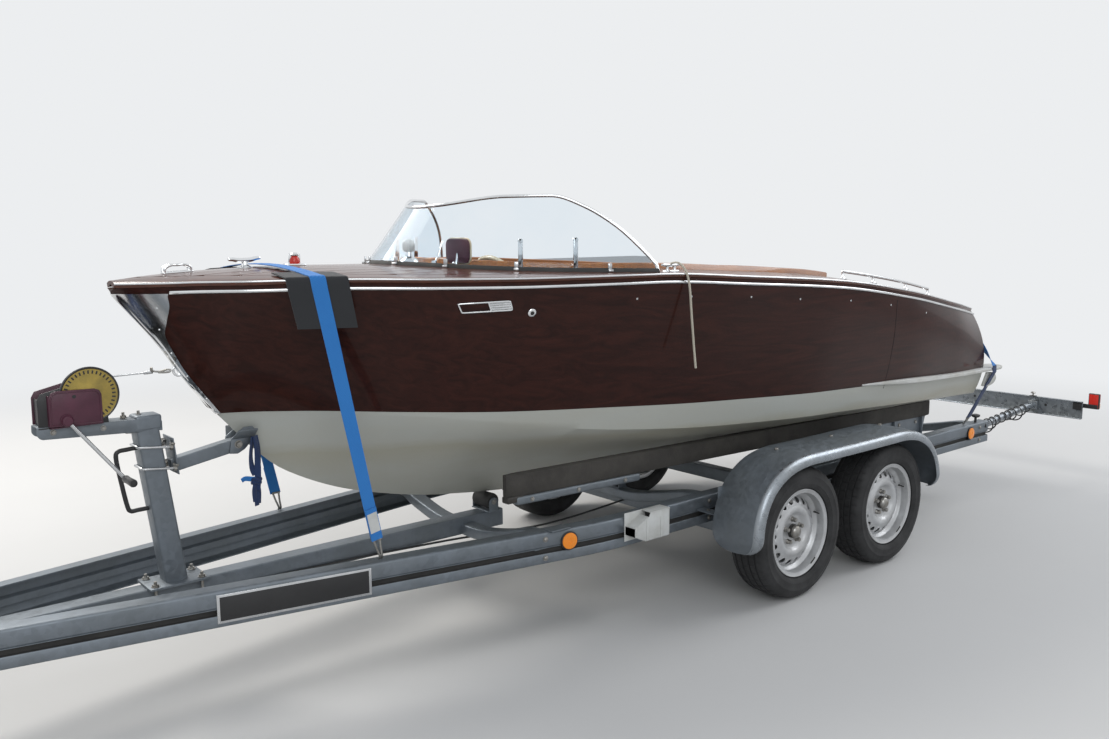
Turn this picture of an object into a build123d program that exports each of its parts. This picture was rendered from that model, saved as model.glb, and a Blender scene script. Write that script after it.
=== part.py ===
from build123d import *
import os
from math import atan2, cos, degrees, pi, radians, sin, sqrt, tan

# Mahogany runabout on its tandem-axle trailer, in millimetres.
# X points to the bow, Y to port, Z up; the floor is z = 0. Lengthwise places are measured
# from the middle between the two axles and moved to the middle of the whole length on export.

# Wheels and axles
tyre_diameter = 625.0
tyre_width = 195.0
seat_radius = 190.0
rim_flange = 207.5
axle_spacing = 744.0
wheel_y = 885.0
axle_tube = 70.0
arm_length = 160.0
stub_radius = 17.0
turning_gap = 0.05
drum_radius = 105.0
slot_count = 18

# Trailer frame
member_height = 134.0
member_width = 65.0
member_wall = 6.0
member_y = 650.0
bend_x = 1300.0
frame_rear_x = -2040.0
drawbar_front_x = 4250.0
beam_size = 80.0
beam_wall = 5.0
beam_rear_x = 1400.0
beam_front_x = 4120.0
cross_places = (1600.0, 650.0, -900.0, frame_rear_x + 110.0)
cross_width = 70.0
cross_depth = 50.0
coupling_tip_x = 4750.0
ball_radius = 25.15
ball_x = 4700.0

# Fenders
fender_sheet = 4.0
fender_inner_y = 775.0
fender_outer_y = 1035.0
fender_gap = 70.0
fender_half_length = 772.0
fender_lip = 45.0
fender_front_z = 288.0
fender_rear_z = 345.0

# Bunks and keel rollers
bunk_y = 585.0
bunk_thickness = 45.0
bunk_height = 92.0
bunk_rear_x = -1400.0
bunk_front_x = 1800.0
bunk_slope = 0.021
roller_radius = 37.0
roller_length = 120.0
roller_places = (1470.0, 650.0)
pin_radius = 8.0

# Winch post, winch and bow stop
post_size = 80.0
post_foot_x = 2905.0
post_top_x = 2975.0
post_top_z = 1012.0
post_plate = 10.0
winch_arm_x = 3335.0
winch_arm_pitch = 2.2
winch_arm_height = 44.0
drum_x = 3166.0
drum_z = 1165.0
spool_radius = 42.0
disc_radius = 97.0
disc_y = 49.0
cheek_y = 37.0
drum_pin = 9.0
crank_shaft = 8.0
crank_x = 3246.0
crank_z = 1087.0
crank_length = 284.0
crank_angle = 233.0
cable_radius = 4.0
stop_z = 866.0
stop_pitch = 10.0
stop_half = 25.0
cradle_height = 50.0
handle_radius = 8.0

# Jockey wheel
jockey_x = 3900.0
jockey_radius = 100.0
jockey_width = 60.0
jockey_tube_radius = 30.0
jockey_leg_radius = 26.0
jockey_lift = 120.0
jockey_reach = 200.0
caster_trail = 45.0

# Light board
board_x = frame_rear_x - 705.0
board_half = 940.0
board_height = 118.0
board_z = 500.0
lamp_y = 1035.0
light_tube_radius = 22.0

# Hull, in the boat's own frame: x from the transom, z above the keel
stern_x = -1750.0
keel_rise = 7.0
shell = 20.0
deck_sheet = 18.0
bow_start = 4200.0
# columns: x, keel, chine y, chine z, sheer y, sheer z, side bulge, deck crown
hull_rows = (
    (0.0, 12.0, 690.0, 212.0, 645.0, 732.0, 75.0, 40.0),
    (500.0, 7.0, 745.0, 247.0, 800.0, 802.0, 50.0, 45.0),
    (1100.0, 0.0, 800.0, 284.0, 880.0, 897.0, 30.0, 48.0),
    (1750.0, 0.0, 800.0, 312.0, 904.0, 977.0, 20.0, 48.0),
    (2400.0, 0.0, 706.0, 330.0, 885.0, 1020.0, 15.0, 45.0),
    (2950.0, 7.0, 625.0, 374.0, 832.0, 1047.0, 10.0, 42.0),
    (3450.0, 52.0, 520.0, 444.0, 735.0, 1047.0, 8.0, 38.0),
    (3850.0, 137.0, 355.0, 507.0, 600.0, 1052.0, 6.0, 36.0),
    (4200.0, 287.0, 125.0, 534.0, 455.0, 1060.0, 4.0, 32.0),
    (4450.0, 534.0, 16.0, 546.0, 318.0, 1057.0, 3.0, 28.0),
    (4590.0, 716.0, 13.0, 728.0, 213.0, 1056.0, 2.0, 22.0),
    (4650.0, 812.0, 12.0, 824.0, 168.0, 1054.0, 2.0, 20.0),
    (4810.0, 1015.0, 8.0, 1023.0, 36.0, 1051.0, 0.0, 8.0),
)
side_steps = (0.0, 0.35, 0.7, 1.0)
deck_steps = (1.0, 0.5, 0.0, -0.5, -1.0)

# Cockpit, windshield and fittings, lengthwise from the transom
cockpit_rear = 1450.0
foredeck_start = 3050.0
# columns: x, half width of the cockpit opening
cockpit_edge = ((1450, 600), (2050, 690), (2750, 690), (3050, 640), (3250, 540), (3390, 410), (3520, 0))
floor_z = 372.0
floor_sheet = 18.0
bulkhead_front = 3800.0
bulkhead_sheet = 18.0
dash_x = 3500.0
glass_thickness = 6.0
frame_overlap = 12.0
frame_proud = 3.0
glass_low_z = 1012.0
glass_high_z = 1372.0
# columns: x, half width
glass_foot = ((3789, 0), (3738, 200), (3610, 405), (3343, 630), (2918, 820), (2750, 850))
glass_head = ((3520, 0), (3450, 200), (3310, 380), (3130, 530), (2870, 640), (2700, 690))
# columns: x, height above the keel
glass_profile = (
    (3900, 1272), (3550, 1322), (3350, 1360), (3210, 1362), (3110, 1317), (3010, 1234), (2950, 1152),
    (2895, 1052), (2850, 912),
)
hatch_rear = 420.0
hatch_front = 1030.0
hatch_half = 420.0
hatch_gap = 6.0
cleat_place = 2826.0
vent_place = 1150.0
cleat_y = 789.0
rail_posts = (740.0, 1030.0, 1370.0, 1650.0)
rail_height = 38.0
rail_radius = 8.0
strip_low = 42.0
strip_high = 30.0
strip_proud = 9.0
plate_sheet = 3.0
fin_length = 200.0
fin_reach = 60.0
strake_rows = (
    (-290, 0.20, 0.215, 6), (-650, 0.20, 0.24, 28), (-1250, 0.235, 0.275, 38), (stern_x, 0.29, 0.325, 55),
)
eye_place = 4600.0
stem_low_place = 4450.0

# Running gear under the hull
shaft_radius = 12.5
shaft_start = 1150.0
shaft_drop = 0.155
prop_x = 330.0
prop_radius = 118.0
prop_hub = 28.0
strut_x = 450.0
rudder_x = 150.0
stock_radius = 14.0

# Straps
strap_width = 48.0
strap_sheet = 3.0
sleeve_width = 190.0
sleeve_sheet = 8.0
seat_gap = 0.3

# Worked-out heights
hub_z = tyre_diameter / 2
member_low = hub_z + axle_tube / 2
member_top = member_low + member_height
beam_top = member_low + beam_size
keel_z = member_top + keel_rise
board_rear_x = board_x - 45.0
middle_x = (coupling_tip_x + board_rear_x) / 2
axle_places = (axle_spacing / 2, -axle_spacing / 2)


def block(x0, x1, y0, y1, z0, z1):
    return Solid.make_box(x1 - x0, y1 - y0, z1 - z0, Plane((x0, y0, z0)))


def side_prism(outline, y0, y1):
    face = Face(Wire.make_polygon([(x, y0, z) for x, z in outline]))
    return Solid.extrude(face, Vector(0, y1 - y0, 0))


def plan_prism(outline, z0, z1):
    face = Face(Wire.make_polygon([(x, y, z0) for x, y in outline]))
    return Solid.extrude(face, Vector(0, 0, z1 - z0))


def end_prism(outline, x0, x1):
    face = Face(Wire.make_polygon([(x0, y, z) for y, z in outline]))
    return Solid.extrude(face, Vector(x1 - x0, 0, 0))


def rod(start, end, radius):
    start, end = Vector(*start), Vector(*end)
    return Solid.make_cylinder(radius, (end - start).length, Plane(start, z_dir=end - start))


def bent_rod(points, bend, radius):
    path = FilletPolyline(*points, radius=bend)
    return sweep(Plane(path @ 0, z_dir=path % 0) * Circle(radius), path=path).solid()


def skin(sections):
    return Solid.make_loft([Wire.make_polygon(section) for section in sections], ruled=True)


def turned(profile, place):
    """Solid of revolution about a line along Y; the profile is (radius, y)."""
    face = Face(Wire.make_polygon([(radius, y, 0) for radius, y in profile]))
    return Solid.revolve(face, 360, Axis.Y).moved(Location(place))


def port_and_starboard(shape):
    return [shape, mirror(shape, Plane.XZ)]


def offset_line(points, distance):
    """Open polyline moved to the left of its direction, with mitred corners."""
    moved = []
    for i, (x, y) in enumerate(points):
        normals = []
        for a, b in ((i - 1, i), (i, i + 1)):
            if a >= 0 and b < len(points):
                dx, dy = points[b][0] - points[a][0], points[b][1] - points[a][1]
                length = sqrt(dx * dx + dy * dy)
                normals.append((-dy / length, dx / length))
        first, last = normals[0], normals[-1]
        share = 1 + first[0] * last[0] + first[1] * last[1]
        step = distance / share
        moved.append((x + step * (first[0] + last[0]), y + step * (first[1] + last[1])))
    return moved


def sheet_outline(points, thickness):
    return list(points) + offset_line(points, thickness)[::-1]


def symmetric(half):
    """Outline through (x, half width) from port to starboard and back to its start."""
    return [(x, -y) for x, y in half] + [(x, y) for x, y in reversed(half) if y > 0]


def between(rows, x):
    """Row of a table at x, by straight lines between its rows."""
    for low, high in zip(rows, rows[1:]):
        if x <= high[0] or high is rows[-1]:
            share = (x - low[0]) / (high[0] - low[0])
            return tuple(a + (b - a) * share for a, b in zip(low, high))


# Hull surfaces
def hull_row(x):
    """Keel, chine, sheer, bulge and crown at a lengthwise place of the trailer's frame."""
    _, keel, chine_y, chine_z, sheer_y, sheer_z, bulge, crown = between(hull_rows, x - stern_x)
    return keel + keel_z, chine_y, chine_z + keel_z, sheer_y, sheer_z + keel_z, bulge, crown


def side_line(row, inset=0.0):
    """Points (y, z) of the topsides from the chine up to the underside of the deck."""
    keel, chine_y, chine_z, sheer_y, sheer_z, bulge, _ = row
    top = sheer_z - deck_sheet
    return [
        (chine_y + (sheer_y - chine_y) * t + 4 * bulge * t * (1 - t) - inset,
         chine_z + (top - chine_z) * t + inset * 0.3 * (1 - t))
        for t in side_steps
    ]


def half_breadth(x, z):
    """Half the hull's width at a height, on the topsides or on the bottom."""
    row = hull_row(x)
    keel, chine_y, chine_z = row[:3]
    if z <= chine_z:
        return max(0.0, chine_y * (z - keel) / (chine_z - keel))
    line = side_line(row)
    for (y0, z0), (y1, z1) in zip(line, line[1:]):
        if z <= z1:
            return y0 + (y1 - y0) * (z - z0) / (z1 - z0)
    return row[3]


def bottom_z(x, y):
    keel, chine_y, chine_z = hull_row(x)[:3]
    return keel + (chine_z - keel) * abs(y) / chine_y


def deck_line(row, drop=0.0):
    """Points (y, z) across the crowned deck, from port to starboard."""
    _, _, _, sheer_y, sheer_z, _, crown = row
    return [(sheer_y * f, sheer_z + crown * (1 - f * f) - drop) for f in deck_steps]


def deck_z(x, y):
    row = hull_row(x)
    line = deck_line(row)
    for (y0, z0), (y1, z1) in zip(line, line[1:]):
        if y0 >= abs(y) >= y1:
            return z0 + (z1 - z0) * (y0 - abs(y)) / (y0 - y1)
    return row[4]


def stem_z(x):
    return hull_row(x)[0]


def stations(start, end):
    """Lengthwise places of the hull's table between two ends, both ends included."""
    inner = [stern_x + row[0] for row in hull_rows if start + 1 < stern_x + row[0] < end - 1]
    return [start] + inner + [end]


bow_x = stern_x + bow_start
eye_x = stern_x + eye_place
stem_low_x = stern_x + stem_low_place
tip_x = stern_x + hull_rows[-1][0]


def hull_body(start=stern_x, end=tip_x, inset=0.0):
    """Closed volume under the deck, or its inside when inset by the shell."""
    sections = []
    for x in stations(start, end):
        row = hull_row(x)
        side = side_line(row, inset)
        keel = row[0] + inset * 1.1
        ring = [(x, y, z) for y, z in side] + [(x, -y, z) for y, z in reversed(side)]
        sections.append(ring + [(x, 0, keel)])
    return skin(sections)


def make_bottom():
    sections = []
    for x in stations(stern_x, bow_x):
        row = hull_row(x)
        (outer_y, outer_z), (inner_y, inner_z) = side_line(row)[0], side_line(row, shell)[0]
        sections.append([
            (x, outer_y, outer_z), (x, inner_y, inner_z), (x, 0, row[0] + shell * 1.1),
            (x, -inner_y, inner_z), (x, -outer_y, outer_z), (x, 0, row[0]),
        ])
    return skin(sections)


def make_side():
    sections = []
    for x in stations(stern_x, bow_x):
        row = hull_row(x)
        outer, inner = side_line(row), side_line(row, shell)
        sections.append([(x, y, z) for y, z in outer + inner[::-1]])
    return skin(sections)


def make_transom():
    sections = []
    for x in (stern_x, stern_x + shell):
        row = hull_row(x)
        side = side_line(row, shell)
        ring = [(x, y, z) for y, z in side] + [(x, -y, z) for y, z in reversed(side)]
        sections.append(ring + [(x, 0, row[0] + shell * 1.1)])
    return skin(sections)


def deck_plate(start, end, drop=0.0, thickness=deck_sheet):
    sections = []
    for x in stations(start, end):
        row = hull_row(x)
        top, low = deck_line(row, drop), deck_line(row, drop + thickness)
        sections.append([(x, y, z) for y, z in top + low[::-1]])
    return skin(sections)


def deck_volume(start, end, depth):
    """Everything from the deck's top down, for seating what stands on the deck."""
    sections = []
    for x in stations(start, end):
        row = hull_row(x)
        ring = [(x, y, z) for y, z in deck_line(row)]
        floor = row[4] - depth
        sections.append(ring + [(x, -row[3], floor), (x, row[3], floor)])
    return skin(sections)


tall = (0.0, 2500.0)
outer_hull = hull_body()
inner_hull = hull_body(stern_x, bow_x, shell)
cockpit_outline = [(stern_x + x, y) for x, y in symmetric(cockpit_edge)]
cockpit_cut = plan_prism(cockpit_outline, *tall)


def hatch_column(grow):
    """Upright block over the hatch opening, larger than it by a margin."""
    return block(
        stern_x + hatch_rear - grow, stern_x + hatch_front + grow,
        -hatch_half - grow, hatch_half + grow, *tall,
    )


cockpit_rear_x = stern_x + cockpit_rear
foredeck_x = stern_x + foredeck_start


# Decks
def make_foredeck():
    return deck_plate(foredeck_x, tip_x) - cockpit_cut


def make_side_decks():
    plate = deck_plate(cockpit_rear_x, foredeck_x) - cockpit_cut
    return plate.solids()


def make_aft_deck():
    """Aft deck with a ledge under its opening for the hatch to lie on."""
    opening = hatch_column(0)
    start, end = stern_x + hatch_rear - 60, stern_x + hatch_front + 60
    deck = deck_plate(stern_x, cockpit_rear_x) - opening
    ledge = deck_plate(start, end, deck_sheet + seat_gap, 14) & (hatch_column(24) - hatch_column(-16))
    collar = deck_plate(start, end, deck_sheet - 4, 14) & (hatch_column(24) - opening)
    return deck + (ledge + collar)


def make_hatch():
    return deck_plate(stern_x, cockpit_rear_x) & hatch_column(-hatch_gap)


# Hull trim
def side_band(low, high, proud, start, end):
    """Strip on the topsides between two depths under the deck's edge."""
    sections = []
    for x in stations(start, end):
        row = hull_row(x)
        (y0, z0), (y1, z1) = side_line(row)[-2:]
        za, zb = row[4] - low, row[4] - high
        ya, yb = [y0 + (y1 - y0) * (z - z0) / (z1 - z0) for z in (za, zb)]
        sections.append([(x, ya, za), (x, ya + proud, za), (x, yb + proud, zb), (x, yb, zb)])
    return skin(sections)


def make_sheer_strips():
    band = side_band(strip_low, strip_high, strip_proud, stern_x, tip_x - 150)
    return port_and_starboard(band - outer_hull)


def make_strakes():
    """Spray rails that start aft of midships and run out past the transom as fins."""
    sections = []
    for x, low, high, proud in strake_rows:
        line = side_line(hull_row(x))
        (y0, z0), (y1, z1) = line[0], line[1]
        (ya, za), (yb, zb) = [
            (y0 + (y1 - y0) * t / side_steps[1], z0 + (z1 - z0) * t / side_steps[1]) for t in (low, high)
        ]
        sections.append([(x, ya, za), (x, ya + proud, za), (x, yb + proud, zb), (x, yb, zb)])
    rail = skin(sections)
    y, z = sections[-1][0][1], sections[-1][0][2]
    top = sections[-1][2][2]
    end = stern_x - fin_length
    fin = plan_prism([(stern_x, y - 75), (stern_x, y + fin_reach), (end + 80, y + fin_reach - 2),
                      (end + 15, y + 30), (end, y - 20), (end + 30, y - 80)], z, top)
    rail = (rail + fin) - outer_hull
    return port_and_starboard(max(rail.solids(), key=lambda piece: piece.volume))


def make_cutwater():
    """Bright plate wrapped round the stem head and narrowing to the waterline, with the bow eye."""
    shell_ = hull_body(stem_low_x - 60, tip_x, -plate_sheet) - outer_hull
    head_z = keel_z + 1012
    outline = [(tip_x + 5, head_z), (tip_x - 160, head_z), (stem_low_x + 60, keel_z + 690),
               (stem_low_x - 20, keel_z + 525), (stem_low_x + 30, keel_z + 500), (tip_x + 5, head_z - 160)]
    plate = shell_ & side_prism(outline, -300, 300)
    eye_z = stem_z(eye_x) + 6
    eye = Solid.make_torus(20, 5, Plane((eye_x + 12, 0, eye_z), z_dir=(0, 1, 0)))
    return plate + (eye - outer_hull)


# Windshield
def glass_shell(grow, thickness):
    sections = []
    for table, z in ((glass_foot, glass_low_z), (glass_head, glass_high_z)):
        line = [(stern_x + x, y) for x, y in table]
        line = [(x, -y) for x, y in reversed(line)] + line[1:]
        outer = offset_line(line, -grow)
        inner = offset_line(line, thickness - grow)
        sections.append([(x, y, z + keel_z) for x, y in outer + inner[::-1]])
    return skin(sections)


def glass_side(grow):
    line = [(stern_x + x, z + keel_z) for x, z in glass_profile]
    return offset_line(line, -grow)


def side_window(grow):
    outline = glass_side(grow)
    low = keel_z + glass_low_z - 200
    return side_prism(outline + [(outline[-1][0], low), (outline[0][0], low)], -1200, 1200)


def make_windshield():
    under = deck_volume(stern_x + 2600, stern_x + 4200, 400)
    glass = (glass_shell(0, glass_thickness) & side_window(0)) - under
    band = side_window(frame_overlap) - side_window(0)
    frame = (glass_shell(frame_proud, glass_thickness + 2 * frame_proud) & band) - under
    return glass, frame


# Cockpit
def make_floor():
    low = keel_z + floor_z
    plate = block(stern_x + cockpit_rear - 40, stern_x + bulkhead_front, -900, 900, low, low + floor_sheet)
    floor = plate & inner_hull
    for box in make_seat_boxes():
        floor += box
    return floor


def make_bulkheads():
    plates = []
    for x in (stern_x + cockpit_rear - 40 - bulkhead_sheet, stern_x + bulkhead_front):
        plates.append(block(x, x + bulkhead_sheet, -900, 900, *tall) & inner_hull)
    return plates


def make_dashboard():
    face = [(dash_x, 760), (dash_x + 16, 760), (dash_x + 46, 1000), (dash_x + 30, 1000)]
    plate = side_prism([(stern_x + x, keel_z + z) for x, z in face], -900, 900)
    reach = 2 * column_length
    bore = Solid.make_cylinder(column_radius + turning_gap, reach, Plane((0, 0, -reach)))
    bore = bore.rotate(Axis.Y, -90 + column_tilt).moved(Location(wheel_centre))
    return (plate & inner_hull) - bore


wheel_centre = (stern_x + 3310, 270.0, keel_z + 960)
column_tilt = 25.0
column_radius = 14.0
column_length = 250.0


def make_steering_wheel():
    rim = Solid.make_torus(165, 11, Plane.XY)
    hub = Solid.make_cylinder(32, 26, Plane((0, 0, -16)))
    wheel = rim + hub
    for turn in (90, 210, 330):
        spoke = block(20, 162, -12, 12, -6, -1)
        wheel += spoke.rotate(Axis.Z, turn)
    wheel += Solid.make_cylinder(column_radius, column_length, Plane((0, 0, -column_length - 10)))
    return wheel.rotate(Axis.Y, -90 + column_tilt).moved(Location(wheel_centre))


def seat_outline(x, low, lean_back):
    """Cushion and backrest sides of one bench: x of its rear edge."""
    cushion = [(x + 90, low + 250), (x + 560, low + 270), (x + 560, low + 380), (x + 90, low + 350)]
    back = [(x, low + 250), (x + 85, low + 250), (x + 85 - lean_back, low + 660),
            (x - lean_back + 20, low + 660)]
    return cushion, back


bench_places = (stern_x + cockpit_rear + 30, stern_x + 2270.0)


def make_seats():
    pads = []
    low = keel_z + floor_z + floor_sheet
    for x, half, shift in ((bench_places[0], 560, 10), (bench_places[1], 560, 10)):
        for outline in seat_outline(x, low, shift):
            pads.append(side_prism(outline, -half, half) & hull_body(stern_x, bow_x, shell + 3))
    return pads


def make_seat_boxes():
    boxes = []
    low = keel_z + floor_z + floor_sheet
    for x in bench_places:
        boxes.append(block(x + 60, x + 500, -500, 500, low - 1, low + 249.5))
    return boxes


def make_engine():
    """Plain block on two bearers that stand on the bottom."""
    low = keel_z + 160
    engine = block(stern_x + 520, stern_x + 1250, -260, 260, low, low + 480)
    for y in (-200, 200):
        engine += block(stern_x + 460, stern_x + 1300, y - 25, y + 25, keel_z, low + 10) & inner_hull
    return engine


# Fittings on deck
def stand_on_deck(shape):
    """Trims the foot of a fitting to the crowned deck."""
    return shape - deck_volume(stern_x + 1, tip_x - 1, 60)


def make_fittings():
    """Bow chock, cleat, bow lamp, side cleats and the vent behind the cockpit with its cap."""
    parts = []
    x = stern_x + 4576
    z = deck_z(x, 0)
    chock = block(x - 55, x + 55, -16, 16, z - 12, z + 14) + rod((x - 50, 0, z + 22), (x + 50, 0, z + 22), 9)
    parts.append(stand_on_deck(chock))
    x = stern_x + 4321
    z = deck_z(x, 0)
    cleat = rod((x, 0, z - 12), (x, 0, z + 30), 16) + rod((x - 55, 0, z + 30), (x + 55, 0, z + 30), 8)
    parts.append(stand_on_deck(cleat))
    x = stern_x + 4120
    z = deck_z(x, 0)
    lamp = block(x - 42, x + 42, -24, 24, z - 12, z + 14) + Solid.make_sphere(26, Plane((x, 0, z + 24)))
    parts.append(stand_on_deck(lamp))
    x = stern_x + vent_place
    z = deck_z(x, 0)
    parts.append(stand_on_deck(block(x - 45, x + 45, -35, 35, z - 12, z + 27)))
    parts.append(stand_on_deck(rod((x - 72, 0, z - 12), (x - 72, 0, z + 20), 15)))
    x = stern_x + cleat_place
    z = deck_z(x, cleat_y)
    bar = rod((x - 54, cleat_y, z + 24), (x + 54, cleat_y, z + 24), 8)
    cleat = block(x - 40, x + 40, cleat_y - 11, cleat_y + 11, z - 20, z + 22) + bar
    return parts + port_and_starboard(stand_on_deck(cleat))


def make_handrails():
    rail = None
    tops = []
    for place in rail_posts:
        x = stern_x + place
        y = hull_row(x)[3] - 75
        z = deck_z(x, y)
        tops.append((x, y, z + rail_height))
        post = stand_on_deck(rod((x, y, z - 10), (x, y, z + rail_height), rail_radius * 0.9))
        rail = post if rail is None else rail + post
    for start, end in zip(tops, tops[1:]):
        rail += rod(start, end, rail_radius)
        rail += Solid.make_sphere(rail_radius, Plane(start))
    rail += Solid.make_sphere(rail_radius, Plane(tops[-1]))
    return port_and_starboard(rail)


# Running gear
def shaft_point(place):
    start = keel_z - 2.0
    return (stern_x + place, 0.0, start - (shaft_start - place) * shaft_drop)


shaft_axis = (Vector(*shaft_point(prop_x)) - Vector(*shaft_point(shaft_start))).normalized()


def make_propeller():
    start, end = Vector(*shaft_point(shaft_start - 120)), Vector(*shaft_point(prop_x))
    shaft = rod(start, end - shaft_axis * 10, shaft_radius)
    hub = Solid.make_cone(prop_hub, prop_hub * 0.6, 90, Plane(end - shaft_axis * 40, z_dir=shaft_axis))
    prop = shaft + hub
    for turn in (0, 120, 240):
        outline = [(-14, 12), (14, 12), (40, 62), (34, 104), (6, prop_radius), (-26, 108), (-38, 66)]
        face = Face(Wire.make_polygon([(x, -3, z) for x, z in outline]))
        blade = Solid.extrude(face, Vector(0, 6, 0)).rotate(Axis.Z, 62)
        blade = blade.rotate(Axis.X, turn)
        prop += Plane(end, x_dir=shaft_axis, z_dir=(0, 1, 0)).location * blade
    return prop


def make_running_gear():
    """Stern tube, shaft bracket and rudder gland, each seated on the bottom."""
    tube_end = Vector(*shaft_point(shaft_start - 200))
    tube_start = Vector(*shaft_point(shaft_start + 40))
    bore = rod(tube_start - shaft_axis * 60, Vector(*shaft_point(prop_x - 60)), shaft_radius + turning_gap)
    tube = rod(tube_start, tube_end, shaft_radius + 12) - outer_hull - bore
    tube = max(tube.solids(), key=lambda piece: piece.volume)
    place = Vector(*shaft_point(strut_x))
    boss = rod(place - shaft_axis * 45, place + shaft_axis * 45, shaft_radius + 10)
    leg = block(place.X - 35, place.X + 35, -6, 6, place.Z, keel_z + 60)
    bracket = (boss + leg) - bore - outer_hull
    bracket = min(bracket.solids(), key=lambda piece: piece.center().Z)
    x = stern_x + rudder_x
    keel = hull_row(x)[0]
    gland = rod((x, 0, keel - 22), (x, 0, keel + 30), stock_radius + 12) - outer_hull
    gland = gland - rod((x, 0, keel - 60), (x, 0, keel + 60), stock_radius + turning_gap)
    return [tube, bracket, max(gland.solids(), key=lambda piece: piece.volume)]


def make_rudder():
    x = stern_x + rudder_x
    keel = hull_row(x)[0]
    stock = rod((x, 0, keel - 90), (x, 0, keel - 1), stock_radius)
    outline = [(x + 35, keel - 40), (x - 130, keel - 34), (x - 110, keel - 210), (x + 20, keel - 200)]
    return stock + side_prism(outline, -5, 5)


# Wheels
def make_rim():
    shape = turned([
        (rim_flange, -83), (rim_flange, -76), (seat_radius, -74), (seat_radius, -45), (168, -30), (168, 20),
        (seat_radius, 40), (seat_radius, 74), (rim_flange, 76), (rim_flange, 83), (rim_flange - 4, 83),
        (186, 77), (186, 42), (164, 22), (164, -31), (186, -46), (186, -76), (rim_flange - 4, -83),
    ], (0, 0, 0))
    dish = turned([
        (33, 36), (33, 42), (72, 42), (96, 52), (126, 50), (150, 30), (166, 20),
        (166, 12), (148, 24), (125, 44), (98, 46), (74, 36),
    ], (0, 0, 0))
    slot_radius = 143
    for i in range(slot_count):
        turn = i * 360 / slot_count
        hole = Solid.make_cylinder(9, 60, Plane((slot_radius, 0, 0), z_dir=(0, 1, 0)))
        dish -= hole.rotate(Axis.Y, turn)
    drum = turned([
        (stub_radius + turning_gap, -80), (drum_radius, -80), (drum_radius, 10), (70, 36), (30, 40),
        (30, 58), (stub_radius + turning_gap, 58),
    ], (0, 0, 0))
    cap = turned([(0, 56), (28, 56), (26, 70), (0, 72)], (0, 0, 0))
    wheel = shape + dish + drum + cap
    for i in range(5):
        nut = Solid.make_cylinder(10, 18, Plane((56, 40, 0), z_dir=(0, 1, 0))).rotate(Axis.Y, i * 72 + 18)
        wheel += nut
    return wheel


def make_tyre():
    half = tyre_width / 2
    radius = tyre_diameter / 2
    return turned([
        (seat_radius, -73), (rim_flange + 4, -74), (rim_flange + 5, -86), (250, -half), (286, -half + 4),
        (304, -half + 18), (radius, -half + 38), (radius, half - 38), (304, half - 18), (286, half - 4),
        (250, half), (rim_flange + 5, 86), (rim_flange + 4, 74), (seat_radius, 73), (seat_radius, 60),
        (240, 82), (290, 76), (300, 50), (300, -50), (290, -76), (240, -82), (seat_radius, -60),
    ], (0, 0, 0))


# Trailer frame
drawbar_front_y = beam_size / 2 + member_width + 4.0
member_line = ((frame_rear_x, member_y), (bend_x, member_y), (drawbar_front_x, drawbar_front_y))


def member_outer(x):
    return between(member_line, x)[1]


def make_side_member():
    """Channel with its web outside and its flanges turned in."""
    web = plan_prism(sheet_outline(member_line, -member_wall), member_low, member_top)
    flange = sheet_outline(member_line, -member_width)
    low = plan_prism(flange, member_low, member_low + member_wall)
    high = plan_prism(flange, member_top - member_wall, member_top)
    return web + low + high


def make_centre_beam():
    half = beam_size / 2
    tube = block(beam_rear_x, beam_front_x, -half, half, member_low, beam_top)
    core = half - beam_wall
    return tube - block(beam_rear_x, beam_front_x, -core, core, member_low + beam_wall, beam_top - beam_wall)


def make_cross_members():
    """Dipped cross-members that leave room for the keel."""
    members = []
    for x in cross_places:
        reach = member_outer(x + cross_width / 2) - member_wall * 1.02
        high = member_top - member_wall
        middle_top = member_low + cross_depth
        outline = [
            (-reach, high), (-150, middle_top), (150, middle_top), (reach, high),
            (reach, high - cross_depth), (150, member_low), (-150, member_low), (-reach, high - cross_depth),
        ]
        member = end_prism(outline, x - cross_width / 2, x + cross_width / 2)
        if abs(x - beam_rear_x) < 500:
            half = beam_size / 2
            member = member - block(beam_rear_x, beam_front_x, -half, half, member_low, beam_top)
        members += member.solids()
    return members


def make_axles():
    axles = []
    half = axle_tube / 2
    for x in axle_places:
        tube_x = x + arm_length
        axle = block(tube_x - half, tube_x + half, -668, 668, hub_z - half, hub_z + half)
        for side in (1, -1):
            near, far = sorted((side * 668, side * 700))
            axle += block(x - half, tube_x + half, near, far, hub_z - half, hub_z + half)
            axle += rod((x, side * 700, hub_z), (x, side * (wheel_y + 50), hub_z), stub_radius)
            axle += rod((x, side * 700, hub_z), (x, side * (wheel_y - 90), hub_z), 45)
        axles.append(axle)
    return axles


def make_fender():
    """Arched sheet over both wheels, with a turned-down outer lip and brackets to the frame."""
    top = tyre_diameter + fender_gap
    half = fender_half_length
    arch = [(half - 22, 470), (half - 90, 580), (half - 210, top - 36), (half - 370, top)]
    line = [(half - 6, fender_front_z), (half, fender_rear_z)] + arch
    line += [(-x, z) for x, z in reversed(arch)] + [(-half, fender_rear_z)]
    outline = sheet_outline(line, fender_sheet)
    sheet = side_prism(outline, fender_inner_y, fender_outer_y)
    lip = side_prism(sheet_outline(line, fender_lip), fender_outer_y - fender_sheet, fender_outer_y)
    fender = sheet + lip
    for x in (half - 60, -half + 60):
        plate = block(x - 30, x + 30, member_y, fender_inner_y + 40, member_top - 60, member_top - 54)
        fender += plate
        web = block(x - 30, x + 30, fender_inner_y, fender_inner_y + 5, member_top - 60, 590)
        inside = side_prism(offset_line(line, fender_sheet * 0.5) + [(-half, 0), (half, 0)], 0, 1200)
        fender += web & inside
    return fender


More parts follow.
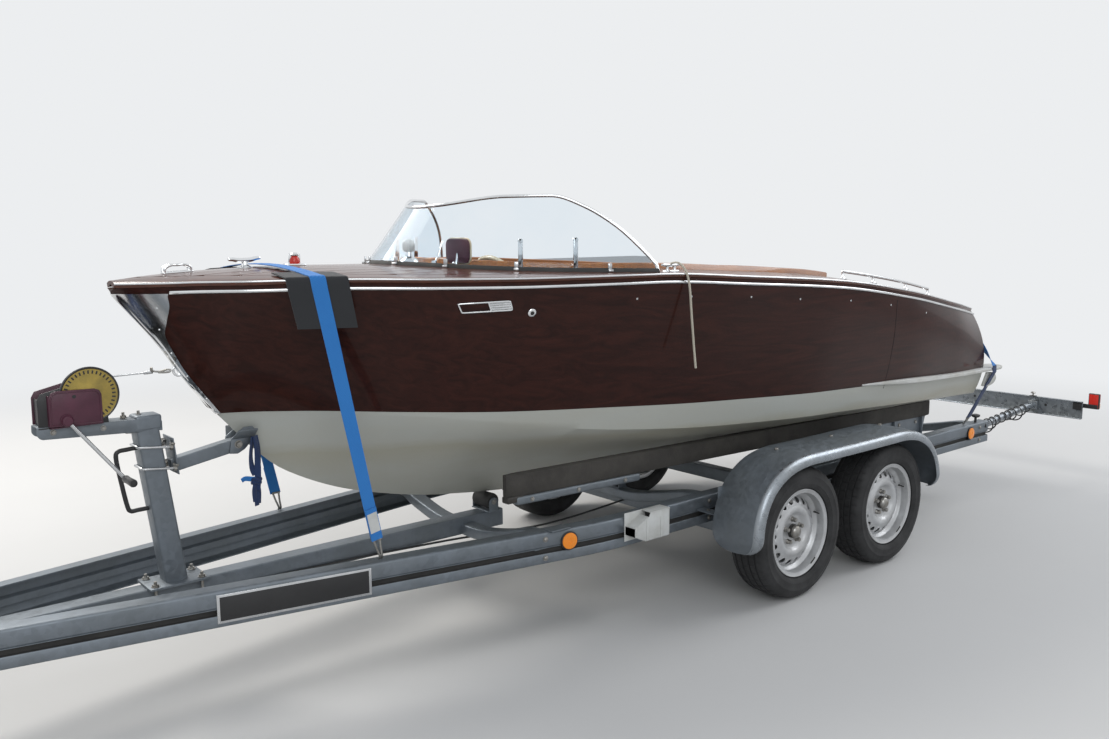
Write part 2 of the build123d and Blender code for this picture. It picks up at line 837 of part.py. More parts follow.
# Bunks
def bunk_low(x):
    start = bottom_z(bunk_rear_x, bunk_y) + 6 - bunk_height
    return start + bunk_slope * (x - bunk_rear_x)


def make_bunks():
    outline = [(x, bunk_low(x)) for x in (bunk_rear_x, bunk_front_x)]
    outline += [(x, bunk_low(x) + bunk_height) for x in (bunk_front_x, bunk_rear_x)]
    board = side_prism(outline, bunk_y - bunk_thickness / 2, bunk_y + bunk_thickness / 2)
    return port_and_starboard(board - outer_hull)


def make_bunk_supports():
    """Posts on the side members, with a channel under the front of each bunk."""
    supports = []
    rail_height_ = 34.0
    front = side_prism(
        [(1060, bunk_low(1060)), (1760, bunk_low(1760)), (1730, bunk_low(1730) - rail_height_),
         (1090, bunk_low(1090) - rail_height_)], bunk_y - 26, bunk_y + 26,
    )
    front += side_prism(
        [(1500, member_top), (1560, member_top), (1560, bunk_low(1560) - 30), (1500, bunk_low(1500) - 30)],
        bunk_y - 26, bunk_y + 26,
    )
    rear = side_prism(
        [(-1330, member_top), (-1010, member_top), (-880, bunk_low(-880)), (-1370, bunk_low(-1370))],
        bunk_y - 3, bunk_y + 20,
    )
    for shape in (front, rear):
        supports += port_and_starboard(shape)
    return supports


def roller_axis(x):
    keel, slope = hull_row(x)[0], (hull_row(x + 5)[0] - hull_row(x - 5)[0]) / 10
    return keel - roller_radius * sqrt(1 + slope * slope) - 0.2


def make_rollers():
    rollers = []
    for x in roller_places:
        z = roller_axis(x)
        half = roller_length / 2
        shape = turned([
            (pin_radius, -half), (roller_radius * 0.9, -half), (roller_radius, -half + 14),
            (roller_radius, half - 14), (roller_radius * 0.9, half), (pin_radius, half),
        ], (x, 0, z))
        rollers.append(shape)
    return rollers


def make_roller_brackets():
    brackets = []
    for x in roller_places:
        z = roller_axis(x)
        foot = beam_top if x > beam_rear_x else member_low + cross_depth
        half = roller_length / 2
        bracket = block(x - 30, x + 30, -half - 8, half + 8, foot, foot + 6)
        for side in (1, -1):
            near, far = sorted((side * (half + 1), side * (half + 8)))
            bracket += block(x - 25, x + 25, near, far, foot, z + 18)
        bracket += rod((x, -half - 12, z), (x, half + 12, z), pin_radius)
        brackets.append(bracket)
    return brackets


# Winch post
def arm_top(x):
    return post_top_z + winch_arm_height + (x - post_top_x) * tan(radians(winch_arm_pitch))


def make_winch_post():
    half = post_size / 2
    foot = beam_top
    post = side_prism(
        [(post_foot_x - half, foot + post_plate), (post_foot_x + half, foot + post_plate),
         (post_top_x + half, post_top_z), (post_top_x - half, post_top_z)], -half, half,
    )
    base = block(post_foot_x - 110, post_foot_x + 110, -75, 75, foot, foot + post_plate)
    x0, x1 = post_top_x - half - 10, winch_arm_x
    arm = side_prism([(x0, arm_top(x0) - winch_arm_height - 4), (x1, arm_top(x1) - winch_arm_height),
                      (x1, arm_top(x1)), (x0, arm_top(x0))], -half, half)
    handle = bent_rod([(post_foot_x + 75, 0, 950), (post_foot_x + 175, 0, 943), (post_foot_x + 147, 0, 719),
                       (post_foot_x + 50, 0, 721)], 25, handle_radius)
    return (post + base + arm) + (handle - post)


def post_face(z):
    """Rear face of the leaning post at a height."""
    foot = beam_top + post_plate
    return post_foot_x - post_size / 2 + (z - foot) / (post_top_z - foot) * (post_top_x - post_foot_x)


stop_end_x = stern_x + 4385
stop_rise = (post_face(stop_z) - stop_end_x) * tan(radians(stop_pitch))
cradle_low = stop_z + stop_rise + stop_half
cradle_rear_x = stop_end_x - 70


def make_bow_stop():
    """Square tube reaching aft from the post, with a cradle cut to the stem."""
    low, high = stop_z - stop_half, stop_z + stop_half
    arm = side_prism([(post_face(low), low), (post_face(high), high), (stop_end_x, high + stop_rise),
                      (stop_end_x, low + stop_rise)], -stop_half, stop_half)
    cradle = block(cradle_rear_x, cradle_rear_x + 100, -70, 70, cradle_low, cradle_low + cradle_height)
    cradle = cradle - outer_hull
    return arm + max(cradle.solids(), key=lambda piece: piece.volume)


def make_winch_frame():
    """Cheek plates on the arm, joined by a floor and a tie, bored for the drum and the crank."""
    rear, front = drum_x - 60, drum_x + 163
    outline = [(rear, arm_top(rear)), (front, arm_top(front)), (front - 2, drum_z + 10),
               (drum_x + 40, drum_z + 42), (drum_x - 30, drum_z + 42), (rear + 5, drum_z - 10)]
    floor_line = [(rear, arm_top(rear)), (front, arm_top(front)), (front, arm_top(front) + 6),
                  (rear, arm_top(rear) + 6)]
    frame = side_prism(floor_line, -cheek_y - 5, cheek_y + 5)
    for cheek in port_and_starboard(side_prism(outline, cheek_y, cheek_y + 5)):
        frame += cheek
    frame += block(front - 12, front - 6, -cheek_y - 5, cheek_y + 5, arm_top(front), drum_z)
    for x, z, radius in ((drum_x, drum_z, drum_pin), (crank_x, crank_z, crank_shaft)):
        frame = frame - rod((x, -60, z), (x, 60, z), radius + turning_gap)
    return frame


def make_winch_drum():
    flange = spool_radius + 20
    disc = disc_radius - 5
    return turned([
        (0, -cheek_y - 12), (drum_pin, -cheek_y - 12), (drum_pin, -31), (flange, -31), (flange, -27),
        (spool_radius, -27), (spool_radius, 27), (flange, 27), (flange, 31), (drum_pin, 31),
        (drum_pin, disc_y), (disc, disc_y), (disc_radius, disc_y + 2), (disc_radius, disc_y + 10),
        (disc, disc_y + 12), (0, disc_y + 12),
    ], (drum_x, 0, drum_z))


def make_crank():
    """Crank with its pinion beside the drum's disc."""
    angle = radians(crank_angle)
    y = disc_y + 26
    end = (crank_x + crank_length * cos(angle), y, crank_z + crank_length * sin(angle))
    reach = sqrt((crank_x - drum_x) ** 2 + (crank_z - drum_z) ** 2)
    pinion = rod((crank_x, disc_y - 1, crank_z), (crank_x, disc_y + 13, crank_z), reach - disc_radius - 0.4)
    shaft = rod((crank_x, -cheek_y - 12, crank_z), (crank_x, y, crank_z), crank_shaft)
    hub = rod((crank_x, y - 8, crank_z), (crank_x, y + 10, crank_z), 16)
    arm = rod((crank_x, y, crank_z), end, 7)
    grip = rod((end[0], y - 12, end[2]), (end[0], y + 98, end[2]), 14)
    return shaft + pinion + hub + arm + grip


def make_cable():
    start = (drum_x, 0, drum_z + spool_radius + cable_radius + 1)
    z = stem_z(eye_x) + 6
    end = eye_x + 12 + 20 + 5.5
    return rod(start, (end, 0, z), cable_radius) + rod((end + 70, 0, z), (end, 0, z), 7)


# Coupling and jockey wheel
def make_coupling():
    reach = drawbar_front_y
    plate = block(beam_front_x, drawbar_front_x, -reach, reach, member_top, member_top + 8)
    house = block(beam_front_x, 4560, -34, 34, member_low + 40, member_top + 8)
    rod_ = rod((4540, 0, member_low + 90), (4640, 0, member_low + 90), 25)
    head = side_prism([
        (4620, member_low + 50), (coupling_tip_x, member_low + 50), (coupling_tip_x, member_low + 100),
        (4720, member_low + 122), (4620, member_low + 122),
    ], -38, 38)
    socket = Solid.make_cylinder(ball_radius, 62, Plane((ball_x, 0, member_low + 30)))
    grip = (4210, 0, member_top + 260)
    lever = bent_rod([(4340, 0, member_top + 4), (4340, 0, member_top + 60), grip], 30, 10)
    return plate + house + rod_ + (head - socket) + lever


jockey_y = member_outer(jockey_x) + jockey_tube_radius + 14.0
jockey_low_z = 432.0
jockey_leg_low = 2 * jockey_radius + 24.0
wheel_place = (jockey_x - caster_trail, jockey_y, jockey_radius)


def make_jockey_tube():
    """Outer tube clamped to the drawbar, open below, with its winding handle on top."""
    x, y = jockey_x, jockey_y
    top = jockey_low_z + 2 * jockey_reach + 20
    tube = rod((x, y, jockey_low_z), (x, y, top), jockey_tube_radius)
    tube = tube - rod((x, y, jockey_low_z - 1), (x, y, top - 8), jockey_leg_radius + turning_gap)
    clamp = block(x - 30, x + 30, member_outer(jockey_x - 30), y, member_low + 20, member_top - 10)
    clamp = clamp - rod((x, y, 0), (x, y, 2000), jockey_tube_radius - 0.5)
    clamp = max(clamp.solids(), key=lambda piece: piece.volume)
    handle = rod((x, y, top - 2), (x, y, top + 26), 9) + rod((x, y, top + 22), (x - 120, y, top + 22), 7)
    handle += rod((x - 120, y, top + 18), (x - 120, y, top + 80), 11)
    return tube + clamp + handle


def make_jockey_leg():
    x, y = jockey_x, jockey_y
    top = jockey_leg_low + 2 * jockey_reach + 10
    return rod((x, y, jockey_leg_low), (x, y, top), jockey_leg_radius)


def make_jockey_fork():
    x, y = jockey_x, jockey_y
    head = 2 * jockey_radius + 8
    half = jockey_width / 2 + 6
    fork = block(x - 42, x + 32, y - half - 5, y + half + 5, head, head + 8)
    fork += rod((x, y, head + 7), (x, y, jockey_leg_low - 0.4), 24)
    hub_x = wheel_place[0]
    outline = [(x - 42, head + 4), (x + 30, head + 4), (hub_x + 20, 84), (hub_x - 20, 84)]
    for side in (1, -1):
        near, far = sorted((y + side * half, y + side * (half + 5)))
        fork += side_prism(outline, near, far)
    return fork + rod((hub_x, y - half - 6, jockey_radius), (hub_x, y + half + 6, jockey_radius), 8)


def make_jockey_wheel():
    half = jockey_width / 2
    radius = jockey_radius
    return turned([
        (8 + turning_gap, -half), (22, -half), (26, -12), (62, -12), (70, -half + 4), (radius - 8, -half),
        (radius, -half + 10), (radius, half - 10), (radius - 8, half), (70, half - 4), (62, 12), (26, 12),
        (22, half), (8 + turning_gap, half),
    ], wheel_place)


# Lights and small pieces
def make_light_board():
    """Board with a lamp on a bracket at each end, held by two tubes from the last cross-member."""
    low, high = board_z - board_height / 2, board_z + board_height / 2
    rear_x, front_x = board_x + 25 + seat_gap, cross_places[-1] - cross_width / 2 - seat_gap
    start_z = member_top - member_wall - light_tube_radius - 9
    board = block(board_x, board_x + 25, -board_half, board_half, low, high)
    tubes = []
    for side in (1, -1):
        near, far = sorted((side * (board_half - 60), side * (lamp_y - 5)))
        board += block(board_x - 12, board_x, near, far, board_z + 16, board_z + 46)
        near, far = sorted((side * (lamp_y - 70), side * lamp_y))
        board += block(board_x - 45, board_x - 10, near, far, board_z + 14, board_z + 118)
        y = side * (member_y - member_wall - light_tube_radius)
        tube = rod((front_x + 20, y, start_z), (rear_x - 20, y, board_z), light_tube_radius)
        tubes.append(tube & block(rear_x, front_x, -wheel_y, wheel_y, *tall))
    return [board] + tubes


def make_chock_holder():
    return block(985, 1205, member_y, member_y + 62, member_low + 24, member_top + 16)


def ribbon(points, width, thickness):
    """Flat webbing through (x, y, z, normal y, normal z), wide along X."""
    sections = []
    for x, y, z, ny, nz in points:
        half = width / 2
        a, b = (y, z), (y + ny * thickness, z + nz * thickness)
        sections.append([(x - half, *a), (x + half, *a), (x + half, *b), (x - half, *b)])
    return skin(sections)


strap_x = stern_x + 4225.0
strap_foot_x = 2275.0


def strap_path():
    """Half of the bow strap from the deck's middle down to the side member: x, y, z and normal."""
    rows = [hull_row(strap_x + side * sleeve_width / 2) for side in (1, -1)]
    edge = max(row[3] for row in rows) + strip_proud + 6
    level = max(deck_z(strap_x + side * sleeve_width / 2, rows[1][3] * 0.75) for side in (1, -1)) + 6
    crest = max(row[4] + row[6] for row in rows) + 6
    foot_y = member_outer(strap_foot_x) - member_width / 2
    side_z = rows[0][4] - 170
    return [
        (strap_x, 0, crest, 0, 1), (strap_x, rows[1][3] - 100, level, 0, 1),
        (strap_x, edge, level, 0.8, 0.6), (strap_x, edge + 2, side_z, 1, 0),
        (strap_foot_x, foot_y, member_top + seat_gap, 1, 0),
    ]


def bow_strap():
    half = strap_path()
    whole = [(a, -b, c, -d, e) for a, b, c, d, e in reversed(half[1:])] + half
    return ribbon(whole, strap_width, strap_sheet)


def make_sleeves():
    """Flat sleeves over the deck edges, each with a slot that the strap runs through."""
    wall = (sleeve_sheet - strap_sheet) / 2
    points = strap_path()[1:4]
    path = [(x, y - ny * wall, z - nz * wall, ny, nz) for x, y, z, ny, nz in points]
    sleeve = ribbon(path, sleeve_width, sleeve_sheet) - bow_strap()
    return port_and_starboard(max(sleeve.solids(), key=lambda piece: piece.volume))


def stern_strap():
    """Down from the transom's upper corner, over the fin's edge and in to the side member."""
    line = side_line(hull_row(stern_x))
    (y0, z0), (y1, z1) = line[:2]
    low, high = [z0 + (z1 - z0) * share / side_steps[1] for share in strake_rows[-1][1:3]]
    edge = y0 + (y1 - y0) * strake_rows[-1][1] / side_steps[1] + fin_reach + seat_gap
    x = stern_x - seat_gap - strap_width / 2
    return ribbon([
        (x, 612, keel_z + 640, 1, 0), (x, edge, high + 8, 1, 0), (x, edge, low - 8, 1, 0),
        (x - 12, member_y - member_width / 2, member_top + seat_gap, 1, 0),
    ], strap_width, strap_sheet)


def make_straps():
    """The bow strap with its folded spare length, and the stern straps."""
    return [bow_strap()] + port_and_starboard(stern_strap()) + [make_bundle()]


def make_bundle():
    """Spare length of webbing folded and tied, hanging under the bow stop's cradle."""
    top = cradle_low - seat_gap
    return block(cradle_rear_x + 1, cradle_rear_x + 44, 33, 59, top - 280, top)


# Rope over the gunwale: route from the side cleat to its bare end, relative to the cleat
rope_radius = 5.0
rope_route = (
    (0, 0, 36.9), (-6, 20, 43.5), (-14, 45, 36), (-22, 65, 8), (-28, 75, -30), (-33, 79, -78), (-37, 80, -130),
    (-42, 81, -185), (-47, 83, -240), (-53, 84, -298), (-58, 86, -350), (-64, 87, -397),
)


def rope_points():
    x = stern_x + cleat_place
    start = Vector(x, cleat_y, deck_z(x, cleat_y))
    return [start + Vector(*step) for step in rope_route]


def make_rope():
    points = rope_points()
    radii = []
    for a, b, c in zip(points, points[1:], points[2:]):
        turn = (b - a).get_angle(c - b)
        radii.append(0.45 * min((b - a).length, (c - b).length) / tan(radians(turn) / 2))
    path = FilletPolyline(*points, radius=radii)
    tube = sweep(Plane(path @ 0, z_dir=path % 0) * Circle(rope_radius), path=path).solid()
    print("rope", round(path.length), "mm; radii", [round(r) for r in radii])
    straight = pi * rope_radius ** 2 * path.length
    print("rope volume over that of a straight one", round(tube.volume / straight, 4))
    return tube


def save(name, shapes):
    shapes = shapes if isinstance(shapes, (list, tuple, ShapeList)) else [shapes]
    solids = []
    for shape in shapes:
        solids += shape.solids()
    placed = [solid.moved(Location((-middle_x, 0, 0))) for solid in solids]
    export_step(placed[0] if len(placed) == 1 else Compound(children=placed), f"parts/{name}.step")


def main():
    os.makedirs("parts", exist_ok=True)
    side = make_side()
    glass, frame = make_windshield()
    member = make_side_member()
    fender = make_fender()
    pieces = {
        "hull_bottom": make_bottom(),
        "hull_side_port": side,
        "hull_side_starboard": mirror(side, Plane.XZ),
        "hull_bow": hull_body(bow_x, tip_x),
        "transom": make_transom(),
        "foredeck": make_foredeck(),
        "side_decks": make_side_decks(),
        "aft_deck": make_aft_deck(),
        "engine_hatch": make_hatch(),
        "sheer_strips": make_sheer_strips(),
        "spray_strakes": make_strakes(),
        "cutwater": make_cutwater(),
        "windshield_glass": glass,
        "windshield_frame": frame,
        "cockpit_floor": make_floor(),
        "bulkheads": make_bulkheads(),
        "dashboard": make_dashboard(),
        "steering_wheel": make_steering_wheel(),
        "seat_cushions": make_seats(),
        "engine_block": make_engine(),
        "deck_fittings": make_fittings(),
        "handrails": make_handrails(),
        "propeller": make_propeller(),
        "running_gear": make_running_gear(),
        "rudder": make_rudder(),
        "side_member_port": member,
        "side_member_starboard": mirror(member, Plane.XZ),
        "centre_beam": make_centre_beam(),
        "cross_members": make_cross_members(),
        "axles": make_axles(),
        "fender_port": fender,
        "fender_starboard": mirror(fender, Plane.XZ),
        "bunks": make_bunks(),
        "bunk_supports": make_bunk_supports(),
        "keel_rollers": make_rollers(),
        "roller_brackets": make_roller_brackets(),
        "winch_post": make_winch_post(),
        "bow_stop": make_bow_stop(),
        "winch_frame": make_winch_frame(),
        "winch_drum": make_winch_drum(),
        "winch_crank": make_crank(),
        "winch_cable": make_cable(),
        "coupling": make_coupling(),
        "jockey_tube": make_jockey_tube(),
        "jockey_leg": make_jockey_leg(),
        "jockey_fork": make_jockey_fork(),
        "jockey_wheel": make_jockey_wheel(),
        "light_board": make_light_board(),
        "chock_holder": make_chock_holder(),
        "strap_sleeves": make_sleeves(),
        "straps": make_straps(),
        "rope": make_rope(),
    }
    rim, tyre = make_rim(), make_tyre()
    for hand, side_y, rim_, tyre_ in (
        ("port", wheel_y, rim, tyre), ("starboard", -wheel_y, mirror(rim, Plane.XZ), mirror(tyre, Plane.XZ)),
    ):
        for end, x in zip(("front", "rear"), axle_places):
            place = Location((x, side_y, hub_z))
            pieces[f"rim_{end}_{hand}"] = rim_.moved(place)
            pieces[f"tyre_{end}_{hand}"] = tyre_.moved(place)
    for name, shapes in pieces.items():
        save(name, shapes)
    print(len(pieces), "nodes; middle of the length at", round(middle_x, 1))


main()
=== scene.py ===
import math
import random

import bmesh
import bpy
from mathutils import Matrix, Vector


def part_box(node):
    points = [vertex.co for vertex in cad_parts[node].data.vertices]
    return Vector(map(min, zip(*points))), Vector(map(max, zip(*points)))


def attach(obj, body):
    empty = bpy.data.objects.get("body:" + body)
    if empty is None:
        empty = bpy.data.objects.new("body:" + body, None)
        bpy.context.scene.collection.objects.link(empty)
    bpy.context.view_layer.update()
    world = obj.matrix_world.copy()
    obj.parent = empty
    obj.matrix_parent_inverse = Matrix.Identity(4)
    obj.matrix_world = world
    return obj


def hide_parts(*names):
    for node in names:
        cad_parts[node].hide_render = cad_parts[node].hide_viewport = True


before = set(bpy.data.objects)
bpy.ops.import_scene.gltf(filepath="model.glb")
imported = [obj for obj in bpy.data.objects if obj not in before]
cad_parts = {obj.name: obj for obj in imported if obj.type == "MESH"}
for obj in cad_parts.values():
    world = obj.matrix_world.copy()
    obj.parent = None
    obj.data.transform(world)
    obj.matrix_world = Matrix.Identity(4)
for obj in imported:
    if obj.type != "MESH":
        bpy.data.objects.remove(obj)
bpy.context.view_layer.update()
scene = bpy.context.scene
whole = "boat_on_trailer"
# the trailer's own zero in the frame's lengthwise places
trailerZero = 0.98
print("frame loaded", len(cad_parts), "nodes")

# camera, standing at the port bow
cameraView = {"place": (3.1202, 3.6273, 1.7195), "heading": -0.7, "tilt": 0.142, "roll": -0.006,
              "lens": 32.144}


def placeCamera():
    v = cameraView
    ahead = Vector((math.sin(v["heading"]) * math.cos(v["tilt"]),
                    -math.cos(v["heading"]) * math.cos(v["tilt"]), -math.sin(v["tilt"])))
    right = Vector((-math.cos(v["heading"]), -math.sin(v["heading"]), 0))
    up = right.cross(ahead)
    right, up = (right * math.cos(v["roll"]) + up * math.sin(v["roll"]),
                 up * math.cos(v["roll"]) - right * math.sin(v["roll"]))
    camera = bpy.data.objects.new("camera", bpy.data.cameras.new("camera"))
    camera.data.lens = v["lens"]
    camera.data.sensor_width = 36
    camera.data.sensor_fit = "HORIZONTAL"
    camera.matrix_world = Matrix((
        (right.x, up.x, -ahead.x, v["place"][0]), (right.y, up.y, -ahead.y, v["place"][1]),
        (right.z, up.z, -ahead.z, v["place"][2]), (0, 0, 0, 1)))
    scene.collection.objects.link(camera)
    scene.camera = camera


placeCamera()
scene.view_settings.view_transform = "Standard"


# shader node groups, each built once
def newGroup(name, inputs, outputs):
    group = bpy.data.node_groups.new(name, "ShaderNodeTree")
    for label, kind, value in inputs:
        socket = group.interface.new_socket(label, in_out="INPUT", socket_type=kind)
        socket.default_value = value
    for label, kind in outputs:
        group.interface.new_socket(label, in_out="OUTPUT", socket_type=kind)
    return group, group.nodes.new("NodeGroupInput"), group.nodes.new("NodeGroupOutput")


def node(tree, kind, **settings):
    made = tree.nodes.new(kind)
    for key, value in settings.items():
        if key.startswith("in_"):
            made.inputs[int(key[3:])].default_value = value
        else:
            setattr(made, key, value)
    return made


def join(tree, start, end):
    tree.links.new(start, end)


def maths(tree, operation, a, b=None):
    made = node(tree, "ShaderNodeMath", operation=operation)
    for i, value in enumerate((a, b)):
        if value is None:
            continue
        if hasattr(value, "links"):
            join(tree, value, made.inputs[i])
        else:
            made.inputs[i].default_value = value
    return made.outputs[0]


def stretched(tree, start, stretch):
    made = node(tree, "ShaderNodeVectorMath", operation="MULTIPLY")
    join(tree, start, made.inputs[0])
    if hasattr(stretch, "links"):
        join(tree, stretch, made.inputs[1])
    else:
        made.inputs[1].default_value = stretch
    return made.outputs[0]


def makeWear():
    # broad patches and fine dust over any surface
    group, start, end = newGroup("surfaceWear", [
        ("Scale", "NodeSocketFloat", 3.0), ("Stretch", "NodeSocketVector", (1, 1, 1)),
        ("Contrast", "NodeSocketFloat", 2.0), ("Fine Scale", "NodeSocketFloat", 90.0)],
        [("Patches", "NodeSocketFloat"), ("Fine", "NodeSocketFloat")])
    place = node(group, "ShaderNodeTexCoord").outputs["Object"]
    broad = node(group, "ShaderNodeTexNoise", in_3=6.0, in_4=0.62)
    join(group, stretched(group, place, start.outputs["Stretch"]), broad.inputs["Vector"])
    join(group, start.outputs["Scale"], broad.inputs["Scale"])
    centred = maths(group, "SUBTRACT", broad.outputs[0], 0.5)
    spread = maths(group, "ADD", maths(group, "MULTIPLY", centred, start.outputs["Contrast"]), 0.5)
    clamp = node(group, "ShaderNodeClamp")
    join(group, spread, clamp.inputs[0])
    fine = node(group, "ShaderNodeTexNoise", in_3=3.0)
    join(group, place, fine.inputs["Vector"])
    join(group, start.outputs["Fine Scale"], fine.inputs["Scale"])
    join(group, clamp.outputs[0], end.inputs["Patches"])
    join(group, fine.outputs[0], end.inputs["Fine"])
    return group


def makeGrain():
    # long figured lines of wood and short pores
    group, start, end = newGroup("woodGrain", [
        ("Stretch", "NodeSocketVector", (0.7, 9, 9)), ("Scale", "NodeSocketFloat", 2.4)],
        [("Figure", "NodeSocketFloat"), ("Pores", "NodeSocketFloat")])
    place = node(group, "ShaderNodeTexCoord").outputs["Object"]
    along = stretched(group, place, start.outputs["Stretch"])
    figure = node(group, "ShaderNodeTexNoise", in_3=7.0, in_4=0.58, in_8=1.6)
    join(group, along, figure.inputs["Vector"])
    join(group, start.outputs["Scale"], figure.inputs["Scale"])
    pores = node(group, "ShaderNodeTexNoise", in_3=2.0)
    join(group, stretched(group, along, (3, 9, 9)), pores.inputs["Vector"])
    join(group, maths(group, "MULTIPLY", start.outputs["Scale"], 3.0), pores.inputs["Scale"])
    join(group, figure.outputs[0], end.inputs["Figure"])
    join(group, pores.outputs[0], end.inputs["Pores"])
    return group


def makeWeave():
    # crossing threads of webbing and cloth
    group, start, end = newGroup("weave", [("Threads", "NodeSocketFloat", 900.0)],
                                 [("Height", "NodeSocketFloat")])
    place = node(group, "ShaderNodeTexCoord").outputs["Object"]
    split = node(group, "ShaderNodeSeparateXYZ")
    join(group, place, split.inputs[0])
    across = maths(group, "SINE", maths(group, "MULTIPLY", split.outputs[0], start.outputs["Threads"]))
    run = maths(group, "ADD", split.outputs[1], split.outputs[2])
    along = maths(group, "SINE", maths(group, "MULTIPLY", run, start.outputs["Threads"]))
    join(group, maths(group, "MULTIPLY", across, along), end.inputs["Height"])
    return group


def makeSpangle():
    # the frosted crystals of hot-dip zinc
    group, start, end = newGroup("spangle", [("Scale", "NodeSocketFloat", 60.0)],
                                 [("Crystals", "NodeSocketFloat"), ("Runs", "NodeSocketFloat")])
    place = node(group, "ShaderNodeTexCoord").outputs["Object"]
    cells = node(group, "ShaderNodeTexVoronoi")
    join(group, place, cells.inputs["Vector"])
    join(group, start.outputs["Scale"], cells.inputs["Scale"])
    grey = node(group, "ShaderNodeSeparateColor")
    join(group, cells.outputs["Color"], grey.inputs[0])
    runs = node(group, "ShaderNodeTexNoise", in_2=1.0, in_3=5.0)
    join(group, stretched(group, place, (9, 9, 1.5)), runs.inputs["Vector"])
    join(group, grey.outputs[0], end.inputs["Crystals"])
    join(group, runs.outputs[0], end.inputs["Runs"])
    return group


wear, grain, weave, spangle = makeWear(), makeGrain(), makeWeave(), makeSpangle()


# finishes
def bare(name):
    material = bpy.data.materials.new(name)
    material.use_nodes = True
    tree = material.node_tree
    tree.nodes.clear()
    shader = tree.nodes.new("ShaderNodeBsdfPrincipled")
    join(tree, shader.outputs[0], tree.nodes.new("ShaderNodeOutputMaterial").inputs[0])
    return material, tree, shader


def placed(tree, group, **values):
    made = node(tree, "ShaderNodeGroup", node_tree=group)
    for key, value in values.items():
        made.inputs[key.replace("_", " ")].default_value = value
    return made


def between(tree, mask, low, high):
    ramp = node(tree, "ShaderNodeMapRange", in_3=low, in_4=high)
    join(tree, mask, ramp.inputs[0])
    return ramp.outputs[0]


def blendColours(tree, mask, a, b):
    mix = node(tree, "ShaderNodeMix", data_type="RGBA")
    join(tree, mask, mix.inputs[0])
    for slot, value in ((6, a), (7, b)):
        if hasattr(value, "links"):
            join(tree, value, mix.inputs[slot])
        else:
            mix.inputs[slot].default_value = (*value, 1)
    return mix.outputs[2]


def bumped(tree, shader, height, depth, strength=1.0):
    bump = node(tree, "ShaderNodeBump")
    bump.inputs["Strength"].default_value = strength
    bump.inputs["Distance"].default_value = depth
    join(tree, height, bump.inputs["Height"])
    join(tree, bump.outputs[0], shader.inputs["Normal"])


def coated(shader, weight, rough=0.06):
    shader.inputs["Coat Weight"].default_value = weight
    shader.inputs["Coat Roughness"].default_value = rough


def worn(name, light, dark, rough=(0.35, 0.5), metal=0.0, scale=3.0, stretch=(1, 1, 1), contrast=2.2,
         fine=120.0, depth=0.0003, specular=0.5):
    # two tones in patches, changing roughness and a fine bump
    material, tree, shader = bare(name)
    marks = placed(tree, wear, Scale=scale, Stretch=stretch, Contrast=contrast, Fine_Scale=fine)
    join(tree, blendColours(tree, marks.outputs[0], dark, light), shader.inputs["Base Color"])
    join(tree, between(tree, marks.outputs[0], rough[1], rough[0]), shader.inputs["Roughness"])
    shader.inputs["Metallic"].default_value = metal
    shader.inputs["Specular IOR Level"].default_value = specular
    bumped(tree, shader, marks.outputs[1], depth)
    return material


def wooden(name, light, dark, stretch=(0.7, 9, 9), scale=2.4, rough=0.32, coat=0.5, depth=0.0002, shine=0.25):
    material, tree, shader = bare(name)
    lines = placed(tree, grain, Stretch=stretch, Scale=scale)
    ramp = between(tree, lines.outputs[0], -0.35, 1.35)
    tone = blendColours(tree, ramp, dark, light)
    pores = between(tree, lines.outputs[1], 0.55, 1.25)
    shade = node(tree, "ShaderNodeMix", data_type="RGBA", blend_type="MULTIPLY", in_0=1.0)
    join(tree, tone, shade.inputs[6])
    join(tree, pores, shade.inputs[7])
    join(tree, shade.outputs[2], shader.inputs["Base Color"])
    shader.inputs["Roughness"].default_value = rough
    shader.inputs["Specular IOR Level"].default_value = shine
    coated(shader, coat)
    ripple = node(tree, "ShaderNodeTexNoise", in_2=55.0, in_3=1.0)
    join(tree, node(tree, "ShaderNodeTexCoord").outputs["Object"], ripple.inputs["Vector"])
    bumped(tree, shader, ripple.outputs[0], depth)
    return material


def woven(name, light, dark, threads=900.0, rough=0.8, depth=0.0006):
    material, tree, shader = bare(name)
    cloth = placed(tree, weave, Threads=threads)
    marks = placed(tree, wear, Scale=9.0, Contrast=2.0, Fine_Scale=240.0)
    mask = between(tree, cloth.outputs[0], 0.25, 1.0)
    thread = blendColours(tree, mask, dark, light)
    join(tree, blendColours(tree, between(tree, marks.outputs[0], 0.0, 0.35), thread, dark),
         shader.inputs["Base Color"])
    shader.inputs["Roughness"].default_value = rough
    shader.inputs["Sheen Weight"].default_value = 0.15
    bumped(tree, shader, cloth.outputs[0], depth, 0.6)
    return material


def zinc(name, light, dark, rough=(0.38, 0.58), metal=0.55):
    material, tree, shader = bare(name)
    frost = placed(tree, spangle, Scale=55.0)
    marks = placed(tree, wear, Scale=4.0, Contrast=2.6, Fine_Scale=150.0)
    mask = maths(tree, "ADD", maths(tree, "MULTIPLY", frost.outputs[0], 0.3),
                 maths(tree, "MULTIPLY", frost.outputs[1], 0.7))
    tone = blendColours(tree, mask, dark, light)
    dust = (dark[0] * 1.1, dark[1] * 1.02, dark[2] * 0.9)
    join(tree, blendColours(tree, between(tree, marks.outputs[0], 0.0, 0.5), tone, dust),
         shader.inputs["Base Color"])
    join(tree, between(tree, frost.outputs[0], rough[0], rough[1]), shader.inputs["Roughness"])
    shader.inputs["Metallic"].default_value = metal
    bumped(tree, shader, frost.outputs[0], 0.00015)
    return material


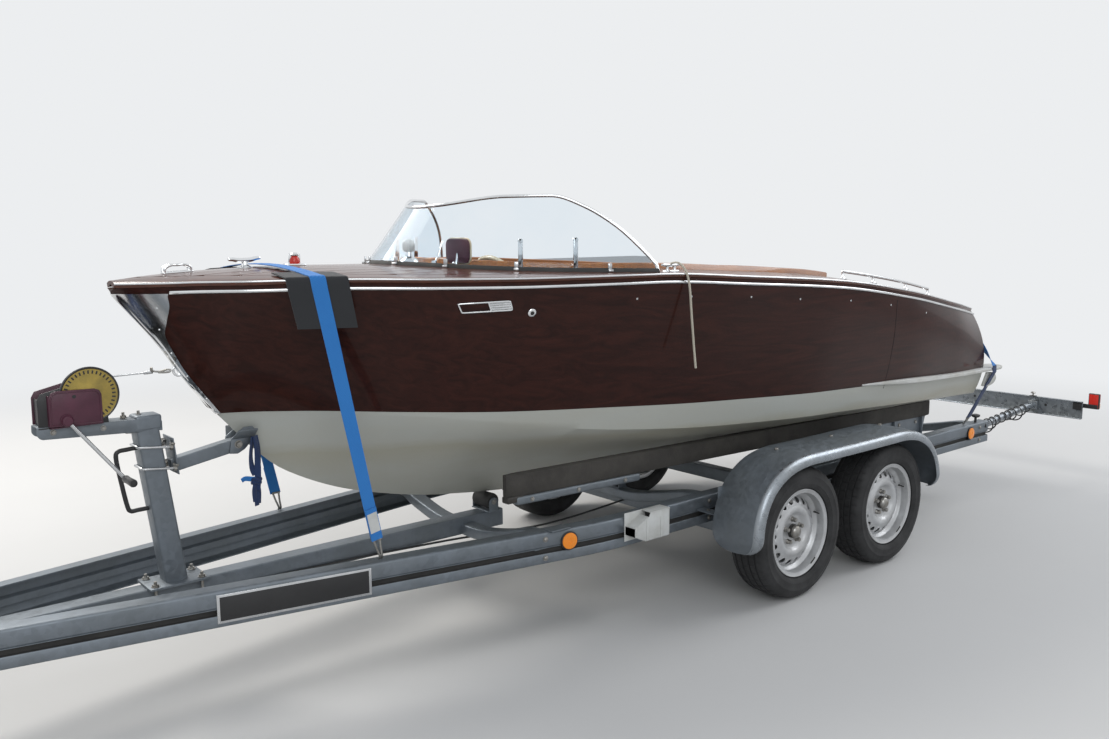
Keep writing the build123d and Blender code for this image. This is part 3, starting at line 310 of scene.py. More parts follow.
def paintedBottom():
    # white boot paint with an old waterline and run-off streaks
    material, tree, shader = bare("bottomPaint")
    marks = placed(tree, wear, Scale=2.2, Stretch=(1.0, 1.0, 3.5), Contrast=2.4, Fine_Scale=70.0)
    place = node(tree, "ShaderNodeTexCoord").outputs["Object"]
    split = node(tree, "ShaderNodeSeparateXYZ")
    join(tree, place, split.inputs[0])
    line = maths(tree, "ADD", maths(tree, "MULTIPLY", split.outputs[0], -0.022), split.outputs[2])
    wobble = maths(tree, "MULTIPLY", marks.outputs[0], 0.05)
    height = maths(tree, "ADD", line, wobble)
    band = node(tree, "ShaderNodeValToRGB")
    stops = ((0.0, 0.3), (0.3, 0.22), (0.52, 0.62), (0.6, 0.18), (1.0, 0.05))
    ramp = band.color_ramp
    while len(ramp.elements) < len(stops):
        ramp.elements.new(0.5)
    for element, (at, value) in zip(ramp.elements, stops):
        element.position = at
        element.color = (value, value, value, 1)
    reach = node(tree, "ShaderNodeMapRange", in_1=0.55, in_2=1.1)
    join(tree, height, reach.inputs[0])
    join(tree, reach.outputs[0], band.inputs[0])
    white, stain = (0.44, 0.46, 0.44), (0.3, 0.27, 0.18)
    tone = blendColours(tree, band.outputs[0], white, stain)
    join(tree, blendColours(tree, between(tree, marks.outputs[0], 0.0, 0.4), tone, (0.4, 0.38, 0.31)),
         shader.inputs["Base Color"])
    join(tree, between(tree, marks.outputs[0], 0.32, 0.5), shader.inputs["Roughness"])
    bumped(tree, shader, marks.outputs[1], 0.0004)
    return material


def clearSheet():
    # bent acrylic, tinted slightly blue in patches
    material, tree, shader = bare("clearSheet")
    marks = placed(tree, wear, Scale=5.0, Contrast=1.5, Fine_Scale=40.0)
    join(tree, blendColours(tree, marks.outputs[0], (0.93, 0.97, 1.0), (0.86, 0.93, 0.98)),
         shader.inputs["Base Color"])
    join(tree, between(tree, marks.outputs[0], 0.0, 0.04), shader.inputs["Roughness"])
    shader.inputs["Transmission Weight"].default_value = 1.0
    shader.inputs["IOR"].default_value = 1.1
    return material


def lensFinish(name, colour, paintedGlow):
    # the emission is a painted glow: reflectors and unlit lamps shine as though lit
    material, tree, shader = bare(name)
    ribs = placed(tree, wear, Scale=30.0, Contrast=2.0, Fine_Scale=420.0)
    dark = tuple(value * 0.6 for value in colour)
    join(tree, blendColours(tree, ribs.outputs[1], dark, colour), shader.inputs["Base Color"])
    shader.inputs["Roughness"].default_value = 0.12
    shader.inputs["Emission Color"].default_value = (*colour, 1)
    shader.inputs["Emission Strength"].default_value = paintedGlow
    bumped(tree, shader, ribs.outputs[1], 0.0008)
    return material


# hull side mahogany, its base darkened past the wood's own tone as painted shade on the hull sides
mahogany = wooden("mahogany", (0.05, 0.013, 0.0085), (0.014, 0.0038, 0.0028), coat=0.2, shine=0.1)
deckWood = wooden("deckWood", (0.12, 0.033, 0.015), (0.04, 0.012, 0.007), stretch=(0.6, 14, 14), coat=0.5)
crossWood = wooden("crossWood", (0.12, 0.036, 0.018), (0.036, 0.012, 0.008), stretch=(9, 0.7, 9), coat=0.6)
coamingWood = wooden("coamingWood", (0.52, 0.2, 0.05), (0.22, 0.065, 0.018), stretch=(0.8, 12, 12), coat=0.8)
cabinWood = wooden("cabinWood", (0.3, 0.13, 0.055), (0.12, 0.045, 0.02), stretch=(1.2, 8, 8), rough=0.45,
                   coat=0.3)
bottomPaint = paintedBottom()
chrome = worn("chrome", (0.86, 0.87, 0.88), (0.66, 0.67, 0.68), (0.06, 0.16), 1.0, 6.0, depth=0.00008)
dullChrome = worn("dullChrome", (0.7, 0.71, 0.72), (0.45, 0.46, 0.47), (0.18, 0.34), 1.0, 8.0, depth=0.0001)
whiteTrim = worn("whiteTrim", (0.62, 0.63, 0.62), (0.46, 0.45, 0.4), (0.28, 0.45), scale=5.0)
caulk = worn("caulk", (0.52, 0.42, 0.26), (0.34, 0.26, 0.15), (0.6, 0.8), scale=14.0)
galvanised = zinc("galvanised", (0.235, 0.265, 0.3), (0.115, 0.135, 0.155))
brightZinc = zinc("brightZinc", (0.4, 0.43, 0.47), (0.22, 0.25, 0.28), (0.24, 0.42), 0.8)
steelBolt = worn("steelBolt", (0.42, 0.42, 0.41), (0.22, 0.2, 0.17), (0.28, 0.5), 1.0, 40.0)
rubber = worn("rubber", (0.03, 0.029, 0.027), (0.016, 0.0155, 0.015), (0.62, 0.8), scale=7.0, depth=0.0008)
tyreRubber = worn("tyreRubber", (0.026, 0.026, 0.027), (0.012, 0.012, 0.0125), (0.6, 0.85), scale=10.0,
                  depth=0.0006)
bunkRubber = worn("bunkRubber", (0.052, 0.047, 0.04), (0.022, 0.02, 0.018), (0.7, 0.9), scale=6.0,
                  depth=0.0012)
blackPlastic = worn("blackPlastic", (0.02, 0.02, 0.021), (0.011, 0.011, 0.012), (0.35, 0.5), scale=8.0)
whitePlastic = worn("whitePlastic", (0.6, 0.61, 0.6), (0.44, 0.44, 0.41), (0.42, 0.6), scale=9.0)
winchPaint = worn("winchPaint", (0.105, 0.026, 0.05), (0.042, 0.012, 0.022), (0.26, 0.45), 0.1, 7.0)
yellowZinc = worn("yellowZinc", (0.46, 0.34, 0.09), (0.24, 0.19, 0.07), (0.3, 0.48), 0.85, 22.0)
rimPaint = worn("rimPaint", (0.58, 0.59, 0.6), (0.4, 0.4, 0.4), (0.28, 0.42), 0.55, 11.0)
hubIron = worn("hubIron", (0.06, 0.058, 0.055), (0.03, 0.026, 0.022), (0.5, 0.7), 0.4, 15.0)
bronze = worn("bronze", (0.42, 0.24, 0.09), (0.2, 0.12, 0.055), (0.25, 0.5), 1.0, 12.0)
engineIron = worn("engineIron", (0.1, 0.13, 0.12), (0.045, 0.05, 0.045), (0.4, 0.65), 0.3, 8.0)
ivory = worn("ivory", (0.66, 0.58, 0.42), (0.52, 0.43, 0.29), (0.2, 0.34), scale=6.0)
redLeather = worn("redLeather", (0.2, 0.03, 0.032), (0.1, 0.015, 0.018), (0.38, 0.55), scale=9.0, fine=420.0,
                  depth=0.0012)
strapBlue = woven("strapBlue", (0.03, 0.255, 0.66), (0.012, 0.13, 0.42), 1050.0)
# darker copy of the strap blue: painted shade for stretches under the hull, under the cradle and in the winch
# drum
shadedStrapBlue = woven("shadedStrapBlue", (0.012, 0.045, 0.15), (0.006, 0.018, 0.065), 1050.0)
sleeveCloth = woven("sleeveCloth", (0.026, 0.028, 0.032), (0.01, 0.011, 0.013), 1500.0)
ropeFibre = woven("ropeFibre", (0.62, 0.58, 0.49), (0.42, 0.38, 0.3), 2600.0)
redLens = lensFinish("redLens", (0.6, 0.028, 0.018), 0.12)
amberLens = lensFinish("amberLens", (0.85, 0.26, 0.02), 0.18)
acrylic = clearSheet()
print("finishes made", len(bpy.data.materials))


# mesh building
class Build:
    # gathers closed shells for one piece, each face with its finish
    def __init__(self, *looks):
        self.looks = looks
        self.points, self.faces, self.finish, self.smooth = [], [], [], []

    def add(self, points, faces, look=0, smooth=True):
        base = len(self.points)
        self.points += [tuple(p) for p in points]
        for i, face in enumerate(faces):
            self.faces.append([base + k for k in face])
            self.finish.append(look[i] if isinstance(look, (list, tuple)) else look)
            self.smooth.append(smooth)
        return self

    def rings(self, rings, look=0, caps=True, loop=False, smooth=True, looks=None):
        # closed rings of equal length joined one to the next
        count, points, faces, chosen = len(rings[0]), [], [], []
        for ring in rings:
            points += ring
        pairs = [(i, i + 1) for i in range(len(rings) - 1)] + ([(len(rings) - 1, 0)] if loop else [])
        for a, b in pairs:
            for k in range(count):
                n = (k + 1) % count
                faces.append([a * count + k, a * count + n, b * count + n, b * count + k])
                chosen.append(looks[k] if looks else look)
        if caps and not loop:
            faces.append(list(range(count))[::-1])
            faces.append([(len(rings) - 1) * count + k for k in range(count)])
            chosen += [look, look]
        return self.add(points, faces, chosen, smooth)

    def tube(self, path, radius, sides=12, look=0, loop=False):
        rings = []
        for centre, right, up in frames(path, loop):
            size = radius if not callable(radius) else radius(len(rings) / max(1, len(path) - 1))
            rings.append([centre + (right * math.cos(a) + up * math.sin(a)) * size
                          for a in around(sides)])
        return self.rings(rings, look, loop=loop)

    def turn(self, profile, centre, axis=(0, 1, 0), sides=40, look=0, looks=None):
        # profile: (radius, height along the axis), a closed outline or one that starts and ends on the axis
        centre, axis = Vector(centre), Vector(axis).normalized()
        right = axis.orthogonal().normalized()
        up = axis.cross(right)
        onAxis = profile[0][0] < 1e-6
        rings = []
        for a in around(sides):
            out = right * math.cos(a) + up * math.sin(a)
            rings.append([centre + out * max(r, 1e-5 if onAxis else r) + axis * h for r, h in profile])
        points, faces, chosen, count = [], [], [], len(profile)
        for ring in rings:
            points += ring
        for k in range(sides):
            n = (k + 1) % sides
            for j in range(count - 1 if onAxis else count):
                m = (j + 1) % count
                faces.append([k * count + j, n * count + j, n * count + m, k * count + m])
                chosen.append(looks[j] if looks else look)
        return self.add(points, faces, chosen)

    def rod(self, radius, low, high, centre, axis, sides=40, look=0):
        # solid round bar between two heights on its axis
        return self.turn([(0, low), (radius, low), (radius, high), (0, high)], centre, axis, sides, look)

    def block(self, low, high, soft=0.003, look=0, matrix=None, steps=2):
        return self.shape(lambda bm: bmesh.ops.create_cube(bm, size=1, matrix=Matrix.LocRotScale(
            (Vector(low) + Vector(high)) / 2, None, Vector(high) - Vector(low))), soft, look, matrix, steps)

    def prism(self, outline, depth, soft=0.002, look=0, matrix=None, steps=2):
        # flat outline of 3-D points pushed along a vector
        def fill(bm):
            face = bm.faces.new([bm.verts.new(p) for p in outline])
            bm.normal_update()
            grown = bmesh.ops.extrude_face_region(bm, geom=[face])["geom"]
            bmesh.ops.translate(bm, vec=depth, verts=[g for g in grown if isinstance(g, bmesh.types.BMVert)])
        return self.shape(fill, soft, look, matrix, steps)

    def shape(self, fill, soft=0.0, look=0, matrix=None, steps=2):
        bm = bmesh.new()
        fill(bm)
        bmesh.ops.recalc_face_normals(bm, faces=bm.faces)
        if soft > 0:
            bmesh.ops.bevel(bm, geom=bm.edges[:], offset=soft, segments=steps, profile=0.5, affect="EDGES",
                            clamp_overlap=True)
        if matrix is not None:
            bmesh.ops.transform(bm, matrix=matrix, verts=bm.verts)
        bm.verts.index_update()
        points = [v.co.copy() for v in bm.verts]
        faces = [[v.index for v in f.verts] for f in bm.faces]
        bm.free()
        return self.add(points, faces, look, soft > 0)

    def done(self, name, body=whole, nodes=(), sharp=38, mirror=False):
        mesh = bpy.data.meshes.new(name)
        points, faces, finish, smooth = self.points, self.faces, self.finish, self.smooth
        if mirror:
            base = len(points)
            points = points + [(x, -y, z) for x, y, z in points]
            faces = faces + [[base + k for k in reversed(face)] for face in faces]
            finish, smooth = finish * 2, smooth * 2
        mesh.from_pydata(points, [], faces)
        for look in self.looks:
            mesh.materials.append(look)
        mesh.polygons.foreach_set("material_index", finish)
        mesh.polygons.foreach_set("use_smooth", smooth)
        bm = bmesh.new()
        bm.from_mesh(mesh)
        bmesh.ops.remove_doubles(bm, verts=bm.verts, dist=2e-6)
        bmesh.ops.dissolve_degenerate(bm, dist=1e-7, edges=bm.edges)
        bmesh.ops.recalc_face_normals(bm, faces=bm.faces)
        bm.to_mesh(mesh)
        bm.free()
        mesh.set_sharp_from_angle(angle=math.radians(sharp))
        obj = bpy.data.objects.new(name, mesh)
        scene.collection.objects.link(obj)
        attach(obj, body)
        if nodes:
            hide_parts(*nodes)
        return obj


def around(count):
    # angles of a full circle
    return [2 * math.pi * k / count for k in range(count)]


def frames(path, loop=False):
    # centre, right and up at each point of a path, turning as little as possible
    path = [Vector(p) for p in path]
    count, result, up = len(path), [], None
    for i, point in enumerate(path):
        if loop:
            ahead = path[(i + 1) % count] - path[i - 1]
        else:
            ahead = path[min(i + 1, count - 1)] - path[max(i - 1, 0)]
        ahead.normalize()
        if up is None:
            up = Vector((0, 0, 1)) if abs(ahead.z) < 0.9 else Vector((1, 0, 0))
        right = ahead.cross(up).normalized()
        up = right.cross(ahead).normalized()
        result.append((point, right, up))
    return result


def curved(points, steps=8, loop=False):
    # Catmull-Rom line through the points
    points = [Vector(p) for p in points]
    count, line = len(points), []
    for i in range(count if loop else count - 1):
        def at(k):
            return points[k % count] if loop else points[max(0, min(count - 1, k))]
        a, b, c, d = at(i - 1), at(i), at(i + 1), at(i + 2)
        for s in range(steps):
            t = s / steps
            line.append(0.5 * ((2 * b) + (c - a) * t + (2 * a - 5 * b + 4 * c - d) * t * t
                               + (3 * b - a - 3 * c + d) * t ** 3))
    if not loop:
        line.append(points[-1])
    return line


def smoothTable(rows):
    # monotone cubic through the columns of a table whose first column rises
    xs = [row[0] for row in rows]
    slopes = []
    for column in range(1, len(rows[0])):
        ys = [row[column] for row in rows]
        d = [(ys[i + 1] - ys[i]) / (xs[i + 1] - xs[i]) for i in range(len(xs) - 1)]
        m = [d[0]] + [0 if d[i - 1] * d[i] <= 0 else 2 * d[i - 1] * d[i] / (d[i - 1] + d[i])
                      for i in range(1, len(d))] + [d[-1]]
        slopes.append(m)

    def read(x):
        x = max(xs[0], min(xs[-1], x))
        i = max(k for k in range(len(xs) - 1) if xs[k] <= x)
        h = xs[i + 1] - xs[i]
        t = (x - xs[i]) / h
        values = []
        for column in range(1, len(rows[0])):
            y0, y1 = rows[i][column], rows[i + 1][column]
            m0, m1 = slopes[column - 1][i] * h, slopes[column - 1][i + 1] * h
            values.append(y0 * (2 * t ** 3 - 3 * t * t + 1) + m0 * (t ** 3 - 2 * t * t + t)
                          + y1 * (3 * t * t - 2 * t ** 3) + m1 * (t ** 3 - t * t))
        return values
    return read


def steps(start, end, count):
    return [start + (end - start) * i / (count - 1) for i in range(count)]


def paint(node, *looks):
    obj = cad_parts[node]
    obj.data.materials.clear()
    for look in looks:
        obj.data.materials.append(look)


def bolt(build, place, axis, size=0.009, look=0, height=0.006):
    # hexagon head on a washer
    axis = Vector(axis).normalized()
    place = Vector(place)
    build.rod(size * 1.25, -0.001, 0.0012, place, axis, 16, look)
    build.turn([(0, 0.001), (size, 0.001), (size, height * 0.8), (size * 0.85, height), (0, height)],
               place, axis, 6, look)


# rope over the port gunwale, laid along the route's points
ropeMake = {"start": (0.096, 0.789, 1.53358), "radius": 0.005, "length": 0.491, "strandDepth": 0.0009,
            "twist": 260.0, "sides": 24}
ropeRoute = (
    (0, 0, 36.9), (-6, 20, 43.5), (-14, 45, 36), (-22, 65, 8), (-28, 75, -30), (-33, 79, -78),
    (-37, 80, -130), (-42, 81, -185), (-47, 83, -240), (-53, 84, -298), (-58, 86, -350), (-64, 87, -397),
)


def makeRope():
    v = ropeMake
    line = bpy.data.curves.new("ropeLine", "CURVE")
    line.dimensions = "3D"
    spline = line.splines.new("NURBS")
    spline.points.add(len(ropeRoute) - 1)
    places = [Vector(v["start"]) + Vector(p) / 1000 for p in ropeRoute]
    for point, place in zip(spline.points, places):
        point.co = (*place, 1)
    spline.order_u = 3
    spline.use_endpoint_u = True
    spline.resolution_u = 14
    holder = bpy.data.objects.new("ropeLine", line)
    scene.collection.objects.link(holder)
    drawn = bpy.data.meshes.new_from_object(holder)
    path = [vertex.co.copy() for vertex in drawn.vertices]
    bpy.data.objects.remove(holder)
    build, travel, rings = Build(ropeFibre), 0.0, []
    for i, (centre, right, up) in enumerate(frames(path)):
        travel += (path[i] - path[i - 1]).length if i else 0
        ring = []
        for a in around(v["sides"]):
            lobe = abs(math.cos(1.5 * (a - travel * v["twist"])))
            radius = v["radius"] - v["strandDepth"] * (1 - lobe ** 0.5)
            ring.append(centre + (right * math.cos(a) + up * math.sin(a)) * radius)
        rings.append(ring)
    build.rings(rings)
    rope = build.done("gunwaleRope", whole, ("rope",), sharp=80)
    tuple(path[0])
    [tuple(p) for p in path]


makeRope()
print("rope laid")

# hull lines: place from the transom, keel, chine y and z, sheer y and z, bulge of the side, crown of the deck
hullRows = (
    (0, 12, 690, 212, 645, 732, 75, 40), (500, 7, 745, 247, 800, 802, 50, 45),
    (1100, 0, 800, 284, 880, 897, 30, 48), (1750, 0, 800, 312, 904, 977, 20, 48),
    (2400, 0, 706, 330, 885, 1020, 15, 45), (2950, 7, 625, 374, 832, 1047, 10, 42),
    (3450, 52, 520, 444, 735, 1047, 8, 38), (3850, 137, 355, 507, 600, 1052, 6, 36),
    (4200, 287, 125, 534, 455, 1060, 4, 32), (4450, 534, 16, 546, 318, 1057, 3, 28),
    (4590, 716, 13, 728, 213, 1056, 2, 22), (4650, 812, 12, 824, 168, 1054, 2, 20),
    (4810, 1015, 8, 1023, 36, 1051, 0, 8),
)
hullPlace = {"transom": -2.73, "keel": 0.4885, "deckSheet": 0.018, "shell": 0.02, "tip": 2.08}
readHull = smoothTable(hullRows)
# lower edge of the varnish on the topsides
paintEdge = smoothTable(((-2.73, 0.855), (-1.98, 0.885), (-1.27, 0.912), (-0.18, 0.947), (0.39, 0.977),
                         (0.71, 0.992), (0.94, 1.004), (1.2, 1.019), (1.46, 1.03), (1.728, 1.037),
                         (1.9, 1.04)))


class Row:
    def __init__(self, x):
        keel, chineY, chineZ, sheerY, sheerZ, bulge, crown = [
            value / 1000 for value in readHull((x - hullPlace["transom"]) * 1000)]
        self.x, self.keel = x, keel + hullPlace["keel"]
        self.chineY, self.chineZ = chineY, chineZ + hullPlace["keel"]
        self.sheerY, self.sheerZ = sheerY, sheerZ + hullPlace["keel"]
        self.bulge, self.crown = bulge, crown
        self.top = self.sheerZ - hullPlace["deckSheet"]

    def side(self, t, out=0.0):
        y = self.chineY + (self.sheerY - self.chineY) * t + 4 * self.bulge * t * (1 - t)
        return max(0.0012, y + out), self.chineZ + (self.top - self.chineZ) * t

    def share(self, z):
        return (z - self.chineZ) / (self.top - self.chineZ)

    def breadth(self, z):
        if z < self.chineZ:
            return self.chineY * max(0.0, (z - self.keel) / (self.chineZ - self.keel))
        return self.side(min(1.0, self.share(z)))[0]

    def deck(self, y):
        return self.sheerZ + self.crown * (1 - min(1.0, abs(y) / self.sheerY) ** 2)


def deckTop(x, y):
    return Row(x).deck(y)


hullMake = {"step": 0.045, "sideAbove": 9, "sideBelow": 4, "bottom": 6, "lining": 6}


def hullRing(x, inset):
    # outer line from the port deck edge round the keel to starboard, then the lining back
    row, v = Row(x), hullMake
    edge = min(0.97, max(0.0, row.share(paintEdge(x)[0])))
    half, looks = [], []
    for t in steps(1.0, edge, v["sideAbove"]):
        half.append(row.side(t, -inset))
        looks.append(0)
    looks[-1] = 1
    for t in steps(edge, 0.0, v["sideBelow"])[1:]:
        half.append(row.side(t, -inset))
        looks.append(1)
    chine = row.side(0.0, -inset)
    for f in steps(0.0, 1.0, v["bottom"])[1:-1]:
        half.append((chine[0] * (1 - f), chine[1] + (row.keel - chine[1]) * f))
        looks.append(1)
    outer = [Vector((x, y, z)) for y, z in half]
    keel = [Vector((x, 0, row.keel + inset))]
    outerLooks = looks + [1] + looks[::-1][1:] + [2]
    wall = hullPlace["shell"]
    lining, keelIn = [], row.keel + wall * 1.1
    for t in steps(1.0, 0.0, v["lining"]):
        y, z = row.side(t)
        y = max(0.0006, y - wall)
        rise = keelIn + (row.chineZ - keelIn) * min(1, y / row.chineY) if row.chineY > wall else z
        lining.append(Vector((x, y, max(z + wall * 0.3 * (1 - t), rise if t == 0 else z))))
    mirrored = [Vector((p.x, -p.y, p.z)) for p in reversed(outer)]
    inner = [Vector((p.x, -p.y, p.z)) for p in lining] + [Vector((x, 0, keelIn))] + lining[::-1]
    ring = outer + keel + mirrored + inner
    looksAll = outerLooks + [2] * (len(ring) - len(outerLooks))
    return ring, looksAll


def makeHull():
    v = hullMake
    start, end = hullPlace["transom"] + 0.005, hullPlace["tip"]
    count = int((end - start) / v["step"])
    places = [start + (end - start) * (1 - (1 - i / count) ** 1.15) for i in range(count + 1)]
    rings, looks = [], None
    build = Build(mahogany, bottomPaint, cabinWood)
    for x in places:
        ring, looks = hullRing(x, 0.0)
        rings.append(ring)
    meet = 2.708 - trailerZero
    for i in range(len(rings) - 1):
        chosen = [0 if look == 1 and places[i] >= meet - 0.01 else look for look in looks]
        build.rings(rings[i:i + 2], caps=False, looks=chosen)
    first, last = rings[0], rings[-1]
    build.add(first, [list(range(len(first)))[::-1]], 2, False)
    build.add(last, [list(range(len(last)))], 0, False)
    build.done("hullSkin", whole, ("hull_bottom", "hull_side_port", "hull_side_starboard", "hull_bow"),
               sharp=34)


def makeTransom():
    # plate across the stern with softened edges, planked, white below the waterline
    x0 = hullPlace["transom"]
    row = Row(x0)
    edge = row.share(paintEdge(x0)[0])
    lower = [row.side(t) for t in steps(edge, 0.0, 6)] + [(0.0, row.keel)]
    build = Build(crossWood, bottomPaint, caulk)

    def plate(points, look):
        ring = [Vector((0, y, z)) for y, z in points] + [Vector((0, -y, z)) for y,
                                                         z in reversed(points) if y > 0]
        middle = Vector((0, 0, sum(p.z for p in ring) / len(ring)))
        layers = []
        for x, inset in ((x0 + 0.022, 0.001), (x0 + 0.005, 0.0), (x0 + 0.0015, 0.0015), (x0, 0.005)):
            layers.append([Vector((x, *(middle + (p - middle) * (1
                    - inset / max(0.05, (p - middle).length)))[1:]))
                           for p in ring])
        build.rings(layers, look)
    plate(lower, 1)
    levels = steps(0.0, 1.0, 5)
    top, low = row.top, paintEdge(x0)[0]
    for a, b in zip(levels, levels[1:]):
        za, zb = low + (top - low) * a + 0.001, low + (top - low) * b - 0.001
        plate([row.side(row.share(z)) for z in steps(zb, za, 5)], 0)
    build.done("transomPlanks", whole, ("transom",), sharp=50)


makeHull()
makeTransom()
print("hull skinned")

# deck planking
cockpit = smoothTable(((-1.28, 0.6), (-0.68, 0.69), (0.02, 0.69), (0.32, 0.64), (0.52, 0.54), (0.66, 0.41),
                       (0.74, 0.25), (0.79, 0.0)))
deckMake = {"cover": 0.095, "plank": 0.078, "seam": 0.003, "king": 0.062, "thick": 0.009, "soft": 0.0012,
            "hatchRear": -2.31, "hatchFront": -1.7, "hatchHalf": 0.42, "hatchGap": 0.006,
            "cockpitRear": -1.28, "cockpitFront": 0.79, "margin": 0.055}


def deckInner(x):
    v = deckMake
    if v["hatchRear"] <= x <= v["hatchFront"]:
        return v["hatchHalf"]
    if v["cockpitRear"] <= x <= v["cockpitFront"]:
        return cockpit(x)[0]
    return 0.0


def strip(build, places, low, high, drop, thick, soft, look=0, across=1):
    # a board that follows the deck between two lines; low and high give y for an x
    rings = []
    for x in places:
        a, b = low(x), high(x)
        if b - a < 0.004:
            if len(rings) > 1:
                build.rings(rings, look)
            rings = []
            continue
        ring = [(a, thick), (a, soft)] + [(y, 0) for y in steps(a + soft, b - soft, across + 1)]
        ring += [(b, soft), (b, thick)]
        if across > 2:
            ring += [(y, thick) for y in steps(b, a, across + 1)[1:-1]]
        rings.append([Vector((x, y, deckTop(x, y) - drop - d)) for y, d in ring])
    if len(rings) > 1:
        build.rings(rings, look)


def stretches(start, end, cuts, gap=0.035):
    # lengthwise places from start to end that break at the cuts
    marks = [start] + [c for c in cuts if start < c < end] + [end]
    runs = []
    for a, b in zip(marks, marks[1:]):
        count = max(2, int((b - a) / gap) + 1)
        runs.append(steps(a + 1e-4, b - 1e-4, count))
    return runs


def plankDeck(name, start, end, nodes, look):
    v = deckMake
    build = Build(look, caulk)
    cuts = (v["hatchRear"], v["hatchFront"], v["cockpitRear"], v["cockpitFront"])
    for places in stretches(start, end, cuts):
        middle = (places[0] + places[-1]) / 2
        opened = deckInner(middle) > 0
        strip(build, places, lambda x: deckInner(x) + 0.001, lambda x: Row(x).sheerY - 0.004,
              0.0035, 0.0145, 0.0005, 1, 8)
        inner = v["king"] if not opened else 0.0
        if not opened:
            strip(build, places, lambda x: -0.0001, lambda x: min(v["king"],
                    Row(x).sheerY - v["cover"] - 0.003),
                  0, v["thick"], 0.0, 0, 4)
        y = inner
        while y < 0.9:
            a, b = y + v["seam"] / 2, y + v["plank"] - v["seam"] / 2
            strip(build, places, lambda x: max(a, deckInner(x) + (v["margin"] if opened else 0)),
                  lambda x: min(b, Row(x).sheerY - v["cover"] - v["seam"]), 0, v["thick"], v["soft"], 0)
            y += v["plank"]
        if opened:
            strip(build, places, lambda x: deckInner(x) + 0.0005,
                  lambda x: min(deckInner(x) + v["margin"] - v["seam"],
                                Row(x).sheerY - v["cover"] - v["seam"]),
                  0, v["thick"], v["soft"], 0, 2)
    build.done(name, whole, nodes, sharp=20, mirror=True)


def makeCover():
    # covering board all along the deck's edge with a rounded nose, and the bright moulding under it
    v = deckMake
    build = Build(deckWood, chrome)
    places = steps(hullPlace["transom"] + 0.001, hullPlace["tip"] - 0.002, 120)
    rings, bead = [], []
    for x in places:
        row = Row(x)
        s = row.sheerY
        a = max(s - v["cover"], 0.0)
        ring = [(a, -0.012), (a, -0.0015), (a + 0.002, 0)] + [(y, 0) for y in steps(a + 0.004, s - 0.006, 4)]
        ring += [(s - 0.002, -0.0008), (s + 0.001, -0.004), (s + 0.0015, -0.01), (s - 0.001, -0.0165),
                 (s - 0.004, -0.018)]
        rings.append([Vector((x, max(0, y), row.deck(min(y, s)) + d)) for y, d in ring])
        centre = Vector((x, s + 0.0012, row.sheerZ - 0.0035))
        bead.append([centre + Vector((0, math.cos(a) * 0.0035, math.sin(a) * 0.0035))
                     for a in around(8)])
    build.rings(rings, 0)
    build.rings(bead, 1)
    build.done("coveringBoards", whole, (), sharp=50, mirror=True)


plankDeck("foredeckPlanks", 0.32, hullPlace["tip"] - 0.03, ("foredeck",), deckWood)
plankDeck("sideDeckPlanks", deckMake["cockpitRear"], 0.32, ("side_decks",), deckWood)
plankDeck("aftDeckPlanks", hullPlace["transom"] + 0.001, deckMake["cockpitRear"], ("aft_deck",), deckWood)
makeCover()


def makeHatch():
    v = deckMake
    build = Build(deckWood, caulk, chrome)
    gap = v["hatchGap"]
    places = steps(v["hatchRear"] + gap, v["hatchFront"] - gap, 16)
    half = v["hatchHalf"] - gap
    strip(build, places, lambda x: -half, lambda x: half, 0.0035, 0.0145, 0.0005, 1, 16)
    inside = steps(places[0] + v["margin"], places[-1] - v["margin"], 14)
    for ends in ((places[0], inside[0] - v["seam"]), (inside[-1] + v["seam"], places[-1])):
        strip(build, steps(*ends, 3), lambda x: -half, lambda x: half, 0, v["thick"], v["soft"], 0, 16)
    for a, b in ((-half, -half + v["margin"]), (half - v["margin"], half)):
        strip(build, inside, lambda x: a, lambda x: b, 0, v["thick"], v["soft"], 0)
    low, count = -half + v["margin"] + v["seam"], 9
    width = (2 * (half - v["margin"] - v["seam"]) + v["seam"]) / count
    for i in range(count):
        a = low + i * width
        strip(build, inside, lambda x: a, lambda x: a + width - v["seam"], 0, v["thick"], v["soft"], 0)
    for y in (-0.27, 0.27):
        x = v["hatchFront"] - 0.03
        build.block((x - 0.026, y - 0.02, deckTop(x, y) - 0.004),
                    (x + 0.022, y + 0.02, deckTop(x, y) + 0.003), 0.0012, 2)
    x = v["hatchRear"] + 0.09
    z = deckTop(x, 0)
    build.turn([(0, -0.002), (0.026, -0.002), (0.026, 0.001), (0.021, 0.004), (0.0, 0.004)], (x, 0, z),
               (0, 0, 1), 28, 2)
    build.done("hatchPlanks", "engine_hatch", ("engine_hatch",), sharp=20)


makeHatch()
print("decks planked")

# varnished lip round the cockpit
coamingMake = {"thick": 0.014, "above": 0.024, "below": 0.055, "count": 46}


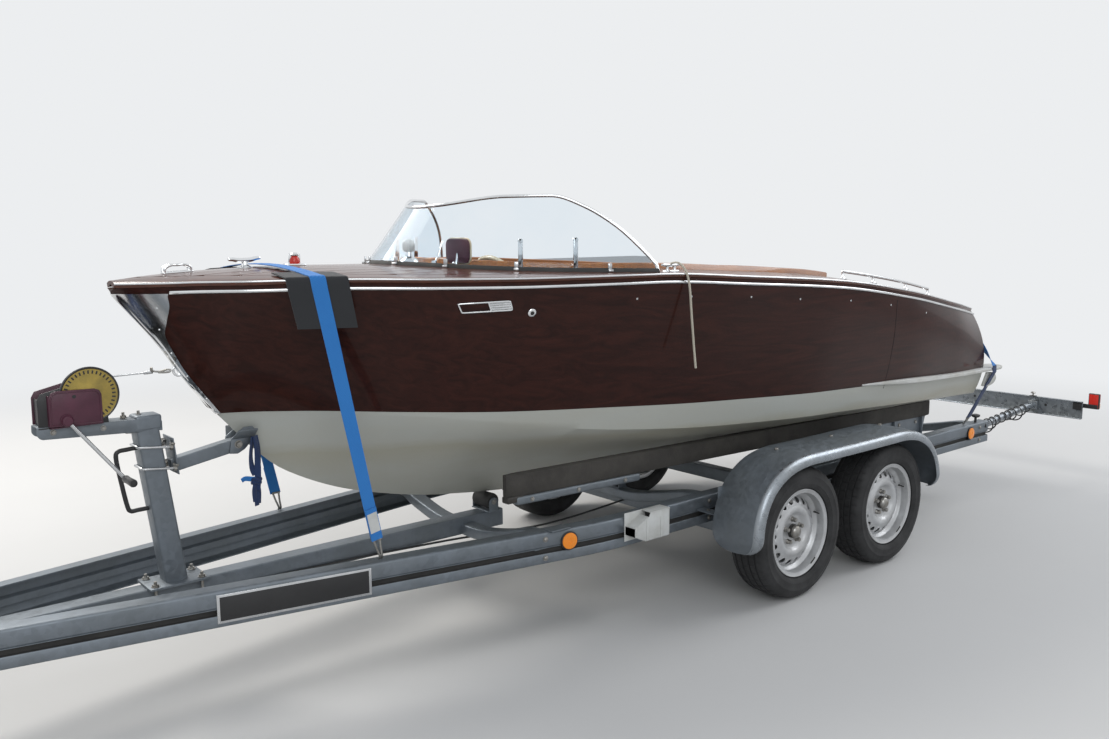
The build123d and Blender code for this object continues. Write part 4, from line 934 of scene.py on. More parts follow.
def makeCoaming():
    v = coamingMake
    build = Build(coamingWood, dullChrome)
    xs = [deckMake["cockpitFront"] - (deckMake["cockpitFront"]
                                      - deckMake["cockpitRear"]) * (i / v["count"]) ** 1.6
          for i in range(v["count"] + 1)]
    port = [(x, cockpit(x)[0]) for x in xs]
    rear = [(xs[-1], y) for y in steps(0.55, 0.0, 6)]
    outline = [Vector((x, y, 0)) for x, y in port] + [Vector((x, y, 0)) for x, y in rear]
    outline += [Vector((p.x, -p.y, 0)) for p in reversed(outline[1:-1])]
    rings, count = [], len(outline)
    for i, p in enumerate(outline):
        ahead = (outline[(i + 1) % count] - outline[i - 1]).normalized()
        inward = Vector((ahead.y, -ahead.x, 0))
        if inward.dot(Vector((-0.3, 0, 0)) - Vector((p.x, p.y, 0))) < 0:
            inward = -inward
        z = deckTop(p.x, p.y)
        ring = []
        for side, height in ((0.001, -v["below"]), (0.001, v["above"] - 0.004), (0.005, v["above"]),
                             (v["thick"] - 0.005, v["above"]), (v["thick"], v["above"] - 0.004),
                             (v["thick"], -v["below"])):
            q = p + inward * side
            ring.append(Vector((q.x, q.y, z + height)))
        rings.append(ring)
    build.rings(rings, loop=True)
    build.done("cockpitCoaming", whole, (), sharp=50)


makeCoaming()

# bright sheer strips, the stem plate and the strakes
stripMake = {"low": 0.043, "high": 0.029, "proud": 0.0085, "start": -2.729, "end": 1.93}


def makeStrips():
    v = stripMake
    build = Build(chrome)
    rings = []
    for x in steps(v["start"], v["end"], 110):
        row = Row(x)
        za, zb = row.sheerZ - v["low"], row.sheerZ - v["high"]
        ya, yb = row.side(row.share(za))[0], row.side(row.share(zb))[0]
        middle, half = (za + zb) / 2, (zb - za) / 2
        ring = [Vector((x, ya - 0.002, za))]
        for a in steps(-90, 90, 9):
            a = math.radians(a)
            y = (ya + yb) / 2 + v["proud"] * math.cos(a)
            ring.append(Vector((x, y, middle + half * math.sin(a))))
        ring.append(Vector((x, yb - 0.002, zb)))
        rings.append(ring)
    build.rings(rings)
    build.done("sheerStrips", whole, ("sheer_strips",), sharp=60, mirror=True)


makeStrips()


bowEyeX = 1.862
stemMake = {"sheet": 0.003, "levels": 44, "across": 9}
# height and how far the plate reaches aft of the stem
stemReach = smoothTable(((1.035, 0.01), (1.15, 0.014), (1.27, 0.02), (1.34, 0.034), (1.4, 0.075),
                         (1.46, 0.122), (1.495, 0.14), (1.505, 0.146)))
stemLine = smoothTable([(row[1] / 1000 + hullPlace["keel"], row[0] / 1000 + hullPlace["transom"])
                        for row in hullRows if row[0] > 3400])


def makeStem():
    v = stemMake
    build = Build(chrome)
    outer, inner = [], []
    top = hullPlace["keel"] + 1.013
    for z in steps(1.035, top, v["levels"]):
        front = min(stemLine(z)[0], hullPlace["tip"] - 0.004)
        reach = stemReach(z)[0]
        half, halfIn = [], []
        for i in range(v["across"]):
            x = front - reach * (i / (v["across"] - 1)) ** 1.3
            row = Row(x)
            y = max(row.breadth(z), 0.004 + 0.007 * min(1, i / 2))
            half.append(Vector((x + (v["sheet"] if i == 0 else 0), y + v["sheet"], z)))
            halfIn.append(Vector((x - 0.002, max(0.001, y - 0.003), z)))
        outer.append(half[::-1] + [Vector((half[0].x + 0.003, 0, z))]
                     + [Vector((p.x, -p.y, p.z)) for p in half])
        inner.append([Vector((p.x, -p.y, p.z)) for p in reversed(halfIn)]
                     + [Vector((halfIn[0].x - 0.002, 0, z))] + halfIn)
    build.rings([a + b for a, b in zip(outer, inner)])
    x, z = bowEyeX, Row(bowEyeX).keel + 0.006
    eye = [Vector((x + 0.02 * math.cos(a), 0, z + 0.02 * math.sin(a)))
           for a in around(28)]
    build.tube(eye, 0.005, 10, loop=True)
    for side in (1, -1):
        for z in (1.1, 1.19, 1.28, 1.37, 1.45):
            front, reach = stemLine(z)[0], stemReach(z)[0]
            x = front - reach * 0.72
            y = Row(x).breadth(z) + v["sheet"]
            build.turn([(0, -0.001), (0.0042, -0.001), (0.003, 0.0012), (0, 0.0018)], (x, side * y, z),
                       (0.25, side * 0.95, -0.1), 14)
    build.done("stemPlate", whole, ("cutwater",), sharp=60)

makeStem()

strakeMake = {"rows": ((-1.27, 0.2, 0.215, 6), (-1.63, 0.2, 0.24, 28), (-2.23, 0.235, 0.275, 38),
                       (-2.73, 0.29, 0.325, 55))}


def makeStrakes():
    v = strakeMake
    read = smoothTable(sorted(v["rows"]))
    build = Build(whiteTrim, bottomPaint)
    rings = []
    for x in steps(-2.73, -1.27, 36):
        low, high, proud = read(x)
        row = Row(x)
        (ya, za), (yb, zb) = row.side(low), row.side(high)
        out = proud / 1000
        ring = [(ya - 0.004, za), (ya + out - 0.004, za), (ya + out, za + 0.004), (ya + out, zb - 0.004),
                (ya + out - 0.004, zb - 0.001), (yb - 0.004, zb)]
        rings.append([Vector((x, y, z)) for y, z in ring])
    build.rings(rings)
    row = Row(hullPlace["transom"])
    (ya, za), (yb, zb) = row.side(0.29), row.side(0.325)
    plan = curved([(-2.72, ya + 0.052), (-2.8, ya + 0.058), (-2.865, ya + 0.052), (-2.912, ya + 0.026),
                   (-2.926, ya - 0.018), (-2.905, ya - 0.055), (-2.86, ya - 0.078), (-2.79, ya - 0.08)], 5)
    plan = plan + [Vector((-2.7305, ya - 0.075, 0))]
    middle = Vector((-2.82, ya - 0.01, 0))
    layers = []
    for z, inset in ((za, 0.004), (za + 0.003, 0.001), ((za + zb) / 2, 0), (zb - 0.003, 0.001), (zb, 0.004)):
        layers.append([Vector((*(middle + (Vector((p[0], p[1], 0)) - middle) * (1 - inset / 0.08))[:2], z))
                       for p in plan])
    build.rings(layers)
    # small rounded tab under the fin
    tab = curved([(-2.729, ya + 0.03, za - 0.012), (-2.8, ya + 0.038, za - 0.02),
                  (-2.836, ya + 0.034, za - 0.055), (-2.82, ya + 0.026, za - 0.088),
                  (-2.77, ya + 0.014, za - 0.104), (-2.729, ya + 0.004, za - 0.1)], 4)
    build.prism([tuple(p) for p in tab], (0, -0.012, 0.002), 0.002)
    build.done("sprayStrakes", whole, ("spray_strakes",), sharp=45, mirror=True)


makeStrakes()
print("hull trim fitted")

# wrap-round windshield
glassFoot = ((1.059, 0), (1.008, 0.2), (0.88, 0.405), (0.613, 0.63), (0.188, 0.82), (0.02, 0.85))
glassHead = ((0.79, 0), (0.72, 0.2), (0.58, 0.38), (0.4, 0.53), (0.14, 0.64), (-0.03, 0.69))
glassTop = smoothTable(((-0.12, 1.34), (0.12, 1.4005), (0.165, 1.5405), (0.22, 1.6405), (0.28, 1.7225),
                        (0.38, 1.8055), (0.48, 1.8505), (0.62, 1.8485), (0.82, 1.8105), (1.17, 1.7605)))
glassMake = {"low": 1.5005, "high": 1.8605, "thick": 0.006, "up": 16, "rim": 0.0075}


def glassLines():
    v = glassMake

    def fullLine(table):
        return curved([(x, -y, 0) for x, y in reversed(table)] + [(x, y, 0) for x, y in table[1:]], 12)
    foot, head = fullLine(glassFoot), fullLine(glassHead)
    lines = []
    for a, b in zip(foot, head):
        a, b = Vector((a.x, a.y, v["low"])), Vector((b.x, b.y, v["high"]))

        def over(t):
            p = a.lerp(b, t)
            return p.z - deckTop(p.x, p.y)

        def under(t):
            p = a.lerp(b, t)
            return glassTop(p.x)[0] - p.z
        start = solve(over, 0.0, 1.0)
        if under(start) < 0.004:
            continue
        end = solve(lambda t: -under(t), start, 1.0) if under(1.0) < 0 else 1.0
        lines.append([a.lerp(b, t) for t in steps(start, end, v["up"])])
    return lines


def solve(f, low, high):
    # place between low and high where f turns from below zero to above
    for _ in range(40):
        middle = (low + high) / 2
        if f(middle) < 0:
            low = middle
        else:
            high = middle
    return (low + high) / 2


def makeWindshield():
    v = glassMake
    lines = glassLines()
    normals = []
    for i in range(len(lines)):
        along = lines[min(i + 1, len(lines) - 1)][0] - lines[max(i - 1, 0)][0]
        rise = lines[i][-1] - lines[i][0]
        normals.append(along.cross(rise).normalized())
    out = 1 if normals[len(normals) // 2].x > 0 else -1
    rings = []
    for line, normal in zip(lines, normals):
        shift = normal * out * v["thick"] / 2
        rings.append([p + shift for p in line] + [p - shift for p in reversed(line)])
    pane = Build(acrylic)
    pane.rings(rings)
    pane.done("windshieldPane", whole, ("windshield_glass",), sharp=50)
    rim = Build(chrome, rubber, dullChrome)
    top = [line[-1] for line in lines]
    closing = [lines[0][int(k)] for k in steps(0, v["up"] - 1, 6)][:-1]
    ending = [lines[-1][int(k)] for k in steps(v["up"] - 1, 0, 6)][1:]
    rim.tube(closing + top + ending, v["rim"], 12)
    # rubber seat under the pane and its small clamps
    seat = []
    for line, normal in zip(lines, normals):
        p, n = line[0], normal * out
        n = Vector((n.x, n.y, 0)).normalized()
        seat.append([p + n * 0.016 + Vector((0, 0, -0.005)), p + n * 0.014 + Vector((0, 0, 0.004)),
                     p + n * 0.005 + Vector((0, 0, 0.015)), p - n * 0.005 + Vector((0, 0, 0.015)),
                     p - n * 0.014 + Vector((0, 0, 0.004)), p - n * 0.016 + Vector((0, 0, -0.005))])
    rim.rings(seat, 1)
    count = len(lines)
    for share in (0.06, 0.17, 0.3, 0.43, 0.57, 0.7, 0.83, 0.94):
        i = int(share * (count - 1))
        n = Vector((normals[i].x, normals[i].y, 0)).normalized() * out
        p = lines[i][0]
        turn = Matrix.Translation(p) @ n.to_track_quat("X", "Z").to_matrix().to_4x4()
        rim.block((-0.004, -0.01, 0.0), (0.022, 0.01, 0.01), 0.002, 2, turn)
        rim.block((0.004, -0.008, 0.008), (0.011, 0.008, 0.034), 0.002, 2, turn)
    rim.done("windshieldRim", whole, ("windshield_frame",), sharp=45)
    # inner stays, the lamp on the foredeck's end and the wiper arm
    inner = Build(chrome, whitePlastic, winchPaint, ivory)
    for x, y, height in ((0.64, 0.475, 0.115), (0.455, 0.6, 0.125), (0.64, -0.475, 0.115),
                         (0.455, -0.6, 0.125)):
        z = deckTop(x, y)
        inner.block((x - 0.011, y - 0.004, z - 0.004), (x + 0.011, y + 0.004, z + height), 0.003)
        inner.block((x - 0.022, y - 0.012, z - 0.003), (x + 0.022, y + 0.012, z + 0.005), 0.002)
        inner.rod(0.009, -0.006, 0.006, (x, y, z + height - 0.006), (0, 1, 0), 20)
    x = 0.868
    z = deckTop(x, 0)
    inner.turn([(0, -0.003), (0.044, -0.003), (0.044, 0.004), (0.034, 0.018), (0.016, 0.03), (0.013, 0.052),
                (0, 0.052)],
               (x, 0, z), (0, 0, 1), 36)
    inner.turn([(0, 0.05), (0.02, 0.05), (0.026, 0.06), (0.026, 0.084), (0.02, 0.096), (0.008, 0.102),
                (0, 0.102)],
               (x, 0, z), (0, 0, 1), 32, 1)
    x = 0.845
    arm = [Vector((x, 0.16, deckTop(x, 0.16) + 0.004)), Vector((x - 0.035, 0.135, deckTop(x, 0.16) + 0.04)),
           Vector((x - 0.085, 0.095, deckTop(x, 0.16) + 0.095))]
    inner.tube(curved(arm, 4), 0.0035, 8)
    inner.turn([(0, -0.004), (0.013, -0.004), (0.012, 0.012), (0, 0.014)], arm[0], (0, 0, 1), 20)
    # mirror on its stalk over the helm
    x, y, z = 0.794, 0.27, 1.629
    edge = []
    for cy, cz, start in ((1, 1, 0), (-1, 1, 90), (-1, -1, 180), (1, -1, 270)):
        edge += [Vector((x, y + cy * 0.052 + 0.03 * math.cos(math.radians(a)),
                         z + cz * 0.022 + 0.028 * math.sin(math.radians(a))))
                 for a in steps(start, start + 90, 7)]
    inner.prism([p + Vector((0.004, 0, 0)) for p in edge], (0.01, 0, 0), 0.003, 2)
    inner.prism([p - Vector((0.001, 0, 0)) for p in edge], (0.0045, 0, 0), 0.0, 0)
    inner.tube([p + Vector((0.003, 0, 0)) for p in edge], 0.0042, 10, 3, loop=True)
    foot = deckTop(x + 0.03, y)
    inner.tube(curved([(x + 0.03, y, foot), (x + 0.032, y, foot + 0.015), (x + 0.02, y, z - 0.06),
                       (x + 0.01, y, z - 0.01)], 5), 0.0055, 12)
    inner.turn([(0, -0.003), (0.02, -0.003), (0.02, 0.003), (0.009, 0.008), (0, 0.008)], (x + 0.03, y, foot),
               (0, 0, 1), 24)
    inner.done("windshieldStays", whole, (), sharp=45)


makeWindshield()
print("windshield bent")

# road wheels
wheelMake = {"places": ((-0.608, "front"), (-1.352, "rear")), "y": 0.885, "z": 0.3125, "slots": 18,
             "blocks": 44, "perBlock": 6, "grooves": (-0.054, -0.019, 0.019, 0.054), "groove": 0.0045,
             "cut": 0.0062, "sipe": 0.0045}
# radius and place across the wheel, outboard side positive
rimBarrel = ((0.19, -0.0735), (0.1925, -0.0765), (0.205, -0.0765), (0.2075, -0.079), (0.2068, -0.0822),
             (0.204, -0.083), (0.188, -0.079), (0.1855, -0.07), (0.1855, -0.047), (0.164, -0.03),
             (0.164, 0.021), (0.17, 0.03), (0.183, 0.037), (0.1855, 0.043), (0.1858, 0.069),
             (0.1885, 0.0775), (0.196, 0.079), (0.202, 0.0815), (0.2045, 0.083), (0.2068, 0.0822),
             (0.2075, 0.079), (0.205, 0.0765), (0.1925, 0.0765), (0.19, 0.0735), (0.1895, 0.044),
             (0.187, 0.04), (0.172, 0.033), (0.1675, 0.025), (0.1675, -0.028), (0.1895, -0.045))
rimDish = ((0.033, 0.029), (0.033, 0.0325), (0.07, 0.0325), (0.078, 0.0345), (0.088, 0.048),
           (0.096, 0.054), (0.106, 0.056), (0.116, 0.0545), (0.121, 0.0505), (0.1275, 0.048),
           (0.1275, 0.044), (0.12, 0.0465), (0.115, 0.0505), (0.106, 0.052), (0.097, 0.05),
           (0.09, 0.0445), (0.08, 0.031), (0.071, 0.029))
dishSlope = smoothTable(((0.125, 0.049), (0.134, 0.047), (0.146, 0.041), (0.157, 0.029), (0.1665, 0.019)))
tyreWall = ((0.1895, -0.066), (0.19, -0.073), (0.2085, -0.0745), (0.2125, -0.08), (0.2125, -0.086),
            (0.22, -0.089), (0.226, -0.0935), (0.232, -0.095), (0.2345, -0.0965), (0.2375, -0.0962),
            (0.25, -0.0975), (0.264, -0.0974), (0.266, -0.0982), (0.269, -0.098), (0.271, -0.0966),
            (0.283, -0.0945), (0.29, -0.0915), (0.296, -0.088), (0.299, -0.085))


def makeTyre(name, x, side, body, cadNode):
    v = wheelMake
    build = Build(tyreRubber)
    tread = [(0.303, -0.081, 1), (0.307, -0.073, 1), (0.3095, -0.065, 1)]
    for g in v["grooves"]:
        high = 0.3125 - 6.0 * g * g * 0.1
        tread += [(high, g - v["groove"] - 0.0004, 2), (high - v["cut"], g - v["groove"] * 0.7, 0),
                  (high - v["cut"], g + v["groove"] * 0.7, 0), (high, g + v["groove"] + 0.0004, 2)]
    tread += [(r, -y, k) for r, y, k in reversed(tread[:3])]
    profile = [(r, y, 0) for r, y in tyreWall] + tread + [(r, -y, 0) for r, y in reversed(tyreWall)]
    profile += [(0.24, 0.082, 0), (0.29, 0.07, 0), (0.296, 0.045, 0), (0.296, -0.045, 0),
                (0.29, -0.07, 0), (0.24, -0.082, 0)]
    count = v["blocks"] * v["perBlock"]
    rings = []
    for i in range(count):
        a = 2 * math.pi * i / count
        ring = []
        for r, y, kind in profile:
            shift = 0 if abs(y) > 0.058 else (2 if abs(y) > 0.022 else 4)
            cut = kind and (i + shift) % v["perBlock"] == 0
            if kind == 1 and cut:
                r -= 0.004
            elif kind == 2 and cut:
                r -= v["sipe"]
            ring.append(Vector((x + r * math.cos(a), side * (v["y"] + y), v["z"] + r * math.sin(a))))
        rings.append(ring)
    build.rings(rings, loop=True)
    build.done(name, body, (cadNode,), sharp=34)


def slottedRing(build, centre, side, look):
    # sloping band of the dish with its oval slots, front and back joined round every slot
    v = wheelMake
    low, high, thick, ring = 0.1255, 0.166, 0.003, 32
    half = math.pi / v["slots"]
    points, faces = [], []

    def put(a, r, depth):
        y = dishSlope(r)[0] - depth
        points.append((centre.x + r * math.cos(a), centre.y + side * y, centre.z + r * math.sin(a)))
        return len(points) - 1
    for s in range(v["slots"]):
        mid = 2 * math.pi * s / v["slots"]
        loops = []
        for depth in (0.0, thick):
            edge, lip, hole = [], [], []
            for a in around(ring):
                c, d = math.cos(a), math.sin(a)
                reach = 1 / max(abs(c), abs(d))
                u, w = c * reach, d * reach
                edge.append(put(mid + half * u, (low + high) / 2 + (high - low) / 2 * w, depth))
                lip.append(put(mid + 0.62 * half * c, 0.147 + 0.0158 * d, depth))
                hole.append(put(mid + 0.53 * half * c, 0.147 + 0.0138 * d, depth + 0.0016))
            loops.append((edge, lip, hole))
        (edge, lip, hole), (edgeBack, lipBack, holeBack) = loops
        for k in range(ring):
            n = (k + 1) % ring
            faces += [[edge[k], edge[n], lip[n], lip[k]], [lip[k], lip[n], hole[n], hole[k]],
                      [edgeBack[n], edgeBack[k], lipBack[k], lipBack[n]],
                      [lipBack[n], lipBack[k], holeBack[k], holeBack[n]],
                      [hole[k], hole[n], holeBack[n], holeBack[k]]]
            middle = 2 * math.pi * (k + 0.5) / ring
            if abs(math.sin(middle)) > abs(math.cos(middle)):
                faces.append([edge[n], edge[k], edgeBack[k], edgeBack[n]])
    build.add(points, faces, look)


def makeRim(name, x, side, body, cadNode):
    v = wheelMake
    build = Build(rimPaint, hubIron, steelBolt, rubber)
    centre = Vector((x, side * v["y"], v["z"]))
    axis = Vector((0, side, 0))
    build.turn(rimBarrel, centre, axis, 96)
    build.turn(rimDish, centre, axis, 96)
    slottedRing(build, centre, side, 0)
    build.turn([(0.0172, -0.08), (0.105, -0.08), (0.124, -0.07), (0.124, -0.004), (0.112, 0.004),
                (0.07, 0.028), (0.032, 0.0285), (0.032, 0.05), (0.0172, 0.05)], centre, axis, 48, 1)
    build.turn([(0, 0.03), (0.0305, 0.03), (0.0305, 0.05), (0.029, 0.06), (0.0245, 0.066), (0.012, 0.0715),
                (0, 0.072)], centre, axis, 40, 2)
    for k in range(5):
        a = math.radians(18 + 72 * k)
        place = centre + Vector((0.056 * math.cos(a), 0, 0.056 * math.sin(a)))
        build.turn([(0, 0.029), (0.0125, 0.029), (0.0125, 0.0345), (0.0095, 0.0395), (0, 0.0395)], place,
                   axis, 24, 2)
        build.turn([(0, 0.038), (0.01, 0.038), (0.01, 0.0525), (0.0085, 0.0555), (0, 0.056)], place, axis, 6,
                   2)
    a = math.radians(160)
    out = Vector((math.cos(a), 0, math.sin(a)))
    stem = [centre + out * 0.176 + axis * 0.03, centre + out * 0.175 + axis * 0.046,
            centre + out * 0.172 + axis * 0.066]
    build.tube(stem, lambda t: 0.0046 - 0.0014 * t, 12, 3)
    weight = [centre + Vector((0.1895 * math.cos(b), 0, 0.1895 * math.sin(b))) + axis * 0.0785
              for b in (math.radians(230 + 3 * k) for k in range(5))]
    build.tube(weight, 0.003, 8, 1)
    build.done(name, body, (cadNode,), sharp=40)


def makeWheels():
    for x, where in wheelMake["places"]:
        for side, label in ((1, "port"), (-1, "starboard")):
            body = "wheel_" + where + "_" + label
            cap = where.capitalize() + label.capitalize()
            makeTyre("tyre" + cap, x, side, body, "tyre_" + where + "_" + label)
            makeRim("rim" + cap, x, side, body, "rim_" + where + "_" + label)


makeWheels()
print("wheels turned")

# fenders
fenderMake = {"middle": -0.98, "half": 0.772, "inner": 0.775, "outer": 1.035, "sheet": 0.003, "roll": 0.03,
              "lip": 0.046, "corner": 0.085,
              "line": ((0.764, 0.29), (0.7715, 0.345), (0.7635, 0.43), (0.735, 0.515), (0.684, 0.588),
                       (0.61, 0.643), (0.52, 0.678), (0.41, 0.6945), (0.29, 0.6955), (0.0, 0.695),
                       (-0.29, 0.6955), (-0.41, 0.6945), (-0.52, 0.678), (-0.61, 0.643), (-0.684, 0.588),
                       (-0.735, 0.515), (-0.7635, 0.43), (-0.7715, 0.347))}


def makeFenders():
    v = fenderMake
    build = Build(galvanised, brightZinc, steelBolt, redLens, blackPlastic)
    line = curved([(v["middle"] + x, 0, z) for x, z in v["line"]], 7)
    lengths = [0.0]
    for a, b in zip(line, line[1:]):
        lengths.append(lengths[-1] + (b - a).length)
    total, rings, chosen = lengths[-1], [], None
    for i, p in enumerate(line):
        ahead = (line[min(i + 1, len(line) - 1)] - line[max(i - 1, 0)]).normalized()
        out = Vector((-ahead.z, 0, ahead.x))
        if out.dot(p - Vector((v["middle"], 0, 0.3))) < 0:
            out = -out
        near = min(lengths[i], total - lengths[i])
        r = v["corner"]
        inset = r - math.sqrt(max(0, r * r - max(0, r - near) ** 2)) if near < r else 0.0
        y0, y1 = v["inner"] + inset * 0.9, v["outer"] - inset * 0.75
        front, back, t = [], [], v["sheet"]
        for f in steps(0, 1, 9):
            y = y0 + (y1 - v["roll"] - y0) * f
            crown = 0.006 * (1 - (2 * f - 1) ** 2)
            front.append((y, crown))
            back.append((y, crown - t))
        for a in steps(80, 0, 7):
            a = math.radians(a)
            front.append((y1 - v["roll"] + v["roll"] * math.cos(a), -v["roll"] + v["roll"] * math.sin(a)))
            back.append((y1 - v["roll"] + (v["roll"] - t) * math.cos(a),
                         -v["roll"] + (v["roll"] - t) * math.sin(a)))
        front += [(y1 - 0.001, -v["lip"] * 0.85), (y1 - 0.004, -v["lip"])]
        back += [(y1 - 0.001 - t, -v["lip"] * 0.85), (y1 - 0.004 - t, -v["lip"])]
        ring = front + back[::-1]
        # the rolled outer band and the lip take the brighter zinc, a painted highlight where light catches the
        # roll
        if chosen is None:
            chosen = [1 if 8 <= k <= 16 else 0 for k in range(len(ring))]
        rings.append([p + Vector((0, y, 0)) + out * n for y, n in ring])
    build.rings(rings, looks=chosen)
    for x in (v["middle"] + v["half"] - 0.06, v["middle"] - v["half"] + 0.06):
        build.block((x - 0.03, 0.65, 0.4215), (x + 0.03, 0.815, 0.4275), 0.002)
        build.block((x - 0.03, 0.777, 0.424), (x + 0.03, 0.782, 0.56), 0.0015)
        for y in (0.7, 0.76):
            bolt(build, (x, y, 0.4275), (0, 0, 1), 0.0085, 2)
    for x in (-0.98, -0.55, -1.41):
        bolt(build, (x, 0.86, 0.6995), (0, 0, 1), 0.0095, 2, 0.008)
    # reflector on the rear curve
    rear = Matrix.Translation((-1.704, 0.945, 0.56)) @ Matrix.Rotation(math.radians(-56), 4, "Y")
    build.block((-0.02, -0.046, 0.0), (0.02, 0.046, 0.007), 0.003, 4, rear)
    build.block((-0.016, -0.042, 0.005), (0.016, 0.042, 0.011), 0.003, 3, rear)
    build.done("fenders", whole, ("fender_port", "fender_starboard"), sharp=42, mirror=True)


makeFenders()

# frame of the trailer
memberMake = {"low": 0.3475, "high": 0.4815, "bend": 0.16,
              "line": ((-3.02, 0.65), (0.32, 0.65), (3.27, 0.109))}
# outward and upward places round the rolled channel, with its lengthwise groove
memberShape = ((-0.0645, 0.0), (-0.006, 0.0), (-0.0015, 0.0018), (0.0, 0.006), (0.0, 0.04), (-0.0022, 0.0432),
               (-0.013, 0.045), (-0.0135, 0.05), (-0.0135, 0.06), (-0.013, 0.064), (-0.0045, 0.0655),
               (-0.0005, 0.0668), (-0.0005, 0.069), (-0.0038, 0.07), (-0.0015, 0.0728), (0.0, 0.076),
               (0.0, 0.123), (-0.0025, 0.129), (-0.008, 0.1325), (-0.014, 0.1335), (-0.0645, 0.134),
               (-0.0645, 0.129), (-0.012, 0.1285), (-0.006, 0.124), (-0.005, 0.12), (-0.005, 0.076),
               (-0.019, 0.068), (-0.019, 0.043), (-0.0055, 0.038), (-0.005, 0.008), (-0.008, 0.005),
               (-0.0645, 0.005))


def memberPath():
    a, b, c = [Vector((*p, 0)) for p in memberMake["line"]]
    back, on = (a - b).normalized(), (c - b).normalized()
    r = memberMake["bend"]
    curve = [b + back * r * (1 - t) ** 2 + on * r * t * t for t in steps(0, 1, 9)]
    return [a.lerp(curve[0], t) for t in steps(0, 0.97, 12)] + curve + [curve[-1].lerp(c, t)
            for t in steps(0.03, 1, 12)]


def memberOuter(x):
    (_, y0), (x1, y1), (x2, y2) = memberMake["line"]
    return y0 if x <= x1 else y1 + (y2 - y1) * (x - x1) / (x2 - x1)


def makeMembers():
    v = memberMake
    build = Build(galvanised, rubber, amberLens, blackPlastic, steelBolt)
    path = memberPath()
    rings = []
    for i, p in enumerate(path):
        ahead = (path[min(i + 1, len(path) - 1)] - path[max(i - 1, 0)]).normalized()
        out = Vector((-ahead.y, ahead.x, 0))
        rings.append([p + out * n + Vector((0, 0, v["low"] + h)) for n, h in memberShape])
    build.rings(rings, looks=[1 if 5 <= k <= 9 else 0 for k in range(len(memberShape))])
    # round amber reflectors
    for x, z in ((1.49 - trailerZero, 0.43), (-1.81 - trailerZero, 0.43)):
        y = memberOuter(x)
        out = Vector((0.18, 0.98, 0)) if x > 0.32 else Vector((0, 1, 0))
        build.turn([(0, -0.012), (0.037, -0.012), (0.04, 0.001), (0.04, 0.006), (0.036, 0.0075), (0, 0.0075)],
                   (x, y, z), out, 40, 3)
        build.turn([(0, 0.006), (0.035, 0.006), (0.034, 0.0105), (0.026, 0.0125), (0.01, 0.0128),
                    (0.009, 0.011), (0, 0.011)], (x, y, z), out, 40, 2)
    # bolts of the cross-members and supports
    for x in (0.62, -0.33, -1.88, -2.91):
        for z in (0.372, 0.452):
            bolt(build, (x, memberOuter(x) + 0.0005, z), (0, 1, 0) if x < 0.32 else (0.18, 0.98, 0), 0.0095,
                 4)
    build.done("sideMembers", whole, ("side_member_port", "side_member_starboard"), sharp=50, mirror=True)
    # blank name plate on the port member
    plate = Build(dullChrome, blackPlastic)
    start, end = [Vector((x - trailerZero, memberOuter(near), 0)) for x,
                  near in ((2.335, 1.355), (2.885, 1.905))]
    along = (end - start).normalized()
    out = Vector((-along.y, along.x, 0))
    turn = Matrix((
        (along.x, out.x, 0, start.x), (along.y, out.y, 0, start.y), (0, 0, 1, 0.415), (0, 0, 0, 1)))
    length = (end - start).length
    plate.block((0, -0.002, -0.052), (length, 0.0035, 0.052), 0.0015, 0, turn)
    plate.block((0.01, 0.003, -0.043), (length - 0.01, 0.0045, 0.043), 0.001, 1, turn)
    for x in (0.005, length - 0.005):
        for z in (-0.046, 0.046):
            plate.turn([(0, -0.001), (0.0028, -0.001), (0.0022, 0.0012), (0, 0.0018)],
                       turn @ Vector((x, 0.0035, z)), out, 12)
    plate.done("blankPlate", whole, (), sharp=40)


makeMembers()


def roundedSection(w, h, r, count):
    # outline of a rectangle with rounded corners, count points to a corner
    ring = []
    for cx, cz, start in ((w - r, h - r, 0), (-w + r, h - r, 90), (-w + r, -h + r, 180),
                          (w - r, -h + r, 270)):
        for k in range(count):
            t = math.radians(start + 90 / (count - 1) * k)
            ring.append((cx + r * math.cos(t), cz + r * math.sin(t)))
    return ring


def hollowBeam(build, a, b, half, high, look=0, wall=0.004, soft=0.006):
    # square tube with rounded corners from a to b, open at both ends
    a, b = Vector(a), Vector(b)
    ahead = (b - a).normalized()
    right = ahead.cross(Vector((0, 0, 1))).normalized()
    up = right.cross(ahead)

    outer = roundedSection(half, high, soft, 5)
    inner = roundedSection(half - wall, high - wall, max(0.0015, soft - wall), 5)
    stations = [a.lerp(b, t) for t in steps(0, 1, 10)]
    rings = [[p + right * x + up * z for x, z in outer] for p in stations]
    rings += [[p + right * x + up * z for x, z in inner] for p in reversed(stations)]
    build.rings(rings, look, loop=True)


frameMake = {"crossPlaces": (0.62, -0.33, -1.88, -2.91), "beamTop": 0.4275}


